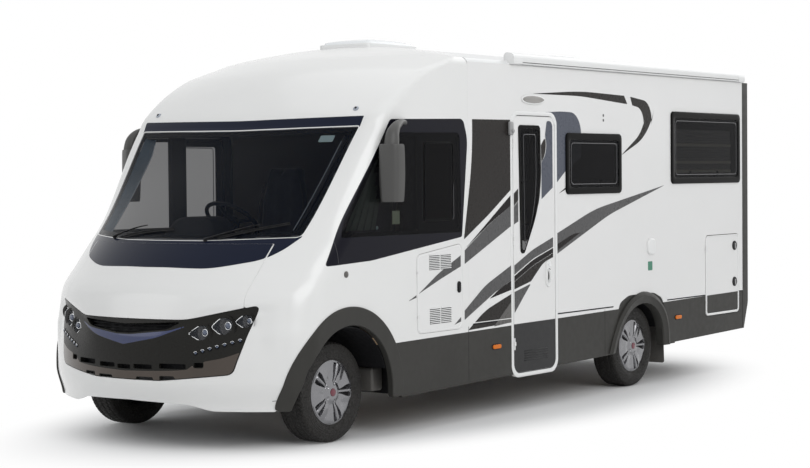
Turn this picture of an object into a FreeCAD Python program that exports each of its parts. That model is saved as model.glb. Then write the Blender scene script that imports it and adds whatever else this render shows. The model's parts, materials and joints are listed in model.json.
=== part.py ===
"""Integrated motorhome on a front-wheel-drive chassis, modelled in millimetres.

The origin lies on the ground under the middle of the vehicle. +X points forward,
+Y to the vehicle's left and +Z up. Each node is written to parts/NODE.step.
"""
import FreeCAD, Part
import math
import os

V = FreeCAD.Vector

# ---------------------------------------------------------------- body
LENGTH = 7100.0
BODY_WIDTH = 2340.0
WALL = 32.0                  # walls, roof, doors and front mouldings
GLASS = 8.0
BASE_Z = 240.0               # no body moulding reaches lower
SIDE_TOP_Z = 2655.0          # seam between the side walls and the roof
CROWN_RISE = 130.0           # of the roof's cross-section
ROOF_FOOT = 25.0             # from that seam up to where the cross-section starts
ROOF_EDGE_RADIUS = 60.0
TAIL_RADIUS = 135.0
NOSE_RADIUS = 1600.0
CORNER_RADIUS = 300.0
BROW_RADIUS = 5250.0
BROW_CORNER_RADIUS = 140.0
CROWN_NOSE_RADIUS = 1800.0

# ---------------------------------------------------------------- heights of the front end
BUMPER_Z = 300.0
MASK_BASE_Z = 472.0
MASK_TOP_Z = 862.0
BONNET_TOP_Z = 1370.0
GLASS_BASE_Z = 1393.0
GLASS_TOP_Z = 2160.0
BROW_Z = 2230.0

# ---------------------------------------------------------------- running gear
FRONT_OVERHANG = 980.0
REAR_OVERHANG = 2080.0
TYRE_DIAMETER = 690.0
TYRE_WIDTH = 225.0
BEAD_RADIUS = 205.0
RIM_THICKNESS = 12.0
HUBCAP_RADIUS = 222.0
HUBCAP_BARS = 5              # narrow bars, each between two slots
HUBCAP_SLOT = ((118, 8), (192, 12), (192, 33), (118, 17))     # radius and distance from the bar's middle
HUBCAP_SLOT_CORNER = 4.0
FRONT_TRACK = 1810.0
REAR_TRACK = 1960.0
SPINDLE_RADIUS = 30.0
RUNNING_CLEARANCE = 0.05
KINGPIN_INSET = 135.0        # from the wheel's middle inwards to the kingpin
KINGPIN_RADIUS = 16.0
KNUCKLE_HEIGHT = 200.0
STEER_CLEARANCE = 5.0

# ---------------------------------------------------------------- frame and floor
RAIL_SPACING = 860.0         # between the webs of the two rails
RAIL_HEIGHT = 200.0
RAIL_FLANGE = 60.0
RAIL_SHEET = 5.0
FLOOR_Z = 700.0
FLOOR_THICKNESS = 50.0
JOINT_GAP = 6.0              # round each door, locker door and the bonnet
SPINDLE_NUT = 33.0           # how far a spindle reaches past its wheel's middle
TOW_BOLT_RADIUS = 6.5
TOW_BOLT_SPACING = 100.0
TOW_BOLT_INSET = 110.0       # from the rail's end to the bolts' middle
EAR = 24.0                   # thickness of the axle's kingpin ears
EAR_REACH = 27.0
ARCH_LINER = 8.0
FRONT_LINER = (446.0, 562.0)           # radius, inner end's y
REAR_LINER = (412.0, 812.0)
BULKHEAD_SETBACK = 290.0               # from the front axle forwards
STEP_INNER_Y = 690.0
STEP_Z = 330.0
GAS_BOX_Y = 770.0
GARAGE_LENGTH = 960.0                  # from the tail forwards
GARAGE_FLOOR_Z = 500.0
GARAGE_TOP_Z = 1300.0
JACK_PAD = (90.0, 8.0)                 # length and thickness
WATER_TANK = (600.0, 400.0)            # length and lowest height
WASTE_TANK = (800.0, 360.0)
TANK_GAP = 100.0                       # from the water tank to a cross member
MUD_FLAP = (8.0, 180.0)                # thickness and lowest height

# ---------------------------------------------------------------- hinges
HINGE_PIN_RADIUS = 3.0
HINGE_BARREL_RADIUS = 6.5
HINGE_CLEARANCE = 0.08
DOOR_HINGE_LIFT = 7.0        # from the side's outer face to a hinge's axis
BONNET_HINGES = (-120.0, 60.0)         # y of each hinge's right end
LAMP_DEPTH = 4.0                       # lens behind the mask's face
LAMP_LENGTH = 60.0

# ---------------------------------------------------------------- cab and outside fittings
DRIVER_Y = -430.0
WHEEL_TILT = math.radians(55)
SEAT_BASE = 330.0
AWNING_INSET = 22.0          # its rear end, from the tail's corner
AWNING_FRONT = -2010.0       # its front end, from the front axle
ROOF_LIGHT = (330.0, 250.0, 75.0)      # half length, half width, rise
FRONT_LIGHT_INSET = 340.0    # its middle, behind the front mouldings' seam
REAR_LIGHT_INSET = 430.0     # its middle, behind the rear axle
MIRROR_Z = (1637.0, 2037.0)
MIRROR_EDGE = 14.0
# Mirror, with x from the front axle and reach out from the side: plan with radii, arm with z and half width
MIRROR_PLAN = ((-283, 15, 24), (-345, 148, 40), (-455, 148, 20), (-430, 15, 20))
MIRROR_ARM = ((-375, 80, 2000, 50), (-388, 78, 2085, 46), (-450, 66, 2152, 34), (-550, 40, 2188, 24),
              (-655, -6, 2190, 17))

# ---------------------------------------------------------------- places worked out from the sizes
HALF = BODY_WIDTH / 2
CROWN_Z = SIDE_TOP_Z + ROOF_FOOT + CROWN_RISE
BROW_RISE = SIDE_TOP_Z - BROW_Z
NOSE_X = LENGTH / 2
TAIL_X = -LENGTH / 2
FRONT_AXLE_X = NOSE_X - FRONT_OVERHANG
REAR_AXLE_X = TAIL_X + REAR_OVERHANG
AXLE_Z = TYRE_DIAMETER / 2
CAP_X = FRONT_AXLE_X - 1430.0          # seam between the front mouldings and the side walls
CROWN_RADIUS = (HALF ** 2 + CROWN_RISE ** 2) / (2 * CROWN_RISE)
RAIL_TOP_Z = FLOOR_Z - FLOOR_THICKNESS
RAIL_BASE_Z = RAIL_TOP_Z - RAIL_HEIGHT
RAIL_Y = RAIL_SPACING / 2
KINGPIN_Y = FRONT_TRACK / 2 - KINGPIN_INSET
INSIDE = HALF - WALL
BULKHEAD_X = FRONT_AXLE_X + BULKHEAD_SETBACK
GARAGE_X = TAIL_X + GARAGE_LENGTH
TAIL_REACH = TAIL_X - FRONT_AXLE_X
RAIL_END_X = GARAGE_X + 20.0
TOW_BOLT_Z = RAIL_BASE_Z + RAIL_HEIGHT / 2
CROSS_MEMBERS = (FRONT_AXLE_X + 200, FRONT_AXLE_X - 900, REAR_AXLE_X + 650, RAIL_END_X + 400)
JACK_PADS = (FRONT_AXLE_X - 550, REAR_AXLE_X - 750)

# Front end: height, setback of the middle from the nose, radius of the bow, radius of the corners
NOSE_SECTIONS = (
    (BASE_Z, 62.0, NOSE_RADIUS, CORNER_RADIUS),
    (BUMPER_Z, 50.0, NOSE_RADIUS, CORNER_RADIUS),
    (MASK_BASE_Z, 0.0, NOSE_RADIUS, CORNER_RADIUS),
    (MASK_TOP_Z - 110.0, 0.0, NOSE_RADIUS, CORNER_RADIUS),
    (MASK_TOP_Z, 20.0, NOSE_RADIUS, CORNER_RADIUS),
    (GLASS_BASE_Z - 370.0, 56.0, NOSE_RADIUS, CORNER_RADIUS),
    (GLASS_BASE_Z - 196.0, 200.0, NOSE_RADIUS, CORNER_RADIUS),
    (GLASS_BASE_Z, 380.0, NOSE_RADIUS, CORNER_RADIUS),
    (GLASS_TOP_Z, 1180.0, BROW_RADIUS, BROW_CORNER_RADIUS),
    (BROW_Z, 1220.0, BROW_RADIUS, BROW_CORNER_RADIUS),
    (BROW_Z + 0.2965 * BROW_RISE, 1336.0, 0.84 * BROW_RADIUS, BROW_CORNER_RADIUS),
    (BROW_Z + 0.7765 * BROW_RISE, 1580.0, 0.48 * BROW_RADIUS, BROW_CORNER_RADIUS),
    (SIDE_TOP_Z + 35.0, 1880.0, CROWN_NOSE_RADIUS, BROW_CORNER_RADIUS),
    (CROWN_Z - 25.0, 2280.0, CROWN_NOSE_RADIUS, BROW_CORNER_RADIUS),
    (CROWN_Z + 5.0, FRONT_OVERHANG + 1425.0, CROWN_NOSE_RADIUS, BROW_CORNER_RADIUS),
)


# ---------------------------------------------------------------- outlines seen from the side and the front
# Side outlines are (x from the front axle, z, radius); front outlines are (y, z, radius).
ARCH_RADIUS = 470.0
FLARE_RADIUS = 583.0
FLARE_PROUD = 12.0
FLARE_BASE_Z = 282.0
SKIRT = 25.0
SKIRT_START = -549.0                   # rear foot of the front arch, from the front axle
SKIRT_TOP = (650.0, 715.0)             # at the front and at the tail
SKIRT_BASE = (262.0, 360.0)
REAR_ARCH_TOP = 792.0
REAR_ARCH_HALF = (505.0, 352.0)        # half length at the foot and at the shoulder
REAR_ARCH_BAND = 30.0
WINDSCREEN_HALF = (975.0, 1022.0)      # half width at the foot and at the head
BONNET_HALF = 830.0

SURROUND = ((286, 1216, 12), (-408, 2212, 70), (-1370, 2233, 60), (-1425, 2080, 260), (-1345, 1365, 22),
            (-245, 1236, 900))
CAB_GLASS = ((88, 1411, 40), (-587, 2134, 90), (-1300, 2136, 60), (-1330, 1409, 60))
WINDOWS = ((-3687, -2816, 1666, 2138),                                   # x0, x1, z0, z1
           (TAIL_REACH + 207, TAIL_REACH + 1535, 1734, 2348))
WINDOW_CORNER = 75.0
WINDOW_LIP = 14.0
DOOR = (-2638, -2036, 296, 2268)
DOOR_CORNER = 70.0
DOOR_FRAME = 34.0
DOOR_WINDOW = ((-2149, 1146, 60), (-2125, 2185, 50), (-2412, 2185, 50), (-2428, 1630, 250))
GAS_LOCKER = (-1338, -775, 692, 1318)
GAS_LOCKER_FALL = 66.0                 # the top edge drops by this much towards the front
REAR_LOCKER = (TAIL_REACH + 220, TAIL_REACH + 890, 522, 1247)
LOCKER_CORNER = 45.0
MASK = ((916, 976, 16), (480, 878, 500), (-480, 878, 500), (-916, 976, 16), (-790, 522, 60),
        (-300, MASK_BASE_Z, 900), (300, MASK_BASE_Z, 900), (790, 522, 60))
LAMPS = ((545, 805, 62), (705, 845, 55), (835, 878, 44))                 # y, z, radius
LAMP_ROW = ((565, 655), (820, 735), 7, 17.0)                             # first and last place, count, radius
GRILLE_SLOT = ((-455, 868, 6), (-360, 815, 120), (-60, 782, 300), (60, 782, 300), (360, 815, 120),
               (455, 868, 6), (0, 846, 900))
LOWER_SLOTS = ((76, 176, 552, 588), (206, 306, 552, 588), (336, 470, 556, 592), (115, 245, 484, 508),
               (305, 400, 490, 512))                                     # y0, y1, z0, z1, on both sides


# ================================================================ helpers
def block(x0, x1, y0, y1, z0, z1):
    """Box between two corners."""
    return Part.makeBox(x1 - x0, y1 - y0, z1 - z0, V(x0, y0, z0))


def rounded_wire(points, place):
    """Closed outline of lines and arcs; each point is (a, b, radius) and place maps a, b to space."""
    edges, starts, ends = [], [], []
    count = len(points)
    for i, (a, b, radius) in enumerate(points):
        here = V(a, b, 0)
        before = V(*points[i - 1][:2], 0) - here
        after = V(*points[(i + 1) % count][:2], 0) - here
        before.normalize()
        after.normalize()
        half_turn = before.getAngle(after) / 2
        if radius <= 0:
            starts.append(here)
            ends.append(here)
            continue
        reach = radius / math.tan(half_turn)
        start, end = here + before * reach, here + after * reach
        bisector = before + after
        bisector.normalize()
        middle = here + bisector * (radius / math.sin(half_turn) - radius)
        starts.append(start)
        ends.append(end)
        edges.append((i, Part.Arc(place(start), place(middle), place(end)).toShape()))
    arcs = dict(edges)
    chain = []
    for i in range(count):
        if i in arcs:
            chain.append(arcs[i])
        start, end = ends[i], starts[(i + 1) % count]
        if (end - start).Length > 1e-6:
            chain.append(Part.LineSegment(place(start), place(end)).toShape())
    return Part.Wire(chain)


def prism_y(points, y0, y1):
    """Prism along Y of an outline of (x, z, radius) points."""
    wire = rounded_wire(points, lambda p: V(p.x, y0, p.y))
    return Part.Face(wire).extrude(V(0, y1 - y0, 0))


def prism_x(points, x0, x1):
    """Prism along X of an outline of (y, z, radius) points."""
    wire = rounded_wire(points, lambda p: V(x0, p.x, p.y))
    return Part.Face(wire).extrude(V(x1 - x0, 0, 0))


def panel_outline(x0, x1, z0, z1, radius):
    """Rectangle with one corner radius, as outline points."""
    return ((x0, z0, radius), (x1, z0, radius), (x1, z1, radius), (x0, z1, radius))


def grown(points, by):
    """Outline points moved outwards by a distance, with their radii."""
    area = sum(points[i - 1][0] * points[i][1] - points[i][0] * points[i - 1][1] for i in range(len(points)))
    turn = 1 if area > 0 else -1
    result = []
    for i, (a, b, radius) in enumerate(points):
        here = V(a, b, 0)
        into = here - V(*points[i - 1][:2], 0)
        out = V(*points[(i + 1) % len(points)][:2], 0) - here
        into.normalize()
        out.normalize()
        normal_in = V(into.y, -into.x, 0) * turn
        normal_out = V(out.y, -out.x, 0) * turn
        bisector = normal_in + normal_out
        scale = by / (bisector.Length / 2)
        bisector.normalize()
        moved = here + bisector * scale
        bends_out = (into.x * out.y - into.y * out.x) * turn > 0
        radius_now = max(radius + (by if bends_out else -by), 0.0) if radius > 0 else 0.0
        result.append((moved.x, moved.y, radius_now))
    return tuple(result)


def side_prisms(points, y0, y1):
    """Prisms along Y of an outline on the left and on the right."""
    return [prism_y(points, y0, y1), prism_y(points, -y1, -y0)]


def less(shape, *cutters):
    """A shape less each of the cutters in turn, with the originals left as they are."""
    for cutter in cutters:
        shape = shape.copy().cut(cutter.copy())
    return shape


def shared(shape, *others):
    """What a shape has in common with all the others, which are left as they are."""
    for other in others:
        shape = shape.copy().common(other.copy())
    return shape


def mirrored(shape):
    """The same shape on the other side of the vehicle."""
    return shape.mirror(V(0, 0, 0), V(0, 1, 0))


def cylinder(radius, length, base, direction):
    return Part.makeCylinder(radius, length, base, direction)


def bow(tip, half, big, small):
    """Bowed end as (along, across): joint of the arcs, middle of the corner and its end on the side."""
    centre = tip - big
    across = half - small
    along = centre + math.sqrt((big - small) ** 2 - across ** 2)
    lean = math.atan2(across, along - centre)
    angles = (lean, (lean + math.pi / 2) / 2, math.pi / 2)
    return [(along + small * math.cos(a), across + small * math.sin(a)) for a in angles]


def inset_line(points, distance):
    """Open line of (a, b) points moved to its left by a distance, with mitred corners."""
    moved = []
    for i, (a, b) in enumerate(points):
        before = points[max(i - 1, 0)]
        after = points[min(i + 1, len(points) - 1)]
        into = V(a - before[0], b - before[1], 0) if i else V(after[0] - a, after[1] - b, 0)
        out = V(after[0] - a, after[1] - b, 0) if i < len(points) - 1 else into
        into = V(into)
        out = V(out)
        into.normalize()
        out.normalize()
        normal = V(-into.y, into.x, 0) + V(-out.y, out.x, 0)
        scale = 2 * distance / normal.Length
        normal.normalize()
        moved.append((a + normal.x * scale, b + normal.y * scale))
    return moved


# ================================================================ the body's outer form
def front_form(inset):
    """The front end's form, from behind the cap's seam to the nose, inset all round."""
    back = CAP_X - 1200.0
    line = inset_line([(NOSE_X - s, z) for z, s, big, small in NOSE_SECTIONS], inset)
    wires = []
    for (tip, z), (_, _, big, small) in zip(line, NOSE_SECTIONS):
        half = HALF - inset
        joint, middle, side = bow(tip, half, big - inset, small - inset)
        left = [V(p[0], p[1], z) for p in (joint, middle, side)]
        right = [V(p.x, -p.y, p.z) for p in left]
        ends = V(back, half, z), V(back, -half, z)
        wires.append(Part.Wire([
            Part.Arc(right[0], V(tip, 0, z), left[0]).toShape(),
            Part.Arc(*left).toShape(),
            Part.LineSegment(left[2], ends[0]).toShape(),
            Part.LineSegment(*ends).toShape(),
            Part.LineSegment(ends[1], right[2]).toShape(),
            Part.Arc(*reversed(right)).toShape(),
        ]))
    return Part.makeLoft(wires, True, True)


def crowned_bar(inset, x0, x1):
    """The body's cross-section, straight sides under a crowned roof, carried along X."""
    half = HALF - inset
    joint, middle, side = bow(CROWN_Z - inset, half, CROWN_RADIUS - inset, ROOF_EDGE_RADIUS - inset)
    left = [V(x0, p[1], p[0]) for p in (joint, middle, side)]
    right = [V(p.x, -p.y, p.z) for p in left]
    low = BASE_Z - 20.0 - inset
    wire = Part.Wire([
        Part.Arc(right[0], V(x0, 0, CROWN_Z - inset), left[0]).toShape(),
        Part.Arc(*left).toShape(),
        Part.LineSegment(left[2], V(x0, half, low)).toShape(),
        Part.LineSegment(V(x0, half, low), V(x0, -half, low)).toShape(),
        Part.LineSegment(V(x0, -half, low), right[2]).toShape(),
        Part.Arc(*reversed(right)).toShape(),
    ])
    return Part.Face(wire).extrude(V(x1 - x0, 0, 0))


def rear_form(inset, x1):
    """The living area's form with rounded corners at the tail."""
    form = crowned_bar(inset, TAIL_X + inset, x1)
    radius = TAIL_RADIUS - inset
    half = HALF - inset
    tail = TAIL_X + inset
    corner = block(tail - 5, tail + radius, half - radius, half + 5, BASE_Z - 100, CROWN_Z + 100)
    post = cylinder(radius, CROWN_Z + 300 - BASE_Z, V(tail + radius, half - radius, BASE_Z - 150), V(0, 0, 1))
    cutter = corner.cut(post)
    return form.cut(cutter).cut(mirrored(cutter))


FRONT_OUTER = front_form(0.0).common(crowned_bar(0.0, CAP_X, NOSE_X + 10))
FRONT_INNER = front_form(WALL).common(crowned_bar(WALL, CAP_X - 50, NOSE_X + 10))
FRONT_SHELL = FRONT_OUTER.cut(FRONT_INNER)
REAR_SHELL = rear_form(0.0, CAP_X).cut(rear_form(WALL, CAP_X + 50))

def ahead(points):
    """Side outline moved from the front axle's frame to the vehicle's."""
    return tuple((x + FRONT_AXLE_X, z, r) for x, z, r in points)


def side_panel(bounds, radius):
    """Side outline of a rounded rectangle given as x0, x1, z0, z1 from the front axle."""
    x0, x1, z0, z1 = bounds
    return ahead(panel_outline(x0, x1, z0, z1, radius))


def gas_outline():
    """Side outline of the gas locker's door, whose top edge runs parallel to the cab's dark panel."""
    x0, x1, z0, z1 = GAS_LOCKER
    return ahead(((x0, z0, LOCKER_CORNER), (x1, z0, LOCKER_CORNER), (x1, z1 - GAS_LOCKER_FALL, LOCKER_CORNER),
                  (x0, z1, LOCKER_CORNER)))


def sill(x, levels):
    """Height of a line that rises evenly from the front arch's foot to the tail."""
    start, end = FRONT_AXLE_X + SKIRT_START, TAIL_X + TAIL_RADIUS
    return levels[0] + (levels[1] - levels[0]) * (start - x) / (start - end)


def bore_y(radius, x, z, y0, y1):
    """Cylinder along Y."""
    return cylinder(radius, y1 - y0, V(x, y0, z), V(0, 1, 0))


def both(shape):
    """A shape on the left with its mirror image on the right, as one compound."""
    return Part.makeCompound([shape, mirrored(shape)])


def front_band(outer, inner):
    """Layer of the front end between two insets from its outer face."""
    shell = front_form(outer).cut(front_form(inner))
    return shell.common(crowned_bar(outer, CAP_X, NOSE_X + 100))


OUT = HALF + 60.0
IN = HALF - 400.0
GLASS_LAYER = FRONT_OUTER.cut(front_form(GLASS).common(crowned_bar(GLASS, CAP_X - 50, NOSE_X + 10)))
ARCH = bore_y(FLARE_RADIUS, FRONT_AXLE_X, AXLE_Z, -OUT, OUT)
WINDSCREEN_PRISM = prism_x(((-WINDSCREEN_HALF[0], GLASS_BASE_Z, 40), (WINDSCREEN_HALF[0], GLASS_BASE_Z, 40),
                            (WINDSCREEN_HALF[1], GLASS_TOP_Z, 90), (-WINDSCREEN_HALF[1], GLASS_TOP_Z, 90)),
                           FRONT_AXLE_X - 420, NOSE_X)
MASK_PRISM = prism_x(MASK, FRONT_AXLE_X + 300, NOSE_X + 50)
MASK_CLEAR = prism_x(grown(MASK, JOINT_GAP), FRONT_AXLE_X + 300, NOSE_X + 50)
NODES = {}


def keep(name, shape):
    """Record a finished node."""
    NODES[name] = shape


def nose_x(z):
    """Foremost x of the front end's outer face at a height."""
    for (z0, s0, *_), (z1, s1, *_) in zip(NOSE_SECTIONS, NOSE_SECTIONS[1:]):
        if z0 <= z <= z1:
            return NOSE_X - s0 - (s1 - s0) * (z - z0) / (z1 - z0)
    return NOSE_X


# ================================================================ front mouldings
def front_mouldings():
    """Cap, nose panel, bonnet, mask, bumper, glass, surrounds and flares."""
    far = 200.0
    x0, x1 = FRONT_AXLE_X, NOSE_X + far
    surrounds = side_prisms(ahead(SURROUND), IN - 50, OUT)
    cab_glass = prism_y(ahead(CAB_GLASS), IN - 50, OUT)
    keep("cab_surrounds", both(shared(FRONT_SHELL, less(surrounds[0], cab_glass))))
    keep("cab_windows", both(shared(GLASS_LAYER, cab_glass)))
    above = block(CAP_X, x1, -OUT, OUT, GLASS_BASE_Z, CROWN_Z + far)
    keep("front_cap", less(shared(FRONT_SHELL, above), *surrounds, WINDSCREEN_PRISM))
    keep("windscreen", shared(GLASS_LAYER, WINDSCREEN_PRISM))

    low = block(CAP_X, x1, -OUT, OUT, MASK_BASE_Z, GLASS_BASE_Z)
    behind = CAP_X - 10
    under = prism_y(((behind, BASE_Z - far, 0), (behind, sill(behind, SKIRT_TOP), 0),
                     (x0, sill(x0, SKIRT_TOP), 0), (x0, BASE_Z - far, 0)), -OUT, OUT)
    opening = block(x0, x1, -BONNET_HALF - JOINT_GAP, BONNET_HALF + JOINT_GAP, MASK_TOP_Z - 100,
                    BONNET_TOP_Z + JOINT_GAP)
    locker = prism_y(grown(gas_outline(), JOINT_GAP), IN, OUT)
    nose = less(shared(FRONT_SHELL, low), opening, MASK_PRISM, *surrounds, ARCH, under, locker)
    pin_x, pin_z = bonnet_axis()
    fixed, moving = [], []
    for y in BONNET_HINGES:
        for y0, y1, group in ((y, y + 20, fixed), (y + 20.5, y + 39.5, moving), (y + 40, y + 60, fixed)):
            group.append(bonnet_barrel(y0, y1, pin_x, pin_z, group is fixed))
        fixed.append(bore_y(HINGE_PIN_RADIUS, pin_x, pin_z, y, y + 60))
    lid = block(x0, x1, -BONNET_HALF, BONNET_HALF, MASK_TOP_Z - 60, BONNET_TOP_Z)
    bonnet = less(shared(FRONT_SHELL, lid), MASK_CLEAR)
    keep("bonnet", bonnet.fuse(moving).removeSplitter())

    z0, z1 = GAS_LOCKER[2:]
    gas_fixed, gas_moving = hinge_set(GAS_LOCKER[1] + FRONT_AXLE_X, (z0 + 90, z1 - 220))
    keep("nose_panel", nose.fuse(fixed + gas_fixed).removeSplitter())
    leaf = prism_y(gas_outline(), HALF - WALL, HALF)
    keep("gas_locker_door", leaf.fuse(gas_moving).removeSplitter())

    lip = block(x0, x1, -OUT, OUT, BUMPER_Z, MASK_BASE_Z)
    keep("bumper", less(shared(FRONT_SHELL, lip), ARCH, MASK_PRISM))

    front, back = NOSE_X + 50, FRONT_AXLE_X + 400
    openings = [prism_x(GRILLE_SLOT, back, front)]
    for y0, y1, z0, z1 in LOWER_SLOTS:
        openings.append(both(prism_x(panel_outline(y0, y1, z0, z1, 8), back, front)))
    plugs = lamp_plugs()
    keep("grille_mask", less(shared(FRONT_SHELL, MASK_PRISM), *openings, plugs, mirrored(plugs)))
    keep("headlamps", both(shared(less(front_form(LAMP_DEPTH), front_form(LAMP_LENGTH)), plugs)))

    ring = less(ARCH, bore_y(ARCH_RADIUS, FRONT_AXLE_X, AXLE_Z, -OUT - 10, OUT + 10))
    ring = ring.common(block(CAP_X, x1, HALF - 450, OUT, FLARE_BASE_Z, GLASS_BASE_Z))
    keep("front_flares", both(shared(front_band(-FLARE_PROUD, WALL), ring)))


def lamp_plugs():
    """Cylinders along X where the left lamps pass through the mask."""
    (y0, z0), (y1, z1), count, radius = LAMP_ROW
    row = [(y0 + (y1 - y0) * i / (count - 1), z0 + (z1 - z0) * i / (count - 1), radius) for i in range(count)]
    return Part.makeCompound([cylinder(r, NOSE_X - FRONT_AXLE_X, V(FRONT_AXLE_X + 100, y, z), V(1, 0, 0))
                              for y, z, r in list(LAMPS) + row])


def bonnet_axis():
    """x and z of the bonnet's hinge, just proud of the skin in the seam above it."""
    z = BONNET_TOP_Z + JOINT_GAP / 2
    return nose_x(z) + 1.6 * HINGE_BARREL_RADIUS, z


def bonnet_barrel(y0, y1, x, z, fixed):
    """One barrel of the bonnet's hinge with its leaf."""
    barrel = bore_y(HINGE_BARREL_RADIUS, x, z, y0, y1)
    reach = 24.0
    if fixed:
        leaf = block(x - reach, x, y0, y1, z + JOINT_GAP / 2, z + HINGE_BARREL_RADIUS)
        return barrel.fuse(leaf)
    leaf = block(x - reach, x, y0, y1, z - HINGE_BARREL_RADIUS, z - JOINT_GAP / 2)
    return barrel.fuse(leaf).cut(bore_y(HINGE_PIN_RADIUS + HINGE_CLEARANCE, x, z, y0 - 1, y1 + 1))


# ================================================================ living area
def hinge(x, z, length):
    """Side hinge at a door's front edge on the left: the fixed half and the moving half."""
    y = HALF + DOOR_HINGE_LIFT
    third = length / 3
    pin = cylinder(HINGE_PIN_RADIUS, length, V(x, y, z), V(0, 0, 1))
    low = cylinder(HINGE_BARREL_RADIUS, third, V(x, y, z), V(0, 0, 1))
    high = cylinder(HINGE_BARREL_RADIUS, third, V(x, y, z + 2 * third), V(0, 0, 1))
    plate = block(x, x + 26, HALF, HALF + 3, z, z + third)
    plate_high = block(x, x + 26, HALF, HALF + 3, z + 2 * third, z + length)
    fixed = pin.fuse([low, high, plate, plate_high])
    barrel = cylinder(HINGE_BARREL_RADIUS, third - 1, V(x, y, z + third + 0.5), V(0, 0, 1))
    leaf = block(x - 30, x, HALF, HALF + 3, z + third + 0.5, z + 2 * third - 0.5)
    bore = cylinder(HINGE_PIN_RADIUS + HINGE_CLEARANCE, length, V(x, y, z), V(0, 0, 1))
    return fixed, barrel.fuse(leaf).cut(bore)


def hinge_set(front_x, levels, length=60.0):
    """All the hinges of one door whose front edge is at front_x."""
    pairs = [hinge(front_x + JOINT_GAP / 2, z, length) for z in levels]
    return [p[0] for p in pairs], [p[1] for p in pairs]


def living_area():
    """Side walls, roof, tail, windows, doors and skirts."""
    side_x0 = TAIL_X + TAIL_RADIUS
    walls_top = block(TAIL_X, CAP_X, -OUT, OUT, SIDE_TOP_Z, CROWN_Z + 100)
    keep("roof", shared(REAR_SHELL, walls_top))
    wall_z = prism_y(((side_x0, sill(side_x0, SKIRT_TOP), 0), (side_x0, SIDE_TOP_Z, 0),
                      (CAP_X, SIDE_TOP_Z, 0), (CAP_X, sill(CAP_X, SKIRT_TOP), 0)), HALF - WALL, HALF)
    frame = prism_y(grown(side_panel(DOOR, DOOR_CORNER), DOOR_FRAME), IN, OUT)
    doorway = prism_y(grown(side_panel(DOOR, DOOR_CORNER), JOINT_GAP), IN, OUT)
    rear_locker = prism_y(grown(side_panel(REAR_LOCKER, LOCKER_CORNER), JOINT_GAP), IN, OUT)
    arch = rear_arch(0.0)
    panes = [pane_and_hole(window) for window in WINDOWS]
    wall = wall_z.cut(rear_locker).cut(arch)
    for pane, hole in panes:
        wall = wall.cut(hole)
    left = wall.cut(frame)
    keep("side_windows", both(Part.makeCompound([pane for pane, hole in panes])))

    x0, x1, z0, z1 = REAR_LOCKER
    fixed, moving = hinge_set(x1 + FRONT_AXLE_X, (z0 + 90, z1 - 150))
    leaf = prism_y(side_panel(REAR_LOCKER, LOCKER_CORNER), HALF - WALL, HALF).fuse(moving)
    keep("rear_locker_door_left", leaf.removeSplitter())
    keep("rear_locker_door_right", mirrored(leaf.removeSplitter()))
    keep("side_wall_left", left.fuse(seated(fixed, left)).removeSplitter())
    keep("side_wall_right", mirrored(wall.fuse(seated(fixed, wall)).removeSplitter()))

    x0, x1, z0, z1 = DOOR
    fixed, moving = hinge_set(x1 + FRONT_AXLE_X, (z0 + 180, (z0 + z1) / 2, z1 - 240), 90.0)
    window = prism_y(ahead(DOOR_WINDOW), HALF - WALL, HALF)
    lip = prism_y(grown(ahead(DOOR_WINDOW), WINDOW_LIP), HALF, HALF + 6)
    leaf = prism_y(side_panel(DOOR, DOOR_CORNER), HALF - WALL, HALF).cut(window)
    keep("entrance_door", leaf.fuse(moving).removeSplitter())
    keep("door_window", window.fuse(lip).removeSplitter())
    ring = frame.cut(doorway).common(block(TAIL_X, CAP_X, HALF - WALL, HALF, 0, CROWN_Z))
    keep("door_frame", ring.fuse(fixed).removeSplitter())

    low = block(TAIL_X, side_x0, -OUT, OUT, SKIRT_BASE[1], SIDE_TOP_Z)
    tail = shared(REAR_SHELL, low)
    middle = block(TAIL_X - 10, side_x0 + 10, -HALF + TAIL_RADIUS, HALF - TAIL_RADIUS, 0, CROWN_Z)
    keep("rear_corners", less(tail, middle))
    behind = shared(tail, middle)
    split = block(TAIL_X - 10, side_x0 + 10, -OUT, OUT, SKIRT_TOP[1], CROWN_Z)
    keep("rear_wall", shared(behind, split))
    keep("rear_bumper", less(behind, split))

    skirts(frame, rear_locker, arch)


def seated(parts, carrier):
    """The parts that touch their carrier."""
    return [part for part in parts if part.distToShape(carrier)[0] < 0.01]


def pane_and_hole(bounds):
    """A top-hung window with its lip, and the hole that it fills."""
    outline = side_panel(bounds, WINDOW_CORNER)
    hole = prism_y(outline, HALF - WALL, HALF)
    lip = prism_y(grown(outline, WINDOW_LIP), HALF, HALF + 12)
    return hole.fuse(lip).removeSplitter(), hole


def rear_arch(by):
    """Prism of the rear wheel's arch, grown by a distance."""
    foot, shoulder = REAR_ARCH_HALF
    rise = REAR_ARCH_TOP
    outline = ((-foot, 100, 0), (foot, 100, 0), (shoulder + 30, rise - 60, 90), (shoulder - 130, rise, 300),
               (-shoulder + 130, rise, 300), (-shoulder - 30, rise - 60, 90))
    moved = tuple((x + REAR_AXLE_X, z, r) for x, z, r in outline)
    return prism_y(grown(moved, by) if by else moved, IN - 100, OUT)


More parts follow.
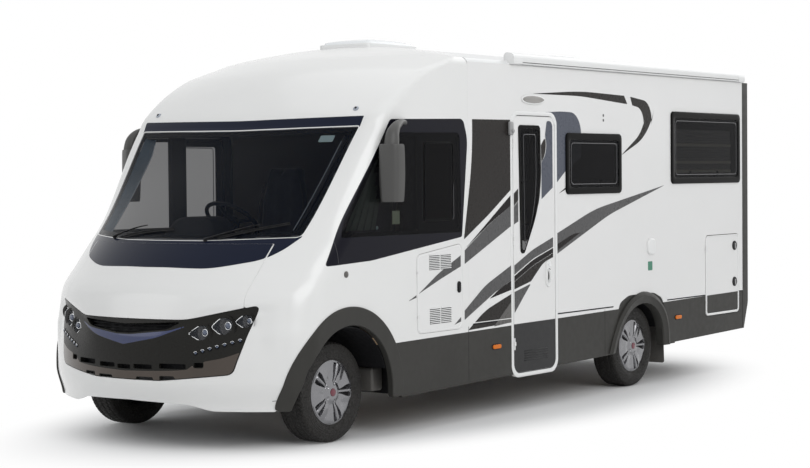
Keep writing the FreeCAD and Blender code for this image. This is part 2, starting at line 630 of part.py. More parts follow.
def skirts(frame, rear_locker, arch):
    """Dark lower panels between and behind the arches, and the rear arch bands."""
    start, end = FRONT_AXLE_X + SKIRT_START, TAIL_X + TAIL_RADIUS
    outline = ((start + 60, sill(start + 60, SKIRT_BASE), 0), (start + 60, sill(start + 60, SKIRT_TOP), 0),
               (end, sill(end, SKIRT_TOP), 0), (end, SKIRT_BASE[1], 0))
    plate = prism_y(outline, HALF - SKIRT, HALF).cut(ARCH).cut(rear_locker)
    left = plate.cut(frame).cut(arch)
    right = mirrored(plate.cut(arch))
    keep("skirts", Part.makeCompound([left, right]))
    band = arch.cut(rear_arch(-REAR_ARCH_BAND))
    band = band.common(block(REAR_AXLE_X - 700, REAR_AXLE_X + 700, HALF - WALL, HALF + 6,
                             SKIRT_BASE[1] - 40, CROWN_Z))
    keep("rear_flares", both(band))


# ================================================================ running gear
def wheel_profile(points, x, y, z, outward):
    """Ring turned about the axle from an outline of (across, radius, corner) points."""
    wire = rounded_wire(points, lambda p: V(x, y + outward * p.x, z + p.y))
    return Part.Face(wire).revolve(V(x, y, z), V(0, 1, 0), 360)


def wheel(name, x, track, outward):
    """One tyre and its rim with a slotted hubcap; outward is +1 on the left."""
    y = outward * track / 2
    w, radius = TYRE_WIDTH / 2, TYRE_DIAMETER / 2
    tyre = wheel_profile(((-w + 30, BEAD_RADIUS, 0), (w - 30, BEAD_RADIUS, 0), (w - 24, BEAD_RADIUS + 28, 10),
                          (w, BEAD_RADIUS + 75, 50), (w - 16, radius - 8, 14), (w - 40, radius, 40),
                          (-w + 40, radius, 40), (-w + 16, radius - 8, 14), (-w, BEAD_RADIUS + 75, 50),
                          (-w + 24, BEAD_RADIUS + 28, 10)), x, y, AXLE_Z, outward)
    keep("tyre_" + name, tyre)
    inner = BEAD_RADIUS - RIM_THICKNESS
    barrel = wheel_profile(((-w + 18, BEAD_RADIUS, 0), (w - 18, BEAD_RADIUS, 0), (w - 18, inner, 0),
                            (-w + 18, inner, 0)), x, y, AXLE_Z, outward)
    hub = SPINDLE_RADIUS + RUNNING_CLEARANCE
    disc = wheel_profile(((20, inner, 0), (34, inner, 0), (34, hub, 0), (-30, hub, 0), (-30, hub + 30, 0),
                          (20, hub + 30, 0)), x, y, AXLE_Z, outward)
    cap = wheel_profile(((w - 18, HUBCAP_RADIUS, 0), (w - 8, HUBCAP_RADIUS - 4, 3),
                         (w - 2, HUBCAP_RADIUS - 40, 30), (w - 6, 60, 40), (w + 4, 45, 10), (w + 4, 0, 0),
                         (w - 18, 0, 0)), x, y, AXLE_Z, outward)
    post = wheel_profile(((20, 70, 0), (20, 42, 0), (w - 17, 42, 0), (w - 17, 70, 0)), x, y, AXLE_Z, outward)
    ends = sorted((y + outward * (w - 22), y + outward * (w + 10)))
    slots = [prism_y(outline, *ends) for outline in hubcap_slots(x)]
    keep("rim_" + name, barrel.fuse([disc, cap, post]).cut(Part.makeCompound(slots)).removeSplitter())


def hubcap_slots(x):
    """Side outlines of the slots on both sides of each bar of the hubcap whose middle is at x."""
    outlines = []
    for i in range(HUBCAP_BARS):
        angle = (2 * i + 1) * math.pi / HUBCAP_BARS
        along, across = V(math.cos(angle), 0, math.sin(angle)), V(-math.sin(angle), 0, math.cos(angle))
        for side in (-1, 1):
            corners = [V(x, 0, AXLE_Z) + along * radius + across * side * off for radius, off in HUBCAP_SLOT]
            outlines.append(tuple((p.x, p.z, HUBCAP_SLOT_CORNER) for p in corners))
    return outlines


def running_gear():
    """Wheels, knuckles, axles, rails, tanks and engine."""
    for end, x, track in (("front", FRONT_AXLE_X, FRONT_TRACK), ("rear", REAR_AXLE_X, REAR_TRACK)):
        wheel(end + "_left", x, track, 1)
        wheel(end + "_right", x, track, -1)
    x, z, y = FRONT_AXLE_X, AXLE_Z, KINGPIN_Y
    half = KNUCKLE_HEIGHT / 2
    spindle_end = FRONT_TRACK / 2 + SPINDLE_NUT
    post = cylinder(28, KNUCKLE_HEIGHT, V(x, y, z - half), V(0, 0, 1))
    pin = cylinder(KINGPIN_RADIUS, KNUCKLE_HEIGHT + 2 * EAR_REACH, V(x, y, z - half - EAR_REACH), V(0, 0, 1))
    spindle = bore_y(SPINDLE_RADIUS, x, z, y, spindle_end)
    flange = bore_y(52, x, z, y + 30, FRONT_TRACK / 2 - 36)
    arm = block(x - 150, x, y - 22, y + 4, z - 40, z - 20)
    knuckle = post.fuse([pin, spindle, flange, arm]).removeSplitter()
    keep("knuckle_left", knuckle)
    keep("knuckle_right", mirrored(knuckle))

    bore = cylinder(KINGPIN_RADIUS + RUNNING_CLEARANCE, 600, V(x, y, z - 300), V(0, 0, 1))
    lower_z = z - half - STEER_CLEARANCE - EAR
    upper_z = z + half + STEER_CLEARANCE
    inner_y = RAIL_Y - 60
    lower = block(x - 45, x + 45, inner_y, y + 34, lower_z, lower_z + EAR)
    upper = block(x - 45, x + 45, inner_y, y + 34, upper_z, upper_z + EAR)
    carrier = lower.fuse([upper]).cut(bore)
    tower = block(x - 60, x + 60, inner_y - 60, inner_y, lower_z, RAIL_BASE_Z + RAIL_SHEET)
    beam = block(x - 60, x + 60, -inner_y, inner_y, lower_z, lower_z + 60)
    axle = beam.fuse([carrier, mirrored(carrier), tower, mirrored(tower)])
    rails, rail_bodies = rail_pair()
    keep("front_axle", axle.cut(rail_bodies).removeSplitter())
    keep("chassis_rails", rails)

    rx = REAR_AXLE_X
    tube_end = REAR_TRACK / 2 - 40
    tube = bore_y(45, rx, z, -tube_end, tube_end)
    stub_end = REAR_TRACK / 2 + SPINDLE_NUT
    stubs = bore_y(SPINDLE_RADIUS, rx, z, -stub_end, stub_end)
    saddle = block(rx - 70, rx + 70, RAIL_Y - 35, RAIL_Y + 35, z + 20, RAIL_BASE_Z)
    spring = block(rx - 560, rx + 560, RAIL_Y - 30, RAIL_Y + 30, RAIL_BASE_Z - 34, RAIL_BASE_Z - 14)
    pads = [block(rx + dx - 40, rx + dx + 40, RAIL_Y - 30, RAIL_Y + 30, RAIL_BASE_Z - 20, RAIL_BASE_Z)
            for dx in (-520, 520)]
    side = saddle.fuse([spring] + pads)
    keep("rear_axle", tube.fuse([stubs, side, mirrored(side)]).removeSplitter())

    bay = RAIL_Y - RAIL_FLANGE
    keep("engine", block(FRONT_AXLE_X + 330, FRONT_AXLE_X + 760, -bay, bay, 330, 880))
    length, base = WATER_TANK
    water_x = CROSS_MEMBERS[2] + TANK_GAP
    water = block(water_x, water_x + length, -bay, bay, base, RAIL_TOP_Z)
    length, base = WASTE_TANK
    waste_x, waste_y = CROSS_MEMBERS[1] - 370, -RAIL_Y - 70
    waste = block(waste_x - length, waste_x, waste_y - 490, waste_y, base, RAIL_TOP_Z)
    keep("tanks", Part.makeCompound([water, waste]))


def rail_pair():
    """Two C-section rails with jack pads and cross members, and plain bars that fill their outlines."""
    x0, x1 = RAIL_END_X, FRONT_AXLE_X + 620
    outer = block(x0, x1, RAIL_Y - RAIL_FLANGE, RAIL_Y, RAIL_BASE_Z, RAIL_TOP_Z)
    hollow = block(x0 - 5, x1 + 5, RAIL_Y - RAIL_FLANGE - 5, RAIL_Y - RAIL_SHEET, RAIL_BASE_Z + RAIL_SHEET,
                   RAIL_TOP_Z - RAIL_SHEET)
    rail = outer.cut(hollow)
    for dx in (-TOW_BOLT_SPACING / 2, TOW_BOLT_SPACING / 2):
        x = RAIL_END_X + TOW_BOLT_INSET + dx
        rail = rail.cut(bore_y(TOW_BOLT_RADIUS, x, TOW_BOLT_Z, RAIL_Y - 30, RAIL_Y + 30))
    half_pad, pad_z = JACK_PAD[0] / 2, RAIL_BASE_Z - JACK_PAD[1]
    for x in JACK_PADS:
        rail = rail.fuse(block(x - half_pad, x + half_pad, RAIL_Y - RAIL_FLANGE, RAIL_Y, pad_z, RAIL_BASE_Z))
    inner = RAIL_Y - RAIL_SHEET
    member_z = RAIL_BASE_Z + 60
    members = [block(x - 30, x + 30, -inner, inner, member_z, member_z + 60) for x in CROSS_MEMBERS]
    return rail.fuse([mirrored(rail)] + members), both(outer)


# ================================================================ floor and inside
def liner(x, radius, inner_y, inside):
    """Wheel house over one left wheel: half drum with an inner end."""
    drum = bore_y(radius + ARCH_LINER, x, AXLE_Z, inner_y - ARCH_LINER, INSIDE)
    hollow = bore_y(radius, x, AXLE_Z, inner_y, INSIDE + 10)
    keep_z = block(x - 700, x + 700, 0, HALF, FLOOR_Z - FLOOR_THICKNESS - 170, CROWN_Z)
    return drum.cut(hollow).common(keep_z).common(inside)


def inside_parts():
    """Floor, wheel houses, bulkhead, lockers, dashboard, wheel and seats."""
    front_inside = FRONT_INNER
    front_house = bore_y(FRONT_LINER[0] + ARCH_LINER, FRONT_AXLE_X, AXLE_Z, FRONT_LINER[1] - ARCH_LINER, OUT)
    rear_house = bore_y(REAR_LINER[0] + ARCH_LINER, REAR_AXLE_X, AXLE_Z, REAR_LINER[1] - ARCH_LINER, OUT)
    front_liner = liner(FRONT_AXLE_X, FRONT_LINER[0], FRONT_LINER[1], front_inside)
    rear_liner = liner(REAR_AXLE_X, REAR_LINER[0], REAR_LINER[1], block(TAIL_X, CAP_X, 0, INSIDE, 0, CROWN_Z))
    keep("front_wheel_houses", both(front_liner))
    keep("rear_wheel_houses", both(rear_liner))

    low, high = FLOOR_Z - FLOOR_THICKNESS, FLOOR_Z
    step_x0, step_x1 = DOOR[0] + FRONT_AXLE_X, DOOR[1] + FRONT_AXLE_X
    well = block(step_x0, step_x1, STEP_INNER_Y, HALF, low - 10, high + 10)
    floor = block(GARAGE_X, CAP_X, -INSIDE, INSIDE, low, high)
    cab = block(CAP_X, BULKHEAD_X, -INSIDE, INSIDE, low, high)
    floor = floor.fuse(cab).removeSplitter().cut(both(rear_house)).cut(both(front_house)).cut(well)
    keep("floor", floor)

    tray = block(step_x0, step_x1, STEP_INNER_Y, INSIDE, STEP_Z, low)
    tray = tray.cut(block(step_x0 + 10, step_x1 - 10, STEP_INNER_Y + 10, INSIDE + 10, STEP_Z + 16, low + 10))
    keep("entrance_step", tray)

    shelf = front_inside.common(block(BULKHEAD_X, NOSE_X, -HALF, HALF, GLASS_BASE_Z - 12, GLASS_BASE_Z))
    wall = block(BULKHEAD_X, BULKHEAD_X + 12, -HALF, HALF, low - 160, GLASS_BASE_Z - 12).common(front_inside)
    wall = wall.cut(both(front_house))
    wall = wall.cut(block(BULKHEAD_X - 1, BULKHEAD_X + 20, RAIL_Y - 70, OUT, low - 200, low + 2))
    wall = wall.cut(block(BULKHEAD_X - 1, BULKHEAD_X + 20, -OUT, -RAIL_Y + 70, low - 200, low + 2))
    keep("bulkhead", shelf.fuse(wall).removeSplitter())

    dash = ((BULKHEAD_X, 1060, 40), (BULKHEAD_X, 1345, 20), (BULKHEAD_X - 260, 1350, 60),
            (BULKHEAD_X - 500, 1290, 60), (BULKHEAD_X - 570, 1190, 50), (BULKHEAD_X - 530, 1110, 50),
            (BULKHEAD_X - 300, 1020, 80))
    keep("dashboard", prism_y(dash, -940, 940))
    hub = V(FRONT_AXLE_X - 440, DRIVER_Y, 1400)
    lean = V(-math.cos(WHEEL_TILT), 0, math.sin(WHEEL_TILT))
    ring = Part.makeTorus(190, 16, hub + lean * 90, lean)
    column = cylinder(24, 460, hub - lean * 360, lean)
    boss = cylinder(60, 30, hub + lean * 75, lean)
    spokes = [spoke(hub + lean * 90, lean, a) for a in (math.pi, 0, math.pi / 2)]
    steering = ring.fuse([column, boss] + spokes).cut(NODES["dashboard"])
    keep("steering_wheel", max(steering.Solids, key=lambda s: s.Volume))

    pedestals, seats = zip(*[seat(y) for y in (DRIVER_Y, -DRIVER_Y)])
    keep("seat_bases", Part.makeCompound(pedestals))
    keep("cab_seats", Part.makeCompound(seats))
    box_x = (GAS_LOCKER[0] + FRONT_AXLE_X, GAS_LOCKER[1] + FRONT_AXLE_X)
    top = GAS_LOCKER[3] - GAS_LOCKER_FALL
    box = block(box_x[0] - 12, box_x[1] + 12, GAS_BOX_Y, INSIDE, FLOOR_Z, top + 12)
    box = box.cut(block(box_x[0] - 4, box_x[1] + 4, GAS_BOX_Y + 8, INSIDE + 10, FLOOR_Z + 8, top + 4))
    keep("gas_locker", box)

    tail = TAIL_X + WALL
    inner_tail = rear_form(WALL, CAP_X)
    front_wall = block(GARAGE_X - 20, GARAGE_X, -INSIDE, INSIDE, GARAGE_FLOOR_Z, GARAGE_TOP_Z)
    bottom = block(tail, GARAGE_X, -INSIDE, INSIDE, GARAGE_FLOOR_Z, GARAGE_FLOOR_Z + 22)
    deck = block(tail, GARAGE_X, -INSIDE, INSIDE, GARAGE_TOP_Z, GARAGE_TOP_Z + 22)
    keep("garage", front_wall.fuse([bottom, deck]).removeSplitter().common(inner_tail))


def spoke(centre, normal, angle):
    """One steering wheel spoke from the boss to the ring."""
    across = V(0, 1, 0)
    up = across.cross(normal)
    direction = across * math.cos(angle) + up * math.sin(angle)
    return Part.makeCylinder(13, 190, centre - normal * 6, direction)


def seat(y):
    """Captain's seat: pedestal, and cushion with back and headrest."""
    x = FRONT_AXLE_X - 960
    pedestal = cylinder(130, 26, V(x, y, FLOOR_Z), V(0, 0, 1)).fuse(
        block(x - 150, x + 150, y - 150, y + 150, FLOOR_Z + 26, FLOOR_Z + SEAT_BASE))
    z = FLOOR_Z + SEAT_BASE
    cushion = prism_y(((x - 250, z, 30), (x + 270, z, 50), (x + 275, z + 150, 60), (x - 250, z + 120, 30)),
                      y - 250, y + 250)
    back = prism_y(((x - 330, z + 20, 40), (x - 170, z + 60, 60), (x - 290, z + 720, 60),
                    (x - 400, z + 700, 50)), y - 240, y + 240)
    head = prism_y(((x - 400, z + 730, 30), (x - 300, z + 730, 30), (x - 320, z + 930, 40),
                    (x - 400, z + 930, 40)), y - 130, y + 130)
    stem = block(x - 365, x - 335, y - 60, y + 60, z + 690, z + 740)
    arm = block(x - 260, x + 60, y - 300, y - 250, z + 210, z + 260)
    arms = arm.fuse(arm.translated(V(0, 550, 0))).fuse(
        block(x - 300, x - 230, y - 300, y + 300, z + 190, z + 240))
    return pedestal.removeSplitter(), cushion.fuse([back, head, stem, arms]).removeSplitter()


# ================================================================ outside fittings
def fittings():
    """Awning, mirrors, wipers, roof lights, mud flaps and lamps."""
    profile = ((HALF - 60, SIDE_TOP_Z + 6, 0), (HALF + 34, SIDE_TOP_Z + 6, 12),
               (HALF + 38, SIDE_TOP_Z + 80, 34), (HALF - 60, SIDE_TOP_Z + 104, 30))
    bar = prism_x(profile, TAIL_X + TAIL_RADIUS + AWNING_INSET, FRONT_AXLE_X + AWNING_FRONT)
    bar = bar.cut(crowned_bar(0.0, TAIL_X - 5, CAP_X + 5))
    keep("awning", max(bar.Solids, key=lambda s: s.Volume))

    keep("mirrors", both(mirror_body()))

    hatches = []
    half_length, half_width, rise = ROOF_LIGHT
    for x in (CAP_X - FRONT_LIGHT_INSET, REAR_AXLE_X - REAR_LIGHT_INSET):
        hatch = block(x - half_length, x + half_length, -half_width, half_width, CROWN_Z - 60, CROWN_Z + rise)
        hatch = hatch.makeFillet(28, [e for e in hatch.Edges if e.BoundBox.ZLength > 10])
        hatches.append(hatch.cut(crowned_bar(0.0, TAIL_X, CAP_X + 50)))
    keep("roof_lights", Part.makeCompound(hatches))

    flap_x = REAR_AXLE_X - REAR_ARCH_HALF[0] - 20
    thick, base = MUD_FLAP
    flap = block(flap_x, flap_x + thick, REAR_TRACK / 2 - 130, HALF - SKIRT, base, GARAGE_FLOOR_Z)
    hanger = block(flap_x - 20, flap_x + thick, RAIL_Y, HALF - SKIRT, GARAGE_FLOOR_Z - 30, GARAGE_FLOOR_Z)
    keep("mud_flaps", both(flap.fuse(hanger).removeSplitter()))
    keep("wipers", wipers())


def mirror_body():
    """Housing hanging from a curved arm that thins towards its root, on the left."""
    z0, z1 = MIRROR_Z
    plan = rounded_wire(MIRROR_PLAN, lambda p: V(FRONT_AXLE_X + p.x, HALF + p.y, z0))
    housing = Part.Face(plan).extrude(V(0, 0, z1 - z0))
    housing = housing.makeFillet(MIRROR_EDGE, [e for e in housing.Edges if e.BoundBox.ZLength < 1])
    centres = [V(FRONT_AXLE_X + x, HALF + out, z) for x, out, z, half in MIRROR_ARM]
    sections = []
    for i, here in enumerate(centres):
        half = MIRROR_ARM[i][3]
        along = centres[min(i + 1, len(centres) - 1)] - centres[max(i - 1, 0)]
        along.normalize()
        across = V(0, 1, 0) - along * along.y
        across.normalize()
        oval = Part.Ellipse(here + across * 1.1 * half, here + along.cross(across) * half, here)
        sections.append(Part.Wire([oval.toShape()]))
    arm = Part.makeLoft(sections, True, True).cut(crowned_bar(0.0, CAP_X, NOSE_X))
    return housing.fuse(max(arm.Solids, key=lambda s: s.Volume)).removeSplitter()


def glass_point(y, z, lift):
    """Point over the windscreen at a side place and height, lifted off it squarely."""
    foot = NOSE_X - 380.0 - NOSE_RADIUS + math.sqrt(NOSE_RADIUS ** 2 - y * y)
    head = NOSE_X - 1180.0 - BROW_RADIUS + math.sqrt(BROW_RADIUS ** 2 - y * y)
    t = (z - GLASS_BASE_Z) / (GLASS_TOP_Z - GLASS_BASE_Z)
    x = foot + (head - foot) * t
    slope = math.atan2(GLASS_TOP_Z - GLASS_BASE_Z, foot - head)
    return V(x + lift * math.sin(slope), y, z + lift * math.cos(slope))


def wipers():
    """Two wipers parked along the windscreen's foot."""
    parts = []
    for root_y, tip_y in ((-60.0, -700.0), (640.0, 20.0)):
        cowl = (BONNET_TOP_Z + JOINT_GAP + GLASS_BASE_Z) / 2
        root = glass_point(root_y, cowl, -5.0)
        bend = glass_point(root_y, cowl, 22.0)
        tip = glass_point(tip_y, GLASS_BASE_Z + 95, 20.0)
        post = Part.makeCylinder(6, (bend - root).Length, root, bend - root)
        arm = Part.makeCylinder(7, (tip - bend).Length, bend, tip - bend)
        parts.append(post.fuse([arm, Part.makeSphere(9, bend)]).removeSplitter())
    return Part.makeCompound(parts).cut(FRONT_OUTER)


def main():
    """Build every node and write one STEP file each."""
    front_mouldings()
    living_area()
    running_gear()
    inside_parts()
    fittings()
    os.makedirs("parts", exist_ok=True)
    for name, shape in NODES.items():
        volume = sum(abs(solid.Volume) for solid in shape.Solids)
        assert volume > 1000, name
        shape.exportStep("parts/" + name + ".step")
        box = shape.BoundBox
        print("%-24s %2d solids %9.1f dm3  x %6.0f %6.0f  y %6.0f %6.0f  z %5.0f %5.0f %s" % (
            name, len(shape.Solids), volume / 1e6, box.XMin, box.XMax, box.YMin, box.YMax,
            box.ZMin, box.ZMax, "" if shape.isValid() else "INVALID"))
    print(len(NODES), "nodes")


main()
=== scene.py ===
"""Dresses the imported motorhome: skins, glass, lamps, wheels, decals, fittings, stage, lights and camera.

Lengths are metres in the vehicle's frame: +X forward, +Y to the left, +Z up, the ground at z = 0.
"""
import json
import logging
import math
from dataclasses import dataclass, field, replace
from enum import Enum
from itertools import product
from typing import Callable, Iterable, Sequence

import bpy
import numpy as np
from mathutils import Matrix, Vector
from mathutils.geometry import tessellate_polygon

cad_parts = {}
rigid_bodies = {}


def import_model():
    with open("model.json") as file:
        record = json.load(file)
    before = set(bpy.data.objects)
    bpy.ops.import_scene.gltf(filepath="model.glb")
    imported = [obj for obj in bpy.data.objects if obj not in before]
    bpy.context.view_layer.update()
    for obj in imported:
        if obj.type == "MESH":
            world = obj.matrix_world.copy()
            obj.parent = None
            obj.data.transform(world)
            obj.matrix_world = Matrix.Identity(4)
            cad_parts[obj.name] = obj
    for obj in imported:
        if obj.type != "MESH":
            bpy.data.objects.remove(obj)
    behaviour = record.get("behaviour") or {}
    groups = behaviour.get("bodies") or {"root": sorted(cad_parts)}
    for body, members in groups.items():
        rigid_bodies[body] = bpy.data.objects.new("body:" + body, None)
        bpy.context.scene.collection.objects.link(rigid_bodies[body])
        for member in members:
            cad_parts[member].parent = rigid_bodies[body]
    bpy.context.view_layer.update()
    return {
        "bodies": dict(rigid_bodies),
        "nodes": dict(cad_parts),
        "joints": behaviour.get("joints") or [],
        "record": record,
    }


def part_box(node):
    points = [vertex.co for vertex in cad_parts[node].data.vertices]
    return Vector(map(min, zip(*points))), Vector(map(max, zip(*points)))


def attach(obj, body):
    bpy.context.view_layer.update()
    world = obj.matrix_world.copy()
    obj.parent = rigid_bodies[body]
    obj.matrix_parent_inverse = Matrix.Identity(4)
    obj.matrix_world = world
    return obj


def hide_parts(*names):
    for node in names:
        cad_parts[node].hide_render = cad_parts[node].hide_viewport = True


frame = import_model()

LOG = logging.getLogger("motorhome")
Array = np.ndarray
Place = Callable[[Array, Array, float], Array]
Tree, Socket = bpy.types.NodeTree, bpy.types.NodeSocket
WHITE = (1.0, 1.0, 1.0, 1.0)
SIDE_SPANS = {1: (0.9, 3.0), -1: (-3.0, -0.9)}  # u of the skin's left and right side, by hand
FILM_LIFT = 0.0006  # how far a film lies off its face


class Body(Enum):
    """The moving bodies that pieces ride on."""
    ROOT = "root"
    LID = "lid"
    ENTRANCE = "entrance"
    GAS = "gas_door"
    REAR_LEFT = "rear_door_left"
    REAR_RIGHT = "rear_door_right"


# ====================================================================== arrays
def smooth_curve(xs: Sequence[float], ys: Sequence[float], x: Array) -> Array:
    """Smooth curve through a few points that never overshoots them.

    Cubic pieces whose slope at each point is the harmonic mean of the slopes on either side.

    Args:
        xs: Growing places of the points.
        ys: Their values.
        x: Places to work out.

    Returns:
        The curve's values, held level beyond the ends.
    """
    xs, ys = np.asarray(xs, float), np.asarray(ys, float)
    x = np.clip(x, xs[0], xs[-1])
    step, slope = np.diff(xs), np.diff(ys) / np.diff(xs)
    before, after = slope[:-1], slope[1:]
    same = before * after > 0
    inner = np.where(same, 2 * before * after / np.where(same, before + after, 1.0), 0.0)
    tangent = np.concatenate([slope[:1], inner, slope[-1:]])
    i = np.clip(np.searchsorted(xs, x, side="right") - 1, 0, len(step) - 1)
    t = (x - xs[i]) / step[i]
    lift = step[i] * (tangent[i] * (t ** 3 - 2 * t ** 2 + t) + tangent[i + 1] * (t ** 3 - t ** 2))
    return ys[i] * (2 * t ** 3 - 3 * t ** 2 + 1) + ys[i + 1] * (3 * t ** 2 - 2 * t ** 3) + lift


def soft_min(a: Array, b: Array, blend: float) -> Array:
    """Lesser of two arrays, rounded where they cross over a band of the given width."""
    h = np.clip(0.5 + 0.5 * (b - a) / blend, 0.0, 1.0)
    return b + (a - b) * h - blend * h * (1.0 - h)


def ramp(x: Array, low: float, high: float) -> Array:
    """0 below low, 1 above high and a smooth S between."""
    t = np.clip((x - low) / (high - low), 0.0, 1.0)
    return t * t * (3.0 - 2.0 * t)


def unit(vectors: Array) -> Array:
    """Vectors scaled to length 1 along their last axis."""
    return vectors / np.maximum(np.linalg.norm(vectors, axis=-1, keepdims=True), 1e-12)


def rounded_loop(corners: Sequence[tuple[float, float, float]], step: float = 0.009) -> Array:
    """Closed outline of straight lines and arcs.

    Each corner (a, b, radius) becomes an arc that touches both of its sides.

    Args:
        corners: Corner places and radii, in order round the outline.
        step: Longest chord on an arc.

    Returns:
        The outline's points, (n, 2).
    """
    pieces = []
    for i, (a, b, radius) in enumerate(corners):
        here = np.array((a, b))
        into = unit(np.array(corners[i - 1][:2]) - here)
        out = unit(np.array(corners[(i + 1) % len(corners)][:2]) - here)
        half = math.acos(float(np.clip(into @ out, -1.0, 1.0))) / 2
        if radius <= 0.0:
            pieces.append(here[None])
            continue
        start, end = here + into * radius / math.tan(half), here + out * radius / math.tan(half)
        centre = here + unit(into + out) * radius / math.sin(half)
        turn = math.pi - 2 * half
        count = max(2, int(turn * radius / step) + 2)
        t = np.linspace(0.0, 1.0, count)[:, None]
        first, last = start - centre, end - centre
        arc = (np.sin((1 - t) * turn) * first + np.sin(t * turn) * last) / max(math.sin(turn), 1e-9)
        pieces.append(centre + arc)
    return np.concatenate(pieces)


def oblong(x0: float, x1: float, z0: float, z1: float, radius: float) -> tuple:
    """Corners of a rectangle with one corner radius."""
    return (x0, z0, radius), (x1, z0, radius), (x1, z1, radius), (x0, z1, radius)


def grown(loop: Array, by: float) -> Array:
    """Closed outline moved outwards along its normals by a distance."""
    ahead, behind = np.roll(loop, -1, 0) - loop, loop - np.roll(loop, 1, 0)
    turn = np.sign(np.sum(loop[:, 0] * np.roll(loop[:, 1], -1) - np.roll(loop[:, 0], -1) * loop[:, 1]))
    n1 = unit(np.stack([behind[:, 1], -behind[:, 0]], -1)) * turn
    n2 = unit(np.stack([ahead[:, 1], -ahead[:, 0]], -1)) * turn
    middle = unit(n1 + n2)
    return loop + middle * by / np.maximum(np.sum(middle * n1, -1, keepdims=True), 0.3)


def drawn_in(loop: Array, by: float) -> Array:
    """A loop scaled towards its middle so that its width and height shrink by twice a distance."""
    low, high = loop.min(0), loop.max(0)
    middle, half = (low + high) / 2, (high - low) / 2
    return middle + (loop - middle) * (1 - by / half)


def inside_by(loop: Array, a: Array, b: Array) -> Array:
    """Distance of points (a, b) into a closed outline, negative outside it.

    The distance is the least one to any of the outline's sides, and its sign comes from how
    often a level ray from the point crosses the outline.
    """
    start, end = loop, np.roll(loop, -1, 0)
    side = end - start
    result = np.empty(len(a))
    for lot in np.array_split(np.arange(len(a)), max(1, len(a) * len(loop) // 2_000_000 + 1)):
        pa, pb = a[lot, None], b[lot, None]
        t = ((pa - start[:, 0]) * side[:, 0] + (pb - start[:, 1]) * side[:, 1])
        t = np.clip(t / np.maximum((side ** 2).sum(1), 1e-18), 0.0, 1.0)
        gap = np.hypot(pa - start[:, 0] - t * side[:, 0], pb - start[:, 1] - t * side[:, 1]).min(1)
        spans = (start[:, 1] > pb) != (end[:, 1] > pb)
        rise = np.where(side[:, 1] == 0, 1e-18, side[:, 1])
        crossing = start[:, 0] + (pb - start[:, 1]) * side[:, 0] / rise
        odd = (spans & (pa < crossing)).sum(1) % 2 == 1
        result[lot] = np.where(odd, gap, -gap)
    return result


def grid_faces(rows: int, columns: int, wrap_rows: bool = False, wrap_columns: bool = False) -> Array:
    """Four-sided faces of a grid of points numbered row by row."""
    i = np.arange(rows if wrap_rows else rows - 1)[:, None]
    j = np.arange(columns if wrap_columns else columns - 1)[None, :]
    i2, j2 = (i + 1) % rows, (j + 1) % columns
    faces = np.stack([i * columns + j, i * columns + j2, i2 * columns + j2, i2 * columns + j], -1)
    return faces.reshape(-1, 4)


def frame_along(path: Array, closed: bool = False, up: Sequence[float] = (0.0, 0.0, 1.0)) -> tuple:
    """Tangent and two cross directions at each point of a path.

    The first cross direction is the tangent crossed with up, the second completes the set.
    """
    if closed:
        tangent = unit(np.roll(path, -1, 0) - np.roll(path, 1, 0))
    else:
        tangent = unit(np.gradient(path, axis=0))
    side = unit(np.cross(tangent, np.asarray(up, float)))
    return tangent, side, np.cross(side, tangent)


def smooth_path(points: Sequence[Sequence[float]], count: int) -> Array:
    """Smooth path through a few points: a Catmull-Rom curve, each span a cubic of its four neighbours."""
    p = np.asarray(points, float)
    p = np.concatenate([2 * p[:1] - p[1:2], p, 2 * p[-1:] - p[-2:-1]])
    t = np.linspace(0, len(p) - 3 - 1e-9, count)
    i = t.astype(int)
    t = (t - i)[:, None]
    a, b, c, d = p[i], p[i + 1], p[i + 2], p[i + 3]
    square, cube = 2 * a - 5 * b + 4 * c - d, 3 * b - a - 3 * c + d
    return 0.5 * (2 * b + (c - a) * t + square * t ** 2 + cube * t ** 3)


# ====================================================================== finishes
def feed(tree: Tree, node: bpy.types.Node, inputs: dict) -> None:
    """Fills a node's inputs, by name or number: sockets are linked and values are set."""
    for key, value in inputs.items():
        if isinstance(value, Socket):
            tree.links.new(value, node.inputs[key])
        else:
            node.inputs[key].default_value = value


def add_node(tree: Tree, kind: str, inputs: dict | None = None, **settings: str) -> bpy.types.Node:
    """Adds a shader node.

    Args:
        tree: Tree that gets it.
        kind: Its type, without the leading ShaderNode.
        inputs: What feeds its inputs.
        settings: Its other settings.

    Returns:
        The node.
    """
    made = tree.nodes.new("ShaderNode" + kind)
    for name, value in settings.items():
        setattr(made, name, value)
    feed(tree, made, inputs or {})
    return made


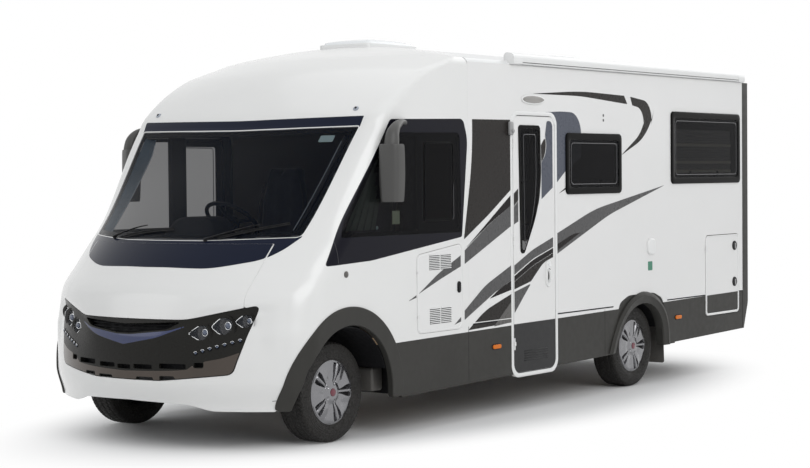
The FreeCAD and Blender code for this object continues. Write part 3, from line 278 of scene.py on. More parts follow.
@dataclass(frozen=True)
class Finish:
    """A surface's colour, gloss and grain, made as shader nodes that read Object coordinates.

    Attributes:
        name: The material's name.
        slot: The record's material slot that it stands for; not used.
        colour: Base colour.
        roughness: Middle roughness.
        metallic: 1 for bare metal.
        coat: Weight of a clear coat.
        shine: Specular level, 0.5 for common plastics.
        mottle: Share by which the colour and roughness vary.
        mottle_scale: How many such patches there are in a metre.
        grain: How many bumps there are in a metre.
        bump: Strength of the bumps.
        alpha: How much light the surface stops.
    """
    name: str
    slot: str
    colour: tuple[float, float, float]
    roughness: float = 0.5
    metallic: float = 0.0
    coat: float = 0.0
    mottle: float = 0.06
    mottle_scale: float = 3.0
    grain: float = 900.0
    bump: float = 0.05
    alpha: float = 1.0
    shine: float = 0.5

    def material(self) -> bpy.types.Material:
        """The finish's material, made once."""
        made = bpy.data.materials.get(self.name)
        if made:
            return made
        made = bpy.data.materials.new(self.name)
        made.use_nodes = True
        made.diffuse_color = (*self.colour, self.alpha)
        tree = made.node_tree
        place = add_node(tree, "TexCoord").outputs["Object"]
        fine = self.patches(tree, place, self.mottle_scale * 9.0)
        low, high = self.roughness * (1 - self.mottle * 2), self.roughness * (1 + self.mottle * 2)
        feed(tree, tree.nodes["Principled BSDF"], {
            "Metallic": self.metallic, "Coat Weight": self.coat, "Specular IOR Level": self.shine,
            "Coat Roughness": 0.04, "Alpha": self.alpha,
            "Base Color": self.tint(tree, place, self.patches(tree, place, self.mottle_scale)),
            "Roughness": self.spread(tree, fine, low, high), "Normal": self.relief(tree, place)})
        return made

    def patches(self, tree: Tree, place: Socket, scale: float) -> Socket:
        """Cloudy value from 0 to 1."""
        return add_node(tree, "TexNoise", {"Scale": scale, "Detail": 4.0, "Vector": place}).outputs["Fac"]

    def spread(self, tree: Tree, value: Socket, low: float, high: float) -> Socket:
        """A cloudy value spread between two numbers."""
        return add_node(tree, "MapRange", {"Value": value, "From Min": 0.3, "From Max": 0.7, "To Min": low,
                                           "To Max": min(high, 1.0)}).outputs["Result"]

    def mix(self, tree: Tree, share: Socket, first: Socket | tuple, second: Socket | tuple) -> Socket:
        """Two colours mixed by a share."""
        return add_node(tree, "Mix", {"Factor": share, "A": first, "B": second},
                        data_type="RGBA").outputs["Result"]

    def bumps(self, tree: Tree, height: Socket, strength: float) -> Socket:
        """Surface direction from a height that varies."""
        return add_node(tree, "Bump", {"Strength": strength, "Distance": 0.001,
                                       "Height": height}).outputs["Normal"]

    def tint(self, tree: Tree, place: Socket, cloud: Socket) -> Socket:
        """Base colour: the finish's own, a little darker and lighter in soft patches."""
        dark = *(c * (1 - self.mottle) for c in self.colour), 1.0
        light = *(min(c * (1 + self.mottle), 1.0) for c in self.colour), 1.0
        return self.mix(tree, self.spread(tree, cloud, 0.0, 1.0), dark, light)

    def relief(self, tree: Tree, place: Socket) -> Socket:
        """Fine bumps."""
        noise = add_node(tree, "TexNoise", {"Scale": self.grain, "Detail": 2.0, "Vector": place})
        return self.bumps(tree, noise.outputs["Fac"], self.bump)


@dataclass(frozen=True)
class WallFinish(Finish):
    """A wall that is one colour outside and another inside.

    Attributes:
        inside: Colour of the side that faces the living area.
        half: Distance from the middle at which the outside begins.
    """
    inside: tuple[float, float, float] = (0.55, 0.50, 0.43)
    half: float = 1.16

    def tint(self, tree: Tree, place: Socket, cloud: Socket) -> Socket:
        """The outside's colour beyond the wall's middle, the inside's colour within."""
        split = add_node(tree, "SeparateXYZ", {"Vector": place})
        reach = add_node(tree, "Math", {0: split.outputs["Y"]}, operation="ABSOLUTE")
        outer = add_node(tree, "Math", {0: reach.outputs["Value"], 1: self.half}, operation="GREATER_THAN")
        return self.mix(tree, outer.outputs["Value"], (*self.inside, 1.0), super().tint(tree, place, cloud))


@dataclass(frozen=True)
class WovenFinish(Finish):
    """Seat cloth: a fine two-way weave with sheen.

    Attributes:
        threads: Threads in a metre.
    """
    threads: float = 900.0

    def relief(self, tree: Tree, place: Socket) -> Socket:
        """Crossing threads from two sets of bands added together."""
        feed(tree, tree.nodes["Principled BSDF"], {"Sheen Weight": 0.4})
        threads = {"Scale": self.threads / 20.0, "Distortion": 0.6, "Vector": place}
        bands = [add_node(tree, "TexWave", threads, bands_direction=axis).outputs["Fac"] for axis in "XZ"]
        total = add_node(tree, "Math", dict(enumerate(bands)), operation="ADD")
        return self.bumps(tree, total.outputs["Value"], 0.35)


@dataclass(frozen=True)
class PlankFinish(Finish):
    """Wood with long grain along X."""

    def patches(self, tree: Tree, place: Socket, scale: float) -> Socket:
        """Streaks: noise stretched along X."""
        stretch = add_node(tree, "Mapping", {"Scale": (0.12, 1.0, 1.0), "Vector": place})
        return super().patches(tree, stretch.outputs["Vector"], scale * 6.0)


SHELL_WHITE = Finish("shell_white", "body_white", (0.740, 0.740, 0.730), 0.22, coat=0.2, mottle=0.012,
                     mottle_scale=1.2, grain=60.0, bump=0.012)
GEL_WHITE = WallFinish("gel_white", "body_white", (0.745, 0.742, 0.735), 0.22, coat=0.2, mottle=0.012,
                       mottle_scale=1.2, grain=60.0, bump=0.012)
ROOF_WHITE = Finish("roof_white", "panel_white", (0.70, 0.705, 0.705), 0.32, coat=0.1, mottle=0.02,
                    grain=150.0, bump=0.02)
BRACKET = Finish("bracket_grey", "skirt_grey", (0.10, 0.095, 0.088), 0.6, mottle=0.15, grain=300.0, bump=0.15)
DOOR_FOOT = Finish("door_foot_grey", "skirt_grey", (0.020, 0.020, 0.021), 0.40, mottle=0.07, grain=700.0,
                   bump=0.06, shine=0.2)
CREAM_BAND = Finish("blind_cream", "interior_pale", (0.50, 0.48, 0.40), 0.8, mottle=0.04, bump=0.05)
FRAME_WHITE = Finish("frame_white", "panel_white", (0.76, 0.762, 0.755), 0.30, coat=0.2, mottle=0.015,
                     bump=0.02)
LID_WHITE = Finish("lid_opal", "panel_white", (0.74, 0.76, 0.77), 0.25, coat=0.3, mottle=0.02, bump=0.02)
LIGHT_PLASTIC = Finish("light_plastic", "panel_white", (0.33, 0.33, 0.33), 0.45, mottle=0.05, bump=0.04)
NAVY = Finish("band_navy", "band_dark", (0.006, 0.0095, 0.024), 0.16, coat=0.0, mottle=0.05, grain=60.0,
              bump=0.01, shine=0.12)
SURROUND = Finish("surround_slate", "band_dark", (0.006, 0.006, 0.011), 0.22, coat=0.0, mottle=0.04,
                  bump=0.02, shine=0.10)
MASK = Finish("mask_anthracite", "mask_dark", (0.015, 0.0145, 0.013), 0.28, coat=0.0, mottle=0.06, bump=0.02,
              shine=0.12)
LIP_BLUE = Finish("lip_slate_blue", "mask_dark", (0.016, 0.027, 0.095), 0.16, coat=0.2, mottle=0.05,
                  bump=0.01)
BRONZE = Finish("mask_bronze", "mask_dark", (0.060, 0.048, 0.040), 0.07, 0.75, coat=0.3, mottle=0.08,
                grain=40.0, bump=0.02)
GLOSS_BLACK = Finish("gloss_black", "mask_dark", (0.005, 0.005, 0.006), 0.12, coat=0.0, mottle=0.05,
                     bump=0.01, shine=0.10)
MATT_BLACK = Finish("matt_black", "steel_black", (0.006, 0.006, 0.007), 0.7, mottle=0.15, bump=0.1, shine=0.2)
STEEL = Finish("black_steel", "steel_black", (0.014, 0.014, 0.015), 0.5, mottle=0.2, mottle_scale=8.0,
               bump=0.1, shine=0.3)
TRIM_GREY = Finish("trim_grey", "skirt_grey", (0.038, 0.037, 0.034), 0.45, mottle=0.07, mottle_scale=2.0,
                   grain=700.0, bump=0.08, shine=0.15)
CHROME = Finish("chrome", "lamp", (0.80, 0.81, 0.82), 0.08, 1.0, mottle=0.04, bump=0.01)
BOWL = Finish("lamp_bowl", "lamp", (0.035, 0.034, 0.034), 0.28, 0.6, mottle=0.08, bump=0.02)
PROJECTOR = Finish("projector_glass", "lamp", (0.04, 0.06, 0.11), 0.04, 0.2, mottle=0.04, bump=0.0, coat=0.8)
LENS = Finish("lamp_lens", "lamp", (0.30, 0.32, 0.36), 0.05, mottle=0.02, bump=0.01, alpha=0.08, shine=0.2)
LAMP_OPAL = Finish("lamp_opal", "lamp", (0.27, 0.26, 0.245), 0.25, coat=0.5, mottle=0.05, bump=0.01)
AMBER = Finish("amber_lens", "lamp", (0.62, 0.15, 0.006), 0.25, mottle=0.05, grain=300.0, bump=0.1, shine=0.2)
RED_LENS = Finish("red_lens", "lamp", (0.45, 0.012, 0.012), 0.15, mottle=0.05, grain=300.0, bump=0.1,
                  coat=0.5)
SCREEN = Finish("windscreen_glass", "glass", (0.004, 0.006, 0.011), 0.03, mottle=0.03, bump=0.0, alpha=0.50,
                shine=0.06)
CAB_PANE = Finish("cab_glass", "glass", (0.003, 0.003, 0.004), 0.04, mottle=0.03, bump=0.0, alpha=0.70,
                  shine=0.06)
ACRYLIC = Finish("acrylic_pane", "acrylic", (0.004, 0.004, 0.005), 0.06, mottle=0.04, bump=0.01, alpha=0.55,
                 shine=0.06)
PANE_BORDER = Finish("pane_border", "acrylic", (0.003, 0.003, 0.003), 0.16, mottle=0.05, bump=0.01,
                     shine=0.06)
STICKER = Finish("plain_sticker", "glass", (0.46, 0.62, 0.64), 0.5, mottle=0.03, bump=0.01)
# Blue-grey of the far windscreen pillar's lining is painted sky light; the near pillar's same lining is gloss
# black as painted shade.
PILLAR_PAINTED_SKYLIGHT = Finish("pillar_lining_painted_skylight", "glass", (0.050, 0.090, 0.130), 0.45, mottle=0.25, mottle_scale=3.0,
                     bump=0.02)
BEAD = Finish("pillar_bead", "glass", (0.32, 0.35, 0.40), 0.3, mottle=0.03, bump=0.01)
BLIND_GREEN = Finish("folded_blind", "glass", (0.10, 0.125, 0.105), 0.8, mottle=0.08, grain=300.0, bump=0.1)
LABEL_PALE = Finish("plain_label", "glass", (0.62, 0.72, 0.52), 0.6, mottle=0.04, bump=0.01)
LINE_GREY = Finish("pane_line", "acrylic", (0.075, 0.075, 0.08), 0.25, mottle=0.05, bump=0.01)
TYRE = Finish("tyre_rubber", "tyre", (0.012, 0.011, 0.010), 0.70, mottle=0.22, mottle_scale=9.0, grain=500.0,
              bump=0.15, shine=0.35)
RUBBER = Finish("seal_rubber", "rubber", (0.008, 0.008, 0.009), 0.6, mottle=0.1, bump=0.08, shine=0.3)
SILVER = Finish("hubcap_silver", "hubcap", (0.215, 0.215, 0.225), 0.20, 0.85, coat=0.4, mottle=0.04,
                bump=0.02)
BADGE_RED = Finish("hub_middle", "hubcap", (0.13, 0.010, 0.025), 0.3, coat=0.4, mottle=0.05, bump=0.02)
CAST = Finish("cast_metal", "cast", (0.12, 0.12, 0.125), 0.55, 0.6, mottle=0.2, mottle_scale=20.0,
              grain=300.0, bump=0.3)
LINING = Finish("cab_lining", "interior_pale", (0.022, 0.021, 0.021), 0.8, mottle=0.06, grain=500.0,
                bump=0.15)
PALE = Finish("locker_lining", "interior_pale", (0.12, 0.115, 0.11), 0.7, mottle=0.06, bump=0.05)
BLIND = Finish("pleated_blind", "interior_pale", (0.24, 0.235, 0.23), 0.85, mottle=0.05, grain=200.0,
               bump=0.2)
FLOOR_WOOD = PlankFinish("floor_wood", "floor_ply", (0.30, 0.21, 0.13), 0.45, mottle=0.25, bump=0.06)
DASH = Finish("dash_grain", "dash", (0.010, 0.011, 0.013), 0.55, mottle=0.06, grain=650.0, bump=0.25,
              shine=0.2)
CLOTH = WovenFinish("seat_cloth", "seat_fabric", (0.055, 0.056, 0.070), 0.85, mottle=0.12, mottle_scale=14.0)
CLOTH_DARK = WovenFinish("seat_cloth_dark", "seat_fabric", (0.070, 0.062, 0.056), 0.85, mottle=0.12,
                         mottle_scale=14.0)
MIRROR_GREY = Finish("mirror_shell", "mirror_grey", (0.075, 0.074, 0.072), 0.36, mottle=0.05, grain=500.0,
                     bump=0.05, shine=0.25)
MIRROR_GLASS = Finish("mirror_glass", "mirror_grey", (0.75, 0.77, 0.78), 0.03, 1.0, mottle=0.02, bump=0.0)
FILM_BROWN, FILM_BLACK, FILM_GREY, FILM_BLUE, FILM_LIGHT = [
    Finish(name, "band_dark", colour, 0.28, mottle=0.04, bump=0.01, shine=shine) for name, colour, shine in (
        ("film_brown", (0.024, 0.0215, 0.020), 0.10), ("film_black", (0.010, 0.008, 0.008), 0.10),
        ("film_grey", (0.088, 0.087, 0.088), 0.15), ("film_blue_grey", (0.080, 0.088, 0.112), 0.15),
        ("film_light", (0.115, 0.110, 0.106), 0.15))]
LABEL_GREEN = Finish("label_green", "band_dark", (0.03, 0.20, 0.12), 0.35, mottle=0.05, bump=0.01)


# ====================================================================== pieces
@dataclass
class Piece:
    """Collects surfaces and makes them one object that rides on a body."""
    name: str
    body: str
    points: list = field(default_factory=list)
    normals: list = field(default_factory=list)
    faces: list = field(default_factory=list)
    finishes: list = field(default_factory=list)
    count: int = 0

    def add(self, points: Array, faces: Array, finish: Finish, normals: Array | None = None) -> None:
        """Adds a surface.

        Args:
            points: Its points, in any grid shape.
            faces: Its faces as point numbers, three or four to a row.
            finish: Its finish.
            normals: Exact normals, or None to let the mesh work them out.
        """
        points = np.asarray(points, float).reshape(-1, 3)
        self.points.append(points)
        self.normals.append(np.zeros_like(points) if normals is None else normals.reshape(-1, 3))
        self.faces.append((np.asarray(faces) + self.count, finish))
        self.count += len(points)

    def close(self, ring: Array, finish: Finish, flip: bool = False) -> None:
        """Closes a ring of points with a face, which flip turns over."""
        points, tris = cap(ring)
        self.add(points, tris[:, ::-1] if flip else tris, finish)

    def grid(self, points: Array, finish: Finish, wrap_rows: bool = False,
             wrap_columns: bool = False) -> None:
        """Adds a surface given as a grid of points, (rows, columns, 3)."""
        self.add(points, grid_faces(*points.shape[:2], wrap_rows, wrap_columns), finish)

    def make(self, crease: float = 34.0, replaces: Iterable[str] = ()) -> bpy.types.Object:
        """Makes the mesh and its object.

        Args:
            crease: Angle in degrees past which an edge stays sharp.
            replaces: CAD nodes that the piece stands for.

        Returns:
            The object, riding on its body.
        """
        points = np.concatenate(self.points)
        order = list(dict.fromkeys(finish for _, finish in self.faces))
        corners = np.concatenate([faces.ravel() for faces, _ in self.faces])
        sizes = np.concatenate([np.full(len(faces), faces.shape[1]) for faces, _ in self.faces])
        slots = np.concatenate([np.full(len(faces), order.index(finish)) for faces, finish in self.faces])
        mesh = bpy.data.meshes.new(self.name)
        mesh.vertices.add(len(points))
        mesh.vertices.foreach_set("co", points.ravel())
        mesh.loops.add(len(corners))
        mesh.loops.foreach_set("vertex_index", corners)
        mesh.polygons.add(len(sizes))
        mesh.polygons.foreach_set("loop_start", np.concatenate([[0], np.cumsum(sizes)[:-1]]))
        for finish in order:
            mesh.materials.append(finish.material())
        mesh.polygons.foreach_set("material_index", slots)
        mesh.polygons.foreach_set("use_smooth", np.ones(len(sizes), bool))
        mesh.update(calc_edges=True)
        mesh.set_sharp_from_angle(angle=math.radians(crease))
        normals = np.concatenate(self.normals)
        if normals.any():
            mesh.normals_split_custom_set_from_vertices(normals)
        made = bpy.data.objects.new(self.name, mesh)
        bpy.context.scene.collection.objects.link(made)
        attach(made, self.body)
        if replaces:
            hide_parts(*replaces)
        LOG.info("%s: %d faces on %s", self.name, len(sizes), self.body)
        return made


def cap(ring: Array, rings: int = 1) -> tuple[Array, Array]:
    """Closes a ring of points with rings drawn in to its middle.

    Point (i, j) is the ring's point j moved a share i / rings of the way to the middle.

    Args:
        ring: Closed ring of points, (n, 3).
        rings: How many steps lie between the ring and its middle.

    Returns:
        Points and three-sided faces.
    """
    count = len(ring)
    middle = ring.mean(0)
    share = (np.arange(rings) / rings)[:, None, None]
    points = np.concatenate([(ring + (middle - ring) * share).reshape(-1, 3), middle[None]])
    quads = grid_faces(rings, count, wrap_columns=True)
    last = (rings - 1) * count + np.arange(count)
    fan = np.stack([last, np.roll(last, -1), np.full(count, rings * count)], -1)
    halves = np.concatenate([quads[:, [0, 1, 2]], quads[:, [0, 2, 3]]])
    return points, np.concatenate([halves, fan])


def add_tube(piece: Piece, path: Array, radius: float | Array, finish: Finish, sides: int = 12,
             closed: bool = False, flat: float = 1.0, up: Sequence[float] = (0.0, 0.0, 1.0)) -> None:
    """Adds a round bar along a path: circle points turned into the path's cross directions, with closed ends.

    Args:
        piece: Piece that gets it.
        path: Points of the middle line.
        radius: Radius, one value or one for each point.
        finish: Its finish.
        sides: Sides of the bar.
        closed: Whether the path is a ring.
        flat: Height as a share of the width.
        up: Direction that the flattened side faces.
    """
    _, side, rise = frame_along(path, closed, up)
    angle = np.linspace(0, 2 * math.pi, sides, endpoint=False)
    radius = np.broadcast_to(radius, len(path))[:, None, None]
    turned, raised = np.cos(angle)[None, :, None], flat * np.sin(angle)[None, :, None]
    ring = side[:, None] * turned + rise[:, None] * raised
    points = path[:, None] + ring * radius
    piece.grid(points, finish, closed, True)
    if not closed:
        piece.close(points[0][::-1], finish)
        piece.close(points[-1], finish)


def add_turned(piece: Piece, profile: Sequence[Sequence[float]], centre: Sequence[float],
               axis: Sequence[float], finish: Finish, sides: int = 48, smooth: int = 0) -> None:
    """Adds a turned shape: profile points (radius, along) swung round an axis.

    Args:
        piece: Piece that gets it.
        profile: Radius and distance along the axis, from one end to the other.
        centre: Place of distance 0.
        axis: Direction of the axis.
        finish: Its finish.
        sides: Steps round the axis.
        smooth: Points of a smooth curve through the profile, or 0 for straight lines.
    """
    line = np.asarray(profile, float)
    if smooth:
        line = smooth_path(line, smooth)
    axis = unit(np.asarray(axis, float))
    seed = np.array((0.0, 0.0, 1.0)) if abs(axis[2]) < 0.9 else np.array((1.0, 0.0, 0.0))
    one = unit(np.cross(seed, axis))
    two = np.cross(axis, one)
    angle = np.linspace(0, 2 * math.pi, sides, endpoint=False)[None, :, None]
    around = one * np.cos(angle) + two * np.sin(angle)
    points = np.asarray(centre) + around * line[:, 0, None, None] + axis * line[:, 1, None, None]
    piece.grid(points, finish, False, True)


def add_slab(piece: Piece, loop: Array, place: Place, depth: float, finish: Finish,
             radius: float = 0.0, rings: int = 1) -> None:
    """Adds a plate with a rounded front edge.

    The outline is drawn in by radius at the front and swells to full size over a quarter circle,
    then runs straight back to the plate's depth.

    Args:
        piece: Piece that gets it.
        loop: Closed outline, (n, 2), in either direction.
        place: Maps the outline's a and b and a distance behind the front face to points.
        depth: Thickness.
        finish: Its finish.
        radius: Radius of the front edge.
        rings: Rings across the front face.
    """
    steps = 4 if radius else 0
    angle = np.linspace(0, math.pi / 2, steps + 1)
    shrink = radius * (1 - np.sin(angle))
    drop = radius * (1 - np.cos(angle))
    ahead = place(*loop.T, 0.0)
    turn = np.cross(ahead - ahead.mean(0), np.roll(ahead, -1, 0) - ahead.mean(0)).sum(0)
    if turn @ (ahead.mean(0) - place(*loop.T, depth).mean(0)) < 0:
        loop = loop[::-1]
    lines = [place(*grown(loop, -s).T, d) for s, d in zip(shrink, drop)] + [place(*loop.T, depth)]
    piece.grid(np.stack(lines)[::-1], finish, False, True)
    piece.add(*cap(lines[0], rings), finish)
    piece.close(lines[-1][::-1], finish)


def add_box(piece: Piece, low: Sequence[float], high: Sequence[float], radius: float, finish: Finish,
            steps: int = 4) -> None:
    """Adds a box with rounded edges: the points of a ball spread apart to the box's eight corners.

    Args:
        piece: Piece that gets it.
        low: Lowest corner.
        high: Highest corner.
        radius: Radius of every edge.
        finish: Its finish.
        steps: Steps on each quarter turn.
    """
    low, high = np.asarray(low, float), np.asarray(high, float)
    quarter = np.linspace(0, math.pi / 2, steps + 1)
    lap = np.concatenate([quarter + i * math.pi / 2 for i in range(4)])
    lap_sign = np.repeat(np.array([(1, 1), (-1, 1), (-1, -1), (1, -1)]), steps + 1, axis=0)
    climb = np.concatenate([quarter - math.pi / 2, quarter])
    climb_sign = np.repeat([-1, 1], steps + 1)
    ball = np.stack([np.cos(climb)[:, None] * np.cos(lap), np.cos(climb)[:, None] * np.sin(lap),
                     np.repeat(np.sin(climb)[:, None], len(lap), 1)], -1)
    sign = np.stack([np.repeat(lap_sign[None, :, 0], len(climb), 0),
                     np.repeat(lap_sign[None, :, 1], len(climb), 0),
                     np.repeat(climb_sign[:, None], len(lap), 1)], -1)
    points = (low + high) / 2 + sign * ((high - low) / 2 - radius) + ball * radius
    piece.grid(points, finish, False, True)
    piece.close(points[0], finish, True)
    piece.close(points[-1], finish)


def add_rim(piece: Piece, loop: Array, section: Sequence[tuple[float, float]],
            place: Place, finish: Finish, closed: bool = False) -> None:
    """Adds a moulding round an outline: copies of it, each drawn in and set back as the section says.

    Args:
        piece: Piece that gets it.
        loop: Closed outline, (n, 2), in either direction.
        section: Inset and distance behind the front for each row, from outside over the front to inside.
        place: Maps the outline's a and b and a distance behind the front face to points.
        finish: Its finish.
        closed: Whether the section closes on itself.
    """
    ahead = place(*loop.T, 0.0)
    turn = np.cross(ahead - ahead.mean(0), np.roll(ahead, -1, 0) - ahead.mean(0)).sum(0)
    if turn @ (ahead.mean(0) - place(*loop.T, 0.01).mean(0)) < 0:
        loop = loop[::-1]
    rows = [place(*drawn_in(loop, inset).T, drop) for inset, drop in section]
    piece.grid(np.stack(rows), finish, closed, True)


def add_film(piece: Piece, loop: Array, place: Place, finish: Finish) -> None:
    """Adds a flat film: the outline filled with three-sided faces that look ahead."""
    tris = np.array(tessellate_polygon([[Vector((*corner, 0.0)) for corner in loop]]))
    points = place(*loop.T, 0.0)
    a, b, c = points[tris[:, 0]], points[tris[:, 1]], points[tris[:, 2]]
    facing = np.cross(b - a, c - a) @ (points.mean(0) - place(*loop.T, 0.01).mean(0))
    tris[facing < 0] = tris[facing < 0][:, ::-1]
    piece.add(points, tris, finish)


# ====================================================================== the front end's skin
@dataclass(frozen=True)
class BodyForm:
    """The body's outer form: bowed plan sections stacked over the height, under a crowned roof.

    Attributes:
        nose: Foremost x.
        half: Half of the body's width.
        seam: x of the seam behind the front mouldings.
        front_axle: x of the front axle.
        axle_z: Height of the wheels' middles.
        crown: Height of the roof's middle.
        crown_radius: Radius of the roof's cross-section.
        edge: Radius between roof and sides.
        heights: Heights of the sections.
        setbacks: How far each section's foremost point lies behind the nose.
        bows: Radius of each section's front.
        corners: Radius of each section's corners.
        crease_dip: How far the skin below the brow crease steps back.
    """
    nose: float
    half: float
    seam: float
    front_axle: float
    axle_z: float
    crown: float
    crown_radius: float
    edge: float = 0.060
    heights: tuple = (0.24, 0.30, 0.472, 0.752, 0.862, 1.023, 1.197, 1.393, 2.16, 2.23, 2.356, 2.56, 2.69,
                      2.785, 2.815)
    setbacks: tuple = (0.062, 0.050, 0.0, 0.0, 0.020, 0.056, 0.200, 0.380, 1.18, 1.22, 1.336, 1.58, 1.88,
                       2.28, 2.405)
    bows: tuple = (1.6, 1.6, 1.6, 1.6, 1.6, 1.6, 1.6, 1.6, 5.25, 5.25, 4.41, 2.52, 1.8, 1.8, 1.8)
    corners: tuple = (0.30, 0.30, 0.30, 0.30, 0.30, 0.30, 0.30, 0.30, 0.14, 0.14, 0.14, 0.14, 0.14, 0.14,
                      0.14)
    crease_dip: float = 0.020

    @classmethod
    def from_frame(cls) -> "BodyForm":
        """The form with its main sizes read from the frame's boxes."""
        cap_low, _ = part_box("front_cap")
        _, mask_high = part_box("grille_mask")
        _, roof_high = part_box("roof")
        _, wall_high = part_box("rear_corners")
        low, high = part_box("tyre_front_left")
        half, rise = wall_high.y, 0.130
        return cls(mask_high.x, half, cap_low.x, (low.x + high.x) / 2, (low.z + high.z) / 2, roof_high.z,
                   (half ** 2 + rise ** 2) / (2 * rise))

    def section(self, z: Array) -> tuple:
        """Plan section at a height: the bow's centre and radius, the corner's place and radius, the lean."""
        tip = self.nose - smooth_curve(self.heights, self.setbacks, z)
        big = 1.0 / smooth_curve(self.heights, [1.0 / b for b in self.bows], z)
        small = smooth_curve(self.heights, self.corners, z)
        across = self.half - small
        centre = tip - big
        along = centre + np.sqrt((big - small) ** 2 - across ** 2)
        return centre, big, along, across, small, np.arctan2(across, along - centre)

    def crown_at(self, y: Array) -> Array:
        """Height of the roof's crowned section, with its rounded edges, at a distance from the middle."""
        y = np.minimum(np.abs(y), self.half)
        arch = self.crown - self.crown_radius + np.sqrt(self.crown_radius ** 2 - y ** 2)
        start = self.half - self.edge
        t = np.clip((y - start) / self.edge, 0.0, 1.0)
        return arch - self.edge * (1 - np.sqrt(np.maximum(1 - t ** 2, 0.0)))

    def dip(self, y: Array, z: Array) -> Array:
        """How far the skin steps back below the brow crease over the lamps.

        The crease is a line that climbs outwards; the step fades in below it and out lower down.
        """
        y = np.abs(y)
        crease = smooth_curve((0.30, 0.38, 0.69, 0.94), (0.875, 0.895, 0.985, 1.0), y)
        depth = self.crease_dip * ramp(y, 0.28, 0.60) * (1 - ramp(y, 0.93, 1.04))
        return depth * ramp(crease - z, 0.0, 0.075) * (1 - ramp(0.80 - z, 0.0, 0.25))

    def point(self, uv: Array) -> Array:
        """Skin point of (u, v): v is the height, u runs round the section.

        |u| from 0 to 1 is the bow by angle, 1 to 2 the corner by angle, 2 to 3 the straight side
        back to the seam; the height is then kept under the crowned roof.
        """
        u, z = uv[..., 0], uv[..., 1]
        centre, big, along, across, small, lean = self.section(z)
        a, sign = np.abs(u), np.sign(u)
        first = lean * np.minimum(a, 1.0)
        second = lean + (math.pi / 2 - lean) * np.clip(a - 1.0, 0.0, 1.0)
        third = np.clip(a - 2.0, 0.0, 1.0)
        bowed = a <= 1.0
        end = self.seam - 0.03
        x = np.where(bowed, centre + big * np.cos(first),
                     along + small * np.cos(second) + (end - along) * third)
        y = np.where(bowed, big * np.sin(first), across + small * np.sin(second))
        back = self.dip(y, z)
        x, y = x - back * np.cos(second), y - back * np.sin(second)
        height = soft_min(z, self.crown_at(y), 0.012)
        return np.stack([x, sign * y, height], -1)

    def normal(self, uv: Array) -> Array:
        """Outward normal: the cross product of the skin's two slopes, by small differences."""
        du, dv = np.array((1e-4, 0.0)), np.array((0.0, 1e-4))
        across = self.point(uv + du) - self.point(uv - du)
        up = self.point(uv + dv) - self.point(uv - dv)
        return unit(np.cross(across, up))

    def front_x(self, y: Array, z: Array) -> Array:
        """x of the front's skin at a side place and height."""
        centre, big, along, across, small, _ = self.section(np.asarray(z, float))
        y = np.abs(y)
        on_bow = y <= big * across / np.maximum(big - small, 1e-9)
        bow = centre + np.sqrt(np.maximum(big ** 2 - y ** 2, 0.0))
        corner = along + np.sqrt(np.maximum(small ** 2 - (y - across) ** 2, 0.0))
        return np.where(on_bow, bow, corner) - self.dip(y, np.asarray(z, float))

    def side_y(self, x: Array, z: Array) -> Array:
        """y of the left side's skin at a place along and a height."""
        centre, big, along, across, small, lean = self.section(np.asarray(z, float))
        joint = centre + big * np.cos(lean)
        bow = np.sqrt(np.maximum(big ** 2 - np.maximum(x - centre, 0.0) ** 2, 0.0))
        corner = across + np.sqrt(np.maximum(small ** 2 - np.maximum(x - along, 0.0) ** 2, 0.0))
        return np.where(x > joint, bow, np.where(x > along, corner, self.half))

    def on_front(self, a: Array, b: Array, lift: float = 0.0) -> Array:
        """Points over the front's skin at side places a and heights b, lifted off it squarely."""
        def at(y: Array, z: Array) -> Array:
            return np.stack([self.front_x(y, z), y, z], -1)
        point = at(a, b)
        step = 1e-4
        normal = unit(np.cross(at(a + step, b) - at(a - step, b), at(a, b + step) - at(a, b - step)))
        return point + normal * np.asarray(lift)[..., None] if np.ndim(lift) else point + normal * lift

    def front_spot(self, y: float, z: float, lift: float = 0.0) -> Array:
        """One point over the front's skin."""
        return self.on_front(np.array([y]), np.array([z]), lift)[0]

    def on_side(self, a: Array, b: Array, lift: float = 0.0, hand: int = 1) -> Array:
        """Points over a side's skin at places a along and heights b, lifted off it squarely."""
        def at(x: Array, z: Array) -> Array:
            return np.stack([x, self.side_y(x, z), z], -1)
        point = at(a, b)
        step = 1e-4
        normal = unit(np.cross(at(a, b + step) - at(a, b - step), at(a + step, b) - at(a - step, b)))
        lift = np.asarray(lift, float)
        return (point + normal * (lift[..., None] if lift.ndim else lift)) * np.array((1.0, hand, 1.0))


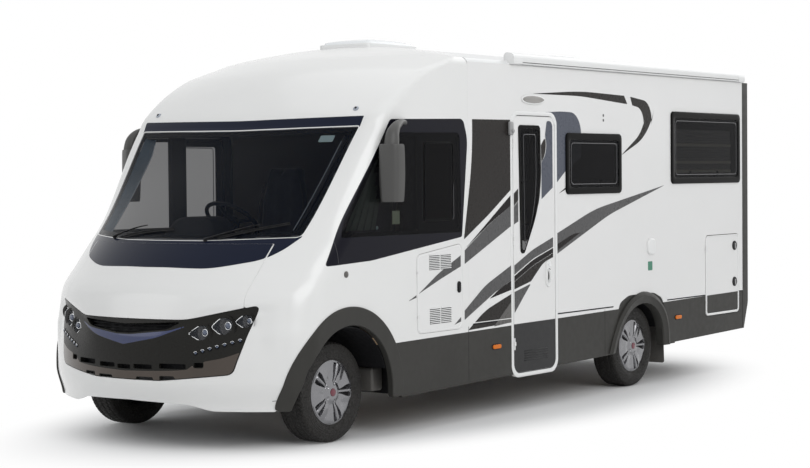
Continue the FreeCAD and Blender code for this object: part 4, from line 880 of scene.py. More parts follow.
def clip(uv: Array, tris: Array, value: Callable[[Array], Array]) -> tuple[Array, Array]:
    """Cuts triangles along the line where a value is 0 and keeps the side where it is positive.

    Each cut edge gets a point found by halving the edge; a triangle with one corner inside
    shrinks to that corner, and one with two becomes two triangles.

    Args:
        uv: Points in the skin's two parameters, (n, 2).
        tris: Triangles as point numbers.
        value: Gives the value at points.

    Returns:
        All the points and the kept triangles.
    """
    worth = value(uv)
    inside = worth[tris] > 0
    total = inside.sum(1)
    whole = tris[total == 3]
    some = (total == 1) | (total == 2)
    mixed, flags, single = tris[some], inside[some], total[some] == 1
    odd = np.where(single, flags.argmax(1), (~flags).argmax(1))
    turned = np.take_along_axis(mixed, (odd[:, None] + np.arange(3)) % 3, 1)
    edges = np.sort(np.concatenate([turned[:, [0, 1]], turned[:, [0, 2]]]), 1)
    edges, which = np.unique(edges, axis=0, return_inverse=True)
    which = which.ravel()
    if not len(edges):
        return uv, whole
    low, high = np.zeros(len(edges)), np.ones(len(edges))
    start, reach = uv[edges[:, 0]], uv[edges[:, 1]] - uv[edges[:, 0]]
    positive = worth[edges[:, 0]] > 0
    for _ in range(12):
        middle = (low + high) / 2
        same = (value(start + reach * middle[:, None]) > 0) == positive
        low, high = np.where(same, middle, low), np.where(same, high, middle)
    cuts = start + reach * ((low + high) / 2)[:, None]
    one, two = np.split(len(uv) + which, 2)
    shrunk = np.stack([turned[:, 0], one, two], -1)[single]
    rest = turned[~single]
    one, two = one[~single], two[~single]
    halves = np.concatenate([np.stack([one, rest[:, 1], rest[:, 2]], -1),
                             np.stack([one, rest[:, 2], two], -1)])
    return np.concatenate([uv, cuts]), np.concatenate([whole, shrunk, halves])


@dataclass
class Skin:
    """A trimmed part of the front end's skin, with rolled edges and a lining.

    Attributes:
        form: The body's form.
        region: Gives each skin point's distance into the part, positive inside.
        span: Least and greatest u.
        heights: Least and greatest v.
        cell: Size of the grid's cells.
        lift: Height over the body's skin.
    """
    form: BodyForm
    region: Callable[[Array], Array]
    span: tuple[float, float] = (-3.0, 3.0)
    heights: tuple[float, float] = (0.24, 2.815)
    cell: float = 0.016
    lift: float = 0.0

    def grid(self) -> tuple[Array, Array]:
        """Grid of (u, v) and its triangles, with rows evenly spaced along the middle's profile."""
        v = np.linspace(*self.heights, 600)
        middle = self.form.point(np.stack([np.zeros_like(v), v], -1))
        length = np.concatenate([[0.0], np.cumsum(np.linalg.norm(np.diff(middle, axis=0), axis=1))])
        rows = np.interp(np.linspace(0, length[-1], int(length[-1] / self.cell) + 2), length, v)
        reach = (0.95, 0.45, 1.45)
        edges = list(range(-3, 4))
        pieces = []
        for a, b in zip(edges, edges[1:]):
            low, high = max(a, self.span[0]), min(b, self.span[1])
            if low < high:
                size = reach[min(abs(a), abs(b))]
                pieces.append(np.linspace(low, high, max(2, int(size * (high - low) / self.cell) + 1))[:-1])
        u = np.concatenate(pieces + [[self.span[1]]])
        uv = np.stack(np.meshgrid(u, rows), -1).reshape(-1, 2)
        quads = grid_faces(len(rows), len(u))
        flip = (quads[:, 0] % 2 == 0)[:, None]
        first = np.where(flip, quads[:, [0, 1, 2]], quads[:, [0, 1, 3]])
        second = np.where(flip, quads[:, [0, 2, 3]], quads[:, [1, 2, 3]])
        return uv, np.concatenate([first, second])

    def trimmed(self) -> tuple[Array, Array, Array]:
        """Points, normals and triangles of the trimmed skin."""
        uv, tris = clip(*self.grid(), lambda p: self.region(self.form.point(p)))
        used = np.unique(tris)
        renumber = np.zeros(len(uv), int)
        renumber[used] = np.arange(len(used))
        uv, tris = uv[used], renumber[tris]
        normals = self.form.normal(uv)
        points = self.form.point(uv) + normals * self.lift
        corners = points[tris]
        area = np.linalg.norm(np.cross(corners[:, 1] - corners[:, 0], corners[:, 2] - corners[:, 0]), axis=1)
        return points, normals, tris[area > 1e-10]

    def add_to(self, piece: Piece, finish: Finish, radius: float = 0.002, depth: float = 0.012,
               lining: Finish | None = None) -> None:
        """Adds the skin, its rolled edge and its inner face to a piece.

        The edge turns from the skin's normal to its outward tangent over a quarter circle, then
        runs inwards; the inner face is a coarser copy of the skin, moved in by the depth and
        turned over.

        Args:
            piece: Piece that gets it.
            finish: Finish of the outer face and the edge.
            radius: Radius of the rolled edge.
            depth: Thickness, or 0 for a film with no edge.
            lining: Finish of the inner face, or None for none.
        """
        points, normals, tris = self.trimmed()
        piece.add(points, tris, finish, normals)
        if lining:
            inner = replace(self, cell=self.cell * 2.5, lift=self.lift - depth)
            back, back_normals, back_tris = inner.trimmed()
            piece.add(back, back_tris[:, ::-1], lining, -back_normals)
        edges = np.concatenate([tris[:, [0, 1]], tris[:, [1, 2]], tris[:, [2, 0]]])
        code, back = edges[:, 0] * len(points) + edges[:, 1], edges[:, 1] * len(points) + edges[:, 0]
        border = edges[~np.isin(code, back)]
        if not depth or not len(border):
            return
        out = np.zeros_like(points)
        push = np.cross(unit(points[border[:, 1]] - points[border[:, 0]]), normals[border[:, 0]])
        np.add.at(out, border[:, 0], push)
        np.add.at(out, border[:, 1], push)
        rim = np.unique(border)
        renumber = np.zeros(len(points), int)
        renumber[rim] = np.arange(len(rim))
        base, n, m = points[rim], normals[rim], unit(out[rim])
        angle = np.linspace(0, math.pi / 2, 4 if radius else 1)
        rows = [base + m * radius * math.sin(a) - n * radius * (1 - math.cos(a)) for a in angle]
        turned = [n * math.cos(a) + m * math.sin(a) for a in angle] if radius else [m]
        rows.append(base + m * radius - n * depth)
        turned.append(m)
        a, b = renumber[border[:, 0]], renumber[border[:, 1]]
        count = len(rim)
        for i in range(len(rows) - 1):
            quads = np.stack([b, a, count + a, count + b], -1)
            piece.add(np.concatenate(rows[i:i + 2]), quads, finish, np.concatenate(turned[i:i + 2]))


@dataclass(frozen=True)
class Outline:
    """A closed outline seen from the front, as (y, z), or from the side, as (x, z).

    Attributes:
        loop: The outline's points. A front outline that isn't symmetrical is given on the left.
        from_side: Whether it is seen from the side.
        hand: 1 if only the left side has it, 0 if both sides have it.
    """
    loop: Array
    from_side: bool = False
    hand: int = 0

    def depth(self, points: Array) -> Array:
        """Distance of points into the outline, negative outside it."""
        y = np.abs(points[:, 1])
        if not self.from_side:
            return inside_by(self.loop, y, points[:, 2])
        result = np.minimum(inside_by(self.loop, points[:, 0], points[:, 2]), y - 0.75)
        return np.minimum(result, points[:, 1]) if self.hand else result

    def moved(self, by: float) -> "Outline":
        """The outline grown by a distance."""
        return replace(self, loop=grown(self.loop, by))


def within(*parts: Outline, out_of: Sequence[Outline] = ()) -> Callable[[Array], Array]:
    """Region that lies inside all the given outlines and outside the others."""
    def region(points: Array) -> Array:
        values = [part.depth(points) for part in parts] + [-part.depth(points) for part in out_of]
        return np.minimum.reduce(values)
    return region


# ====================================================================== front end
@dataclass
class FrontEnd:
    """White shell, bonnet, glass and dark panels round the cab.

    Attributes:
        form: The body's form.
        gap: Width of the seams.
        wall: Thickness of the shell.
        bonnet_half: Half of the bonnet's width.
        bonnet_z: Its lower and upper edge.
        screen: Windscreen's corners as (y, z, radius).
        surround: Side panel's corners as (x from the front axle, z, radius).
        pane: Side window's corners in the same way.
        mask: Dark mask's corners as (y, z, radius).
        locker: Gas locker's corners as (x from the front axle, z, radius).
        flare: Radius of the wheel arch's flare at its outer and inner edge, and how proud it is.
        behind: Bracket and liner behind the front wheel: two corners on the left, radius and finish. The matt
            black liner is partly a real liner and partly painted shade, closing the gap behind the wheel in
            black.
        base: Height of the bumper's foot.
        sill: Height of the white panels' foot at the rear of the arch and at the tail.
        glass: Thickness of the glass.
        frit: Width of the glass's black edge.
        screen_area: The windscreen's reach in u and v on the skin.
        pane_heights: The side windows' reach in v.
        slider_frame: Sliding pane's frame outside and inside, and its bead, as x0, x1, z0, z1 and radius.
    """
    form: BodyForm
    gap: float = 0.005
    wall: float = 0.032
    bonnet_half: float = 0.830
    bonnet_z: tuple[float, float] = (0.802, 1.370)
    screen: tuple = ((0.962, 1.413, 0.03), (1.029, 2.165, 0.012), (0.0, 2.150, 6.0), (-1.029, 2.165, 0.012),
                     (-0.962, 1.413, 0.03), (-0.35, 1.392, 1.5), (0.35, 1.392, 1.5))
    surround: tuple = ((0.245, 1.216, 0.012), (-0.470, 2.214, 0.05), (-1.370, 2.233, 0.06),
                       (-1.425, 2.080, 0.26), (-1.345, 1.365, 0.022), (-0.245, 1.236, 0.9))
    pane: tuple = ((0.068, 1.402, 0.010), (0.022, 1.500, 0.08), (-0.412, 2.122, 0.03), (-1.322, 2.131, 0.05),
                   (-1.338, 1.399, 0.015))
    mask: tuple = ((0.916, 0.976, 0.016), (0.480, 0.878, 0.5), (-0.480, 0.878, 0.5), (-0.916, 0.976, 0.016),
                   (-0.790, 0.522, 0.06), (-0.300, 0.472, 0.9), (0.300, 0.472, 0.9), (0.790, 0.522, 0.06))
    locker: tuple = ((-1.338, 0.692, 0.045), (-0.775, 0.692, 0.045), (-0.775, 1.252, 0.045),
                     (-1.338, 1.318, 0.045))
    flare: tuple[float, float, float] = (0.583, 0.470, 0.012)
    # The matt black liner also stands in as painted shade in the gap behind the front wheel.
    behind: tuple = (((-0.600, 0.80, 0.300), (-0.475, 0.99, 0.468), 0.020, BRACKET),
                     ((-0.640, 0.72, 0.275), (-0.612, 1.135, 0.640), 0.005, MATT_BLACK))
    base: float = 0.276
    sill: tuple[float, float] = (0.650, 0.715)
    glass: float = 0.006
    frit: float = 0.034
    screen_area: tuple = ((-2.0, 2.0), (1.37, 2.19))
    pane_heights: tuple[float, float] = (1.35, 2.20)
    slider_frame: tuple = ((-1.312, -0.800, 1.428, 2.108, 0.03), (-1.243, -0.872, 1.488, 2.061, 0.025),
                           (-1.235, -0.880, 1.496, 2.053, 0.025))

    def __post_init__(self) -> None:
        """Works the outlines out from the corners."""
        axle = self.form.front_axle
        z0, z1 = self.bonnet_z
        half = self.bonnet_half
        self.screen_line = Outline(rounded_loop(self.screen))
        self.surround_line = Outline(self.from_axle(self.surround), True)
        self.pane_line = Outline(self.from_axle(self.pane), True)
        self.mask_line = Outline(rounded_loop(self.mask))
        self.locker_line = Outline(self.from_axle(self.locker), True, 1)
        self.bonnet_line = Outline(rounded_loop(oblong(-half, half, z0, z1, 0.012)))
        self.opening_line = Outline(rounded_loop(oblong(-half - self.gap, half + self.gap, z0 - 0.1,
                                                        z1 + self.gap, 0.016)))
        angle = np.linspace(0, 2 * math.pi, 160, endpoint=False)
        circle = np.stack([np.cos(angle), np.sin(angle)], -1)
        hub = np.array((axle, self.form.axle_z))
        self.arch_line = Outline(hub + circle * self.flare[0], True)
        over = circle[circle[:, 1] > -0.01] * self.flare[1]
        over = over[(over[:, 0] < 0.30) | (over[:, 1] < 0.0)]
        down = np.array([(-self.flare[1], -0.20), (0.535, -0.20), (0.522, -0.08), (0.504, 0.043),
                         (0.450, 0.200), (0.380, 0.290)])
        ring = np.concatenate([over[over[:, 1] >= 0.0], down[:0:-1][::-1], down[:1]])
        order = np.argsort(np.arctan2(ring[:, 1] + 0.02, ring[:, 0]))
        self.wheel_line = Outline(hub + ring[order], True)

    def from_axle(self, corners: Sequence[tuple[float, float, float]]) -> Array:
        """Outline of corners whose x counts from the front axle."""
        return rounded_loop([(x + self.form.front_axle, z, r) for x, z, r in corners])

    def bounds(self, points: Array) -> Array:
        """Distance of points inside the front mouldings: ahead of the seam and above sill and foot."""
        x, z = points[:, 0], points[:, 2]
        start, tail = self.form.front_axle - 0.549, -self.form.nose
        line = self.sill[0] + (self.sill[1] - self.sill[0]) * (start - x) / (start - tail)
        ahead = smooth_curve((0.0, 0.45, 0.66, 1.4), (0.332, 0.318, self.base, self.base - 0.003),
                             np.abs(points[:, 1]))
        foot = np.where(x < self.form.front_axle, line, ahead)
        return np.minimum(x - self.form.seam - 0.0015, z - foot)

    def build(self) -> None:
        """Makes every piece of the front end."""
        self.shell()
        self.bonnet()
        self.windscreen()
        self.sides()
        self.flares()

    def shell(self) -> None:
        """White shell of cap, nose and bumper: the skin less all its openings."""
        holes = (self.screen_line, self.opening_line, self.mask_line.moved(0.003), self.surround_line,
                 self.arch_line.moved(-0.004), self.locker_line.moved(self.gap))
        outer = within(out_of=holes)
        piece = Piece("front_shell", Body.ROOT.value)
        Skin(self.form, lambda p: np.minimum(outer(p), self.bounds(p)), cell=0.017).add_to(
            piece, SHELL_WHITE, 0.0025, self.wall, LINING)
        self.bands(piece, False)
        self.seams(piece)
        piece.make(replaces=("front_cap", "nose_panel", "bumper"))

    def bonnet(self) -> None:
        """Bonnet: its part of the skin with the dark band over it."""
        piece = Piece("bonnet_skin", Body.LID.value)
        region = within(self.bonnet_line, out_of=(self.mask_line.moved(self.gap),))
        Skin(self.form, region, (-1.6, 1.6), (0.75, 1.40)).add_to(
            piece, SHELL_WHITE, 0.0025, self.wall, LINING)
        self.bands(piece, True)
        piece.make(replaces=("bonnet",))

    def bands(self, piece: Piece, on_bonnet: bool) -> None:
        """Dark films under the windscreen, on the bonnet or beside it, and over the windscreen.

        The lower film's edge is a smooth curve that rises outwards to a point.
        """
        across = (0.0, 0.15, 0.45, 0.75, 0.827, 0.903, 0.964)
        rise = (1.214, 1.215, 1.210, 1.252, 1.276, 1.330, 1.409)
        beside = within(out_of=(self.opening_line.moved(0.0018),))
        below = within(out_of=(self.screen_line.moved(0.0035),))

        def lower(points: Array) -> Array:
            y, z = np.abs(points[:, 1]), points[:, 2]
            top = self.bonnet_z[1] - z if on_bonnet else below(points)
            side = self.bonnet_half - 0.0015 - y if on_bonnet else np.minimum(
                np.maximum(beside(points), z - self.bonnet_z[1] - 0.0006), 0.964 - y)
            return np.minimum.reduce([z - smooth_curve(across, rise, y), top, side])
        Skin(self.form, lower, (-1.9, 1.9), (1.15, 1.44), 0.012, 0.0004).add_to(piece, NAVY, depth=0.0)
        if on_bonnet:
            return
        edge = self.screen_line.moved(0.0045)
        frame = rounded_loop(((1.031, 2.130, 0.0), (1.039, 2.237, 0.004), (0.0, 2.221, 8.0),
                              (-1.039, 2.237, 0.004), (-1.031, 2.130, 0.0)))
        upper = within(Outline(frame), out_of=(edge,))
        Skin(self.form, lambda p: np.minimum(upper(p), p[:, 2] - 2.12), (-1.9, 1.9), (2.05, 2.35), 0.012,
             0.0004).add_to(piece, NAVY, depth=0.0)

    def seams(self, piece: Piece) -> None:
        """Dark joint lines where bumper and nose meet, from the mask's lower corner to the arch."""
        for hand in (1, -1):
            t = np.linspace(0.0, 1.0, 24)
            y = hand * (0.985 + 0.16 * t)
            z = 0.345 + 0.02 * t
            lines = [self.form.on_front(y, z + d, 0.0006) for d in (0.0015, -0.0015)]
            points = np.stack(lines if hand < 0 else lines[::-1])
            piece.grid(points, MATT_BLACK)

    def windscreen(self) -> None:
        """Tinted windscreen with a rounded edge and a black border behind it."""
        piece = Piece("windscreen_pane", Body.ROOT.value)
        edge = self.screen_line.moved(-0.003)
        Skin(self.form, within(edge), *self.screen_area, 0.018, -0.001).add_to(
            piece, SCREEN, 0.001, self.glass)
        border = within(edge, out_of=(edge.moved(-self.frit),))
        Skin(self.form, border, *self.screen_area, 0.014, -0.0075).add_to(
            piece, GLOSS_BLACK, 0.0, 0.004, GLOSS_BLACK)
        bevel = within(edge.moved(-0.003), out_of=(edge.moved(-0.006),))
        Skin(self.form, bevel, *self.screen_area, 0.010, 0.0004).add_to(piece, LINE_GREY, depth=0.0)
        for hand in (1, -1):
            self.pillar(piece, hand)
        label = Outline(rounded_loop(oblong(0.755, 0.868, 2.062, 2.108, 0.004)))
        Skin(self.form, within(label), (0.6, 1.3), (2.0, 2.15), 0.010, -0.0082).add_to(
            piece, STICKER, 0.0, 0.0008)
        piece.make(replaces=("windscreen",))

    def pillar(self, piece: Piece, hand: int) -> None:
        """Inner lining of a windscreen pillar: a strip behind the glass's edge with a bright bead. The far
        (right) strip's blue-grey is painted sky light and the near (left) strip's gloss black is painted
        shade.
        """
        z = np.linspace(1.425, 2.125, 30)
        outer = 0.955 + (z - 1.413) * 0.0886 - 0.030
        edges = ((1.43, 2.10), (0.885, 0.925)) if hand > 0 else ((1.43, 2.0), (0.735, 0.815))
        inner = np.interp(z, *edges)
        inner = np.where(z > 2.0, inner + (0.0 if hand > 0 else 0.45) * (z - 2.0), inner)
        rows = [self.form.on_front(hand * (outer + (inner - outer) * t), z,
                                   -0.014 - 0.030 * math.sin(2.6 * t))
                for t in np.linspace(0.0, 1.0, 7)]
        points = np.stack(rows if hand < 0 else rows[::-1])
        # One lining on both sides: blue-grey on the far side as painted sky light, gloss black on the near
        # side as painted shade.
        piece.grid(points[:, ::-1], PILLAR_PAINTED_SKYLIGHT if hand < 0 else GLOSS_BLACK)
        bead = self.form.on_front(hand * inner[2:-2], z[2:-2], -0.026)
        add_tube(piece, bead, 0.0028, BEAD, 8)

    def sides(self) -> None:
        """Slate panels and side windows of the cab, both sides."""
        panel = Piece("surround_panels", Body.ROOT.value)
        region = within(self.surround_line.moved(-0.002), out_of=(self.pane_line,))
        for span in SIDE_SPANS.values():
            Skin(self.form, lambda p: np.minimum(region(p), p[:, 0] - self.form.seam - 0.0015), span,
                 (1.15, 2.30), 0.012, 0.0).add_to(panel, SURROUND, 0.002, self.wall, LINING)
        panel.make(replaces=("cab_surrounds",))
        pane = Piece("cab_panes", Body.ROOT.value)
        for span in SIDE_SPANS.values():
            Skin(self.form, within(self.pane_line.moved(-0.003)), span, self.pane_heights, 0.014,
                 -0.001).add_to(
                pane, CAB_PANE, 0.001, self.glass)
            border = within(self.pane_line.moved(-0.003), out_of=(self.pane_line.moved(-0.030),))
            Skin(self.form, border, span, self.pane_heights, 0.012, -0.0075).add_to(
                pane, GLOSS_BLACK, 0.0, 0.004, GLOSS_BLACK)
        for hand in (1, -1):
            self.slider(pane, hand)
        pane.make(replaces=("cab_windows",))

    def slider(self, piece: Piece, hand: int) -> None:
        """Sliding pane in the side window: a black frame, a bead round it and a post."""
        axle = self.form.front_axle
        span = SIDE_SPANS[hand]
        outer, inner, bead = [self.from_axle(oblong(*part)) for part in self.slider_frame]
        outer, inner = Outline(outer, True), Outline(inner, True)
        Skin(self.form, within(outer, out_of=(inner,)), span, self.pane_heights, 0.012, -0.0125).add_to(
            piece, GLOSS_BLACK, 0.001, 0.010)
        path = self.form.on_side(*bead.T, 0.0012, hand)
        add_tube(piece, path, 0.0034, PANE_BORDER, 8, True, 0.6, (0.0, hand, 0.0))
        angle = self.from_axle(((-1.235, 1.75, 0.0), (-1.235, 1.496, 0.025), (-1.00, 1.496, 0.0)))
        path = self.form.on_side(*angle[:-1].T, 0.0022, hand)
        add_tube(piece, path[(path[:, 0] < axle - 1.05) | (path[:, 2] < 1.6)][:-1], 0.0026, LINE_GREY, 8,
                 up=(0.0, hand, 0.0))
        low, high = sorted((hand * 1.085, hand * 1.135))
        add_box(piece, (axle - 0.835, low, 1.400), (axle - 0.665, high, 2.125), 0.015, MATT_BLACK)
        if hand > 0:
            self.blind(piece)

    def blind(self, piece: Piece) -> None:
        """Folded blind behind the left window, with two small labels on the glass."""
        axle = self.form.front_axle
        for k in range(9):
            z = np.linspace(1.445, 2.02 - 0.045 * k, 14)
            x = axle + 0.004 - 0.040 * k - (z - 1.445) * (0.690 - 0.050 * k)
            y = 1.112 - 0.004 * (k % 2) + 0.004 * np.array((0.0, 1.0))[:, None] * (1 - 2 * (k % 2))
            width = np.array((0.0, 0.040))[:, None]
            points = np.stack(np.broadcast_arrays(x[None] - width, y, z[None]), -1)
            piece.grid(points[::-1], BLIND_GREEN)
        add_turned(piece, ((0.0, 0.006), (0.010, 0.005), (0.014, 0.0)), (axle - 0.366, 1.127, 1.458),
                   (0, 1, 0), STICKER, 20)
        add_box(piece, (axle - 0.636, 1.120, 1.478), (axle - 0.552, 1.124, 1.572), 0.001, LABEL_PALE)

    def flares(self) -> None:
        """Grey flares round the front wheels: a ring of the skin, a little proud, with a rolled edge."""
        piece = Piece("arch_flares", Body.ROOT.value)
        region = within(self.arch_line, out_of=(self.wheel_line,))
        for hand, span in SIDE_SPANS.items():
            Skin(self.form, lambda p: np.minimum(region(p), p[:, 2] - 0.282), span, (0.24, 1.0), 0.014,
                 self.flare[2]).add_to(piece, TRIM_GREY, 0.008, 0.045, MATT_BLACK)
            for (x0, y0, z0), (x1, y1, z1), radius, finish in self.behind:
                low, high = sorted((hand * y0, hand * y1))
                add_box(piece, (x0 + self.form.front_axle, low, z0), (x1 + self.form.front_axle, high, z1),
                        radius, finish)
        piece.make(replaces=("front_flares",))


# ====================================================================== mask and lamps
@dataclass
class Mask:
    """Dark mask with its grille, lower openings, leaf-shaped lamps and rows of small lights.

    Attributes:
        front: The front end, which has the mask's outline.
        lamps: Middle (y, z), radius and tip's y of each leaf-shaped lamp.
        lights: First and last place (y, z), count and radius of the small lights.
        grille: Corners of the grille's slot.
        lip: Corners of the crescent under it.
        slots: Lower openings as y0, y1, z0, z1.
        tray: How far behind the mask's face the dark tray lies.
    """
    front: FrontEnd
    lamps: tuple = ((0.580, 0.796, 0.051, 0.497), (0.716, 0.841, 0.057, 0.640), (0.840, 0.872, 0.043, 0.780))
    lights: tuple = ((0.556, 0.663), (0.825, 0.747), 7, 0.0155)
    grille: tuple = ((-0.455, 0.868, 0.006), (-0.36, 0.815, 0.12), (-0.06, 0.782, 0.3), (0.06, 0.782, 0.3),
                     (0.36, 0.815, 0.12), (0.455, 0.868, 0.006), (0.0, 0.846, 0.9))
    lip: tuple = ((-0.520, 0.852, 0.002), (-0.37, 0.806, 0.3), (-0.06, 0.774, 0.3), (0.06, 0.774, 0.3),
                  (0.37, 0.806, 0.3), (0.520, 0.852, 0.002), (0.28, 0.760, 0.5), (0.0, 0.708, 0.05),
                  (-0.28, 0.760, 0.5))
    slots: tuple = ((-0.062, 0.062, 0.540, 0.574), (0.086, 0.244, 0.545, 0.580), (0.296, 0.494, 0.553, 0.591),
                    (0.545, 0.610, 0.566, 0.602), (0.112, 0.250, 0.468, 0.494), (0.302, 0.410, 0.480, 0.505))
    tray: float = 0.055

    def leaf(self, y: float, z: float, radius: float, tip: float, by: float = 0.0) -> Array:
        """Outline of a lamp: most of a circle, drawn out to a tip along its two tangents."""
        reach = y - tip
        half = math.acos(radius / reach)
        angle = np.linspace(-math.pi + half, math.pi - half, 40)
        ring = np.stack([y + radius * np.cos(angle), z + radius * np.sin(angle)], -1)
        return grown(np.concatenate([ring, [[tip, z - 0.006]]]), by)

    def build(self) -> None:
        """Makes the mask, what lies behind it and the lamps."""
        form = self.front.form
        leaves = [Outline(self.leaf(*lamp)) for lamp in self.lamps]
        self.openings = [Outline(rounded_loop(oblong(*slot, 0.008))) for slot in self.slots]
        grille = Outline(rounded_loop(self.grille))
        area = self.front.mask_line.moved(-0.003)
        piece = Piece("mask_face", Body.ROOT.value)
        region = within(area, out_of=(grille, *leaves, *self.openings))
        Skin(form, region, (-2.2, 2.2), (0.45, 1.0), 0.008).add_to(piece, MASK, 0.0025, 0.028, MATT_BLACK)
        Skin(form, within(Outline(rounded_loop(self.lip))), (-1.2, 1.2), (0.68, 0.90), 0.007, 0.0004).add_to(
            piece, LIP_BLUE, 0.002, 0.008)
        self.lower(piece, area)
        Skin(form, within(area.moved(-0.02)), (-2.2, 2.2), (0.45, 1.0), 0.03, -self.tray).add_to(
            piece, MATT_BLACK, 0.0, 0.0)
        self.slats(piece)
        piece.make(replaces=("grille_mask",))
        lamps = Piece("front_lamps", Body.ROOT.value)
        for hand in (1, -1):
            for lamp in self.lamps:
                self.lamp(lamps, hand, lamp)
            self.row(lamps, hand)
        for leaf in leaves:
            Skin(form, within(leaf.moved(-0.0015)), (-2.2, 2.2), (0.72, 0.93), 0.007, -0.002).add_to(
                lamps, LENS, 0.001, 0.002)
        lamps.make(replaces=("headlamps",))

    def lower(self, piece: Piece, area: Outline) -> None:
        """Glossy lower part of the mask, under a line that rises towards its ends."""
        def under(points: Array) -> Array:
            line = smooth_curve((0.0, 0.30, 0.496, 0.556, 0.736, 0.900),
                                (0.528, 0.538, 0.552, 0.591, 0.634, 0.700), np.abs(points[:, 1]))
            inside = within(area.moved(-0.004), out_of=[hole.moved(0.003) for hole in self.openings])(points)
            return np.minimum(line - points[:, 2], inside)
        Skin(self.front.form, under, (-2.2, 2.2), (0.45, 0.72), 0.008, 0.0015).add_to(
            piece, BRONZE, 0.0015, 0.002)

    def slats(self, piece: Piece) -> None:
        """Three thin bars behind the grille's slot, each following the nose."""
        for z in (0.800, 0.822, 0.844):
            y = np.linspace(-0.46, 0.46, 40)
            path = self.front.form.on_front(y, np.full_like(y, z), -0.030)
            add_tube(piece, path, 0.0035, GLOSS_BLACK, 8)

    def lamp(self, piece: Piece, hand: int, lamp: tuple) -> None:
        """One lamp: a dark bowl, a projector with its ring, and a bright line along the tip's edges."""
        y, z, radius, tip = lamp
        form = self.front.form
        middle = form.front_spot(hand * (y + 0.25 * radius), z)
        bowl = ((radius * 1.25, -0.020), (radius * 0.95, -0.032), (radius * 0.60, -0.044), (0.001, -0.050))
        add_turned(piece, bowl[::-1], middle, (1, 0, 0), BOWL, 48, 14)
        barrel = ((radius * 0.50, -0.046), (radius * 0.50, -0.024), (radius * 0.44, -0.020),
                  (radius * 0.40, -0.023))
        add_turned(piece, barrel, middle, (1, 0, 0), CHROME, 40)
        dome = ((radius * 0.42, -0.024), (radius * 0.36, -0.017), (radius * 0.22, -0.011), (0.001, -0.009))
        add_turned(piece, dome, middle, (1, 0, 0), PROJECTOR, 40, 12)
        loop = self.leaf(*lamp, -0.004)
        tip_side = np.flatnonzero(loop[:, 0] < y - 0.1 * radius)
        line = loop[np.roll(tip_side, len(tip_side) // 2)][1:-1]
        path = form.on_front(hand * line[:, 0], line[:, 1], -0.003)
        add_tube(piece, smooth_path(path, 40), 0.0028, CHROME, 8)

    def row(self, piece: Piece, hand: int) -> None:
        """Small round lights in a row: a dark cup, a bright arc and a clear bead each."""
        (y0, z0), (y1, z1), count, radius = self.lights
        for i in range(count):
            t = i / (count - 1)
            y, z = hand * (y0 + (y1 - y0) * t), z0 + (z1 - z0) * t
            middle = self.front.form.front_spot(y, z, 0.001)
            normal = self.front.form.front_spot(y, z, 1.001) - middle
            cup = ((radius, 0.0), (radius, 0.002), (radius * 0.86, 0.003), (radius * 0.75, 0.001),
                   (0.001, 0.0005))
            add_turned(piece, cup, middle, normal, GLOSS_BLACK, 28)
            bead = ((radius * 0.55, 0.001), (radius * 0.42, 0.005), (0.001, 0.0065))
            add_turned(piece, bead, middle, normal, PROJECTOR, 24, 8)
            angle = np.linspace(0.5, 3.0, 14)
            ring = np.stack([y + hand * radius * 0.72 * np.cos(angle), z + radius * 0.72 * np.sin(angle)], -1)
            add_tube(piece, self.front.form.on_front(*ring.T, 0.004), 0.0016, CHROME, 6)


# ====================================================================== sides
class Face:
    """A flat face of the body: plates, films and blocks have a place (a, b) on it and a reach out of it."""

    def at(self, out: float) -> Place:
        """Placing function for points a distance out of the face, less the depth."""
        raise NotImplementedError

    def spot(self, a: float, b: float, out: float = 0.0) -> Array:
        """One point of the face, a distance out of it."""
        return self.at(out)(np.array([a]), np.array([b]), 0.0)[0]

    def plate(self, piece: Piece, area: Sequence[float], corner: float, out: float, depth: float,
              finish: Finish, edge: float = 0.0) -> None:
        """Adds an oblong plate.

        Args:
            piece: Piece that gets it.
            area: Its a0, a1, b0 and b1.
            corner: Radius of its corners.
            out: How far its front stands out of the face.
            depth: Its thickness.
            finish: Its finish.
            edge: Radius of its front edge.
        """
        add_slab(piece, rounded_loop(oblong(*area, corner)), self.at(out), depth, finish, edge)

    def film(self, piece: Piece, area: Sequence[float], corner: float, finish: Finish,
             out: float = FILM_LIFT) -> None:
        """Adds an oblong film.

        Args:
            piece: Piece that gets it.
            area: Its a0, a1, b0 and b1.
            corner: Radius of its corners.
            finish: Its finish.
            out: How far it lies out of the face.
        """
        add_film(piece, rounded_loop(oblong(*area, corner)), self.at(out), finish)

    def block(self, piece: Piece, first: Sequence[float], second: Sequence[float], radius: float,
              finish: Finish, steps: int = 4) -> None:
        """Adds a rounded box between two places.

        Args:
            piece: Piece that gets it.
            first: One corner's a, b and reach out.
            second: The opposite corner's.
            radius: Radius of its edges.
            finish: Its finish.
            steps: Steps on each quarter turn.
        """
        ends = self.spot(*first), self.spot(*second)
        add_box(piece, np.minimum(*ends), np.maximum(*ends), radius, finish, steps)


@dataclass
class Side(Face):
    """One side of the living area, with places as x from the front axle and z.

    Attributes:
        form: The body's form.
        hand: 1 on the left, -1 on the right.
    """
    form: BodyForm
    hand: int

    def __post_init__(self) -> None:
        """Names the side's bodies."""
        self.left = self.hand > 0
        self.locker = Body.REAR_LEFT if self.left else Body.REAR_RIGHT
        self.tag = "left" if self.left else "right"

    def at(self, out: float) -> Place:
        """Placing function for points a distance outside the wall, less the depth."""
        def place(a: Array, b: Array, d: float) -> Array:
            return np.stack([a + self.form.front_axle, np.full_like(a, self.form.half + out - d) * self.hand,
                             b], -1)
        return place


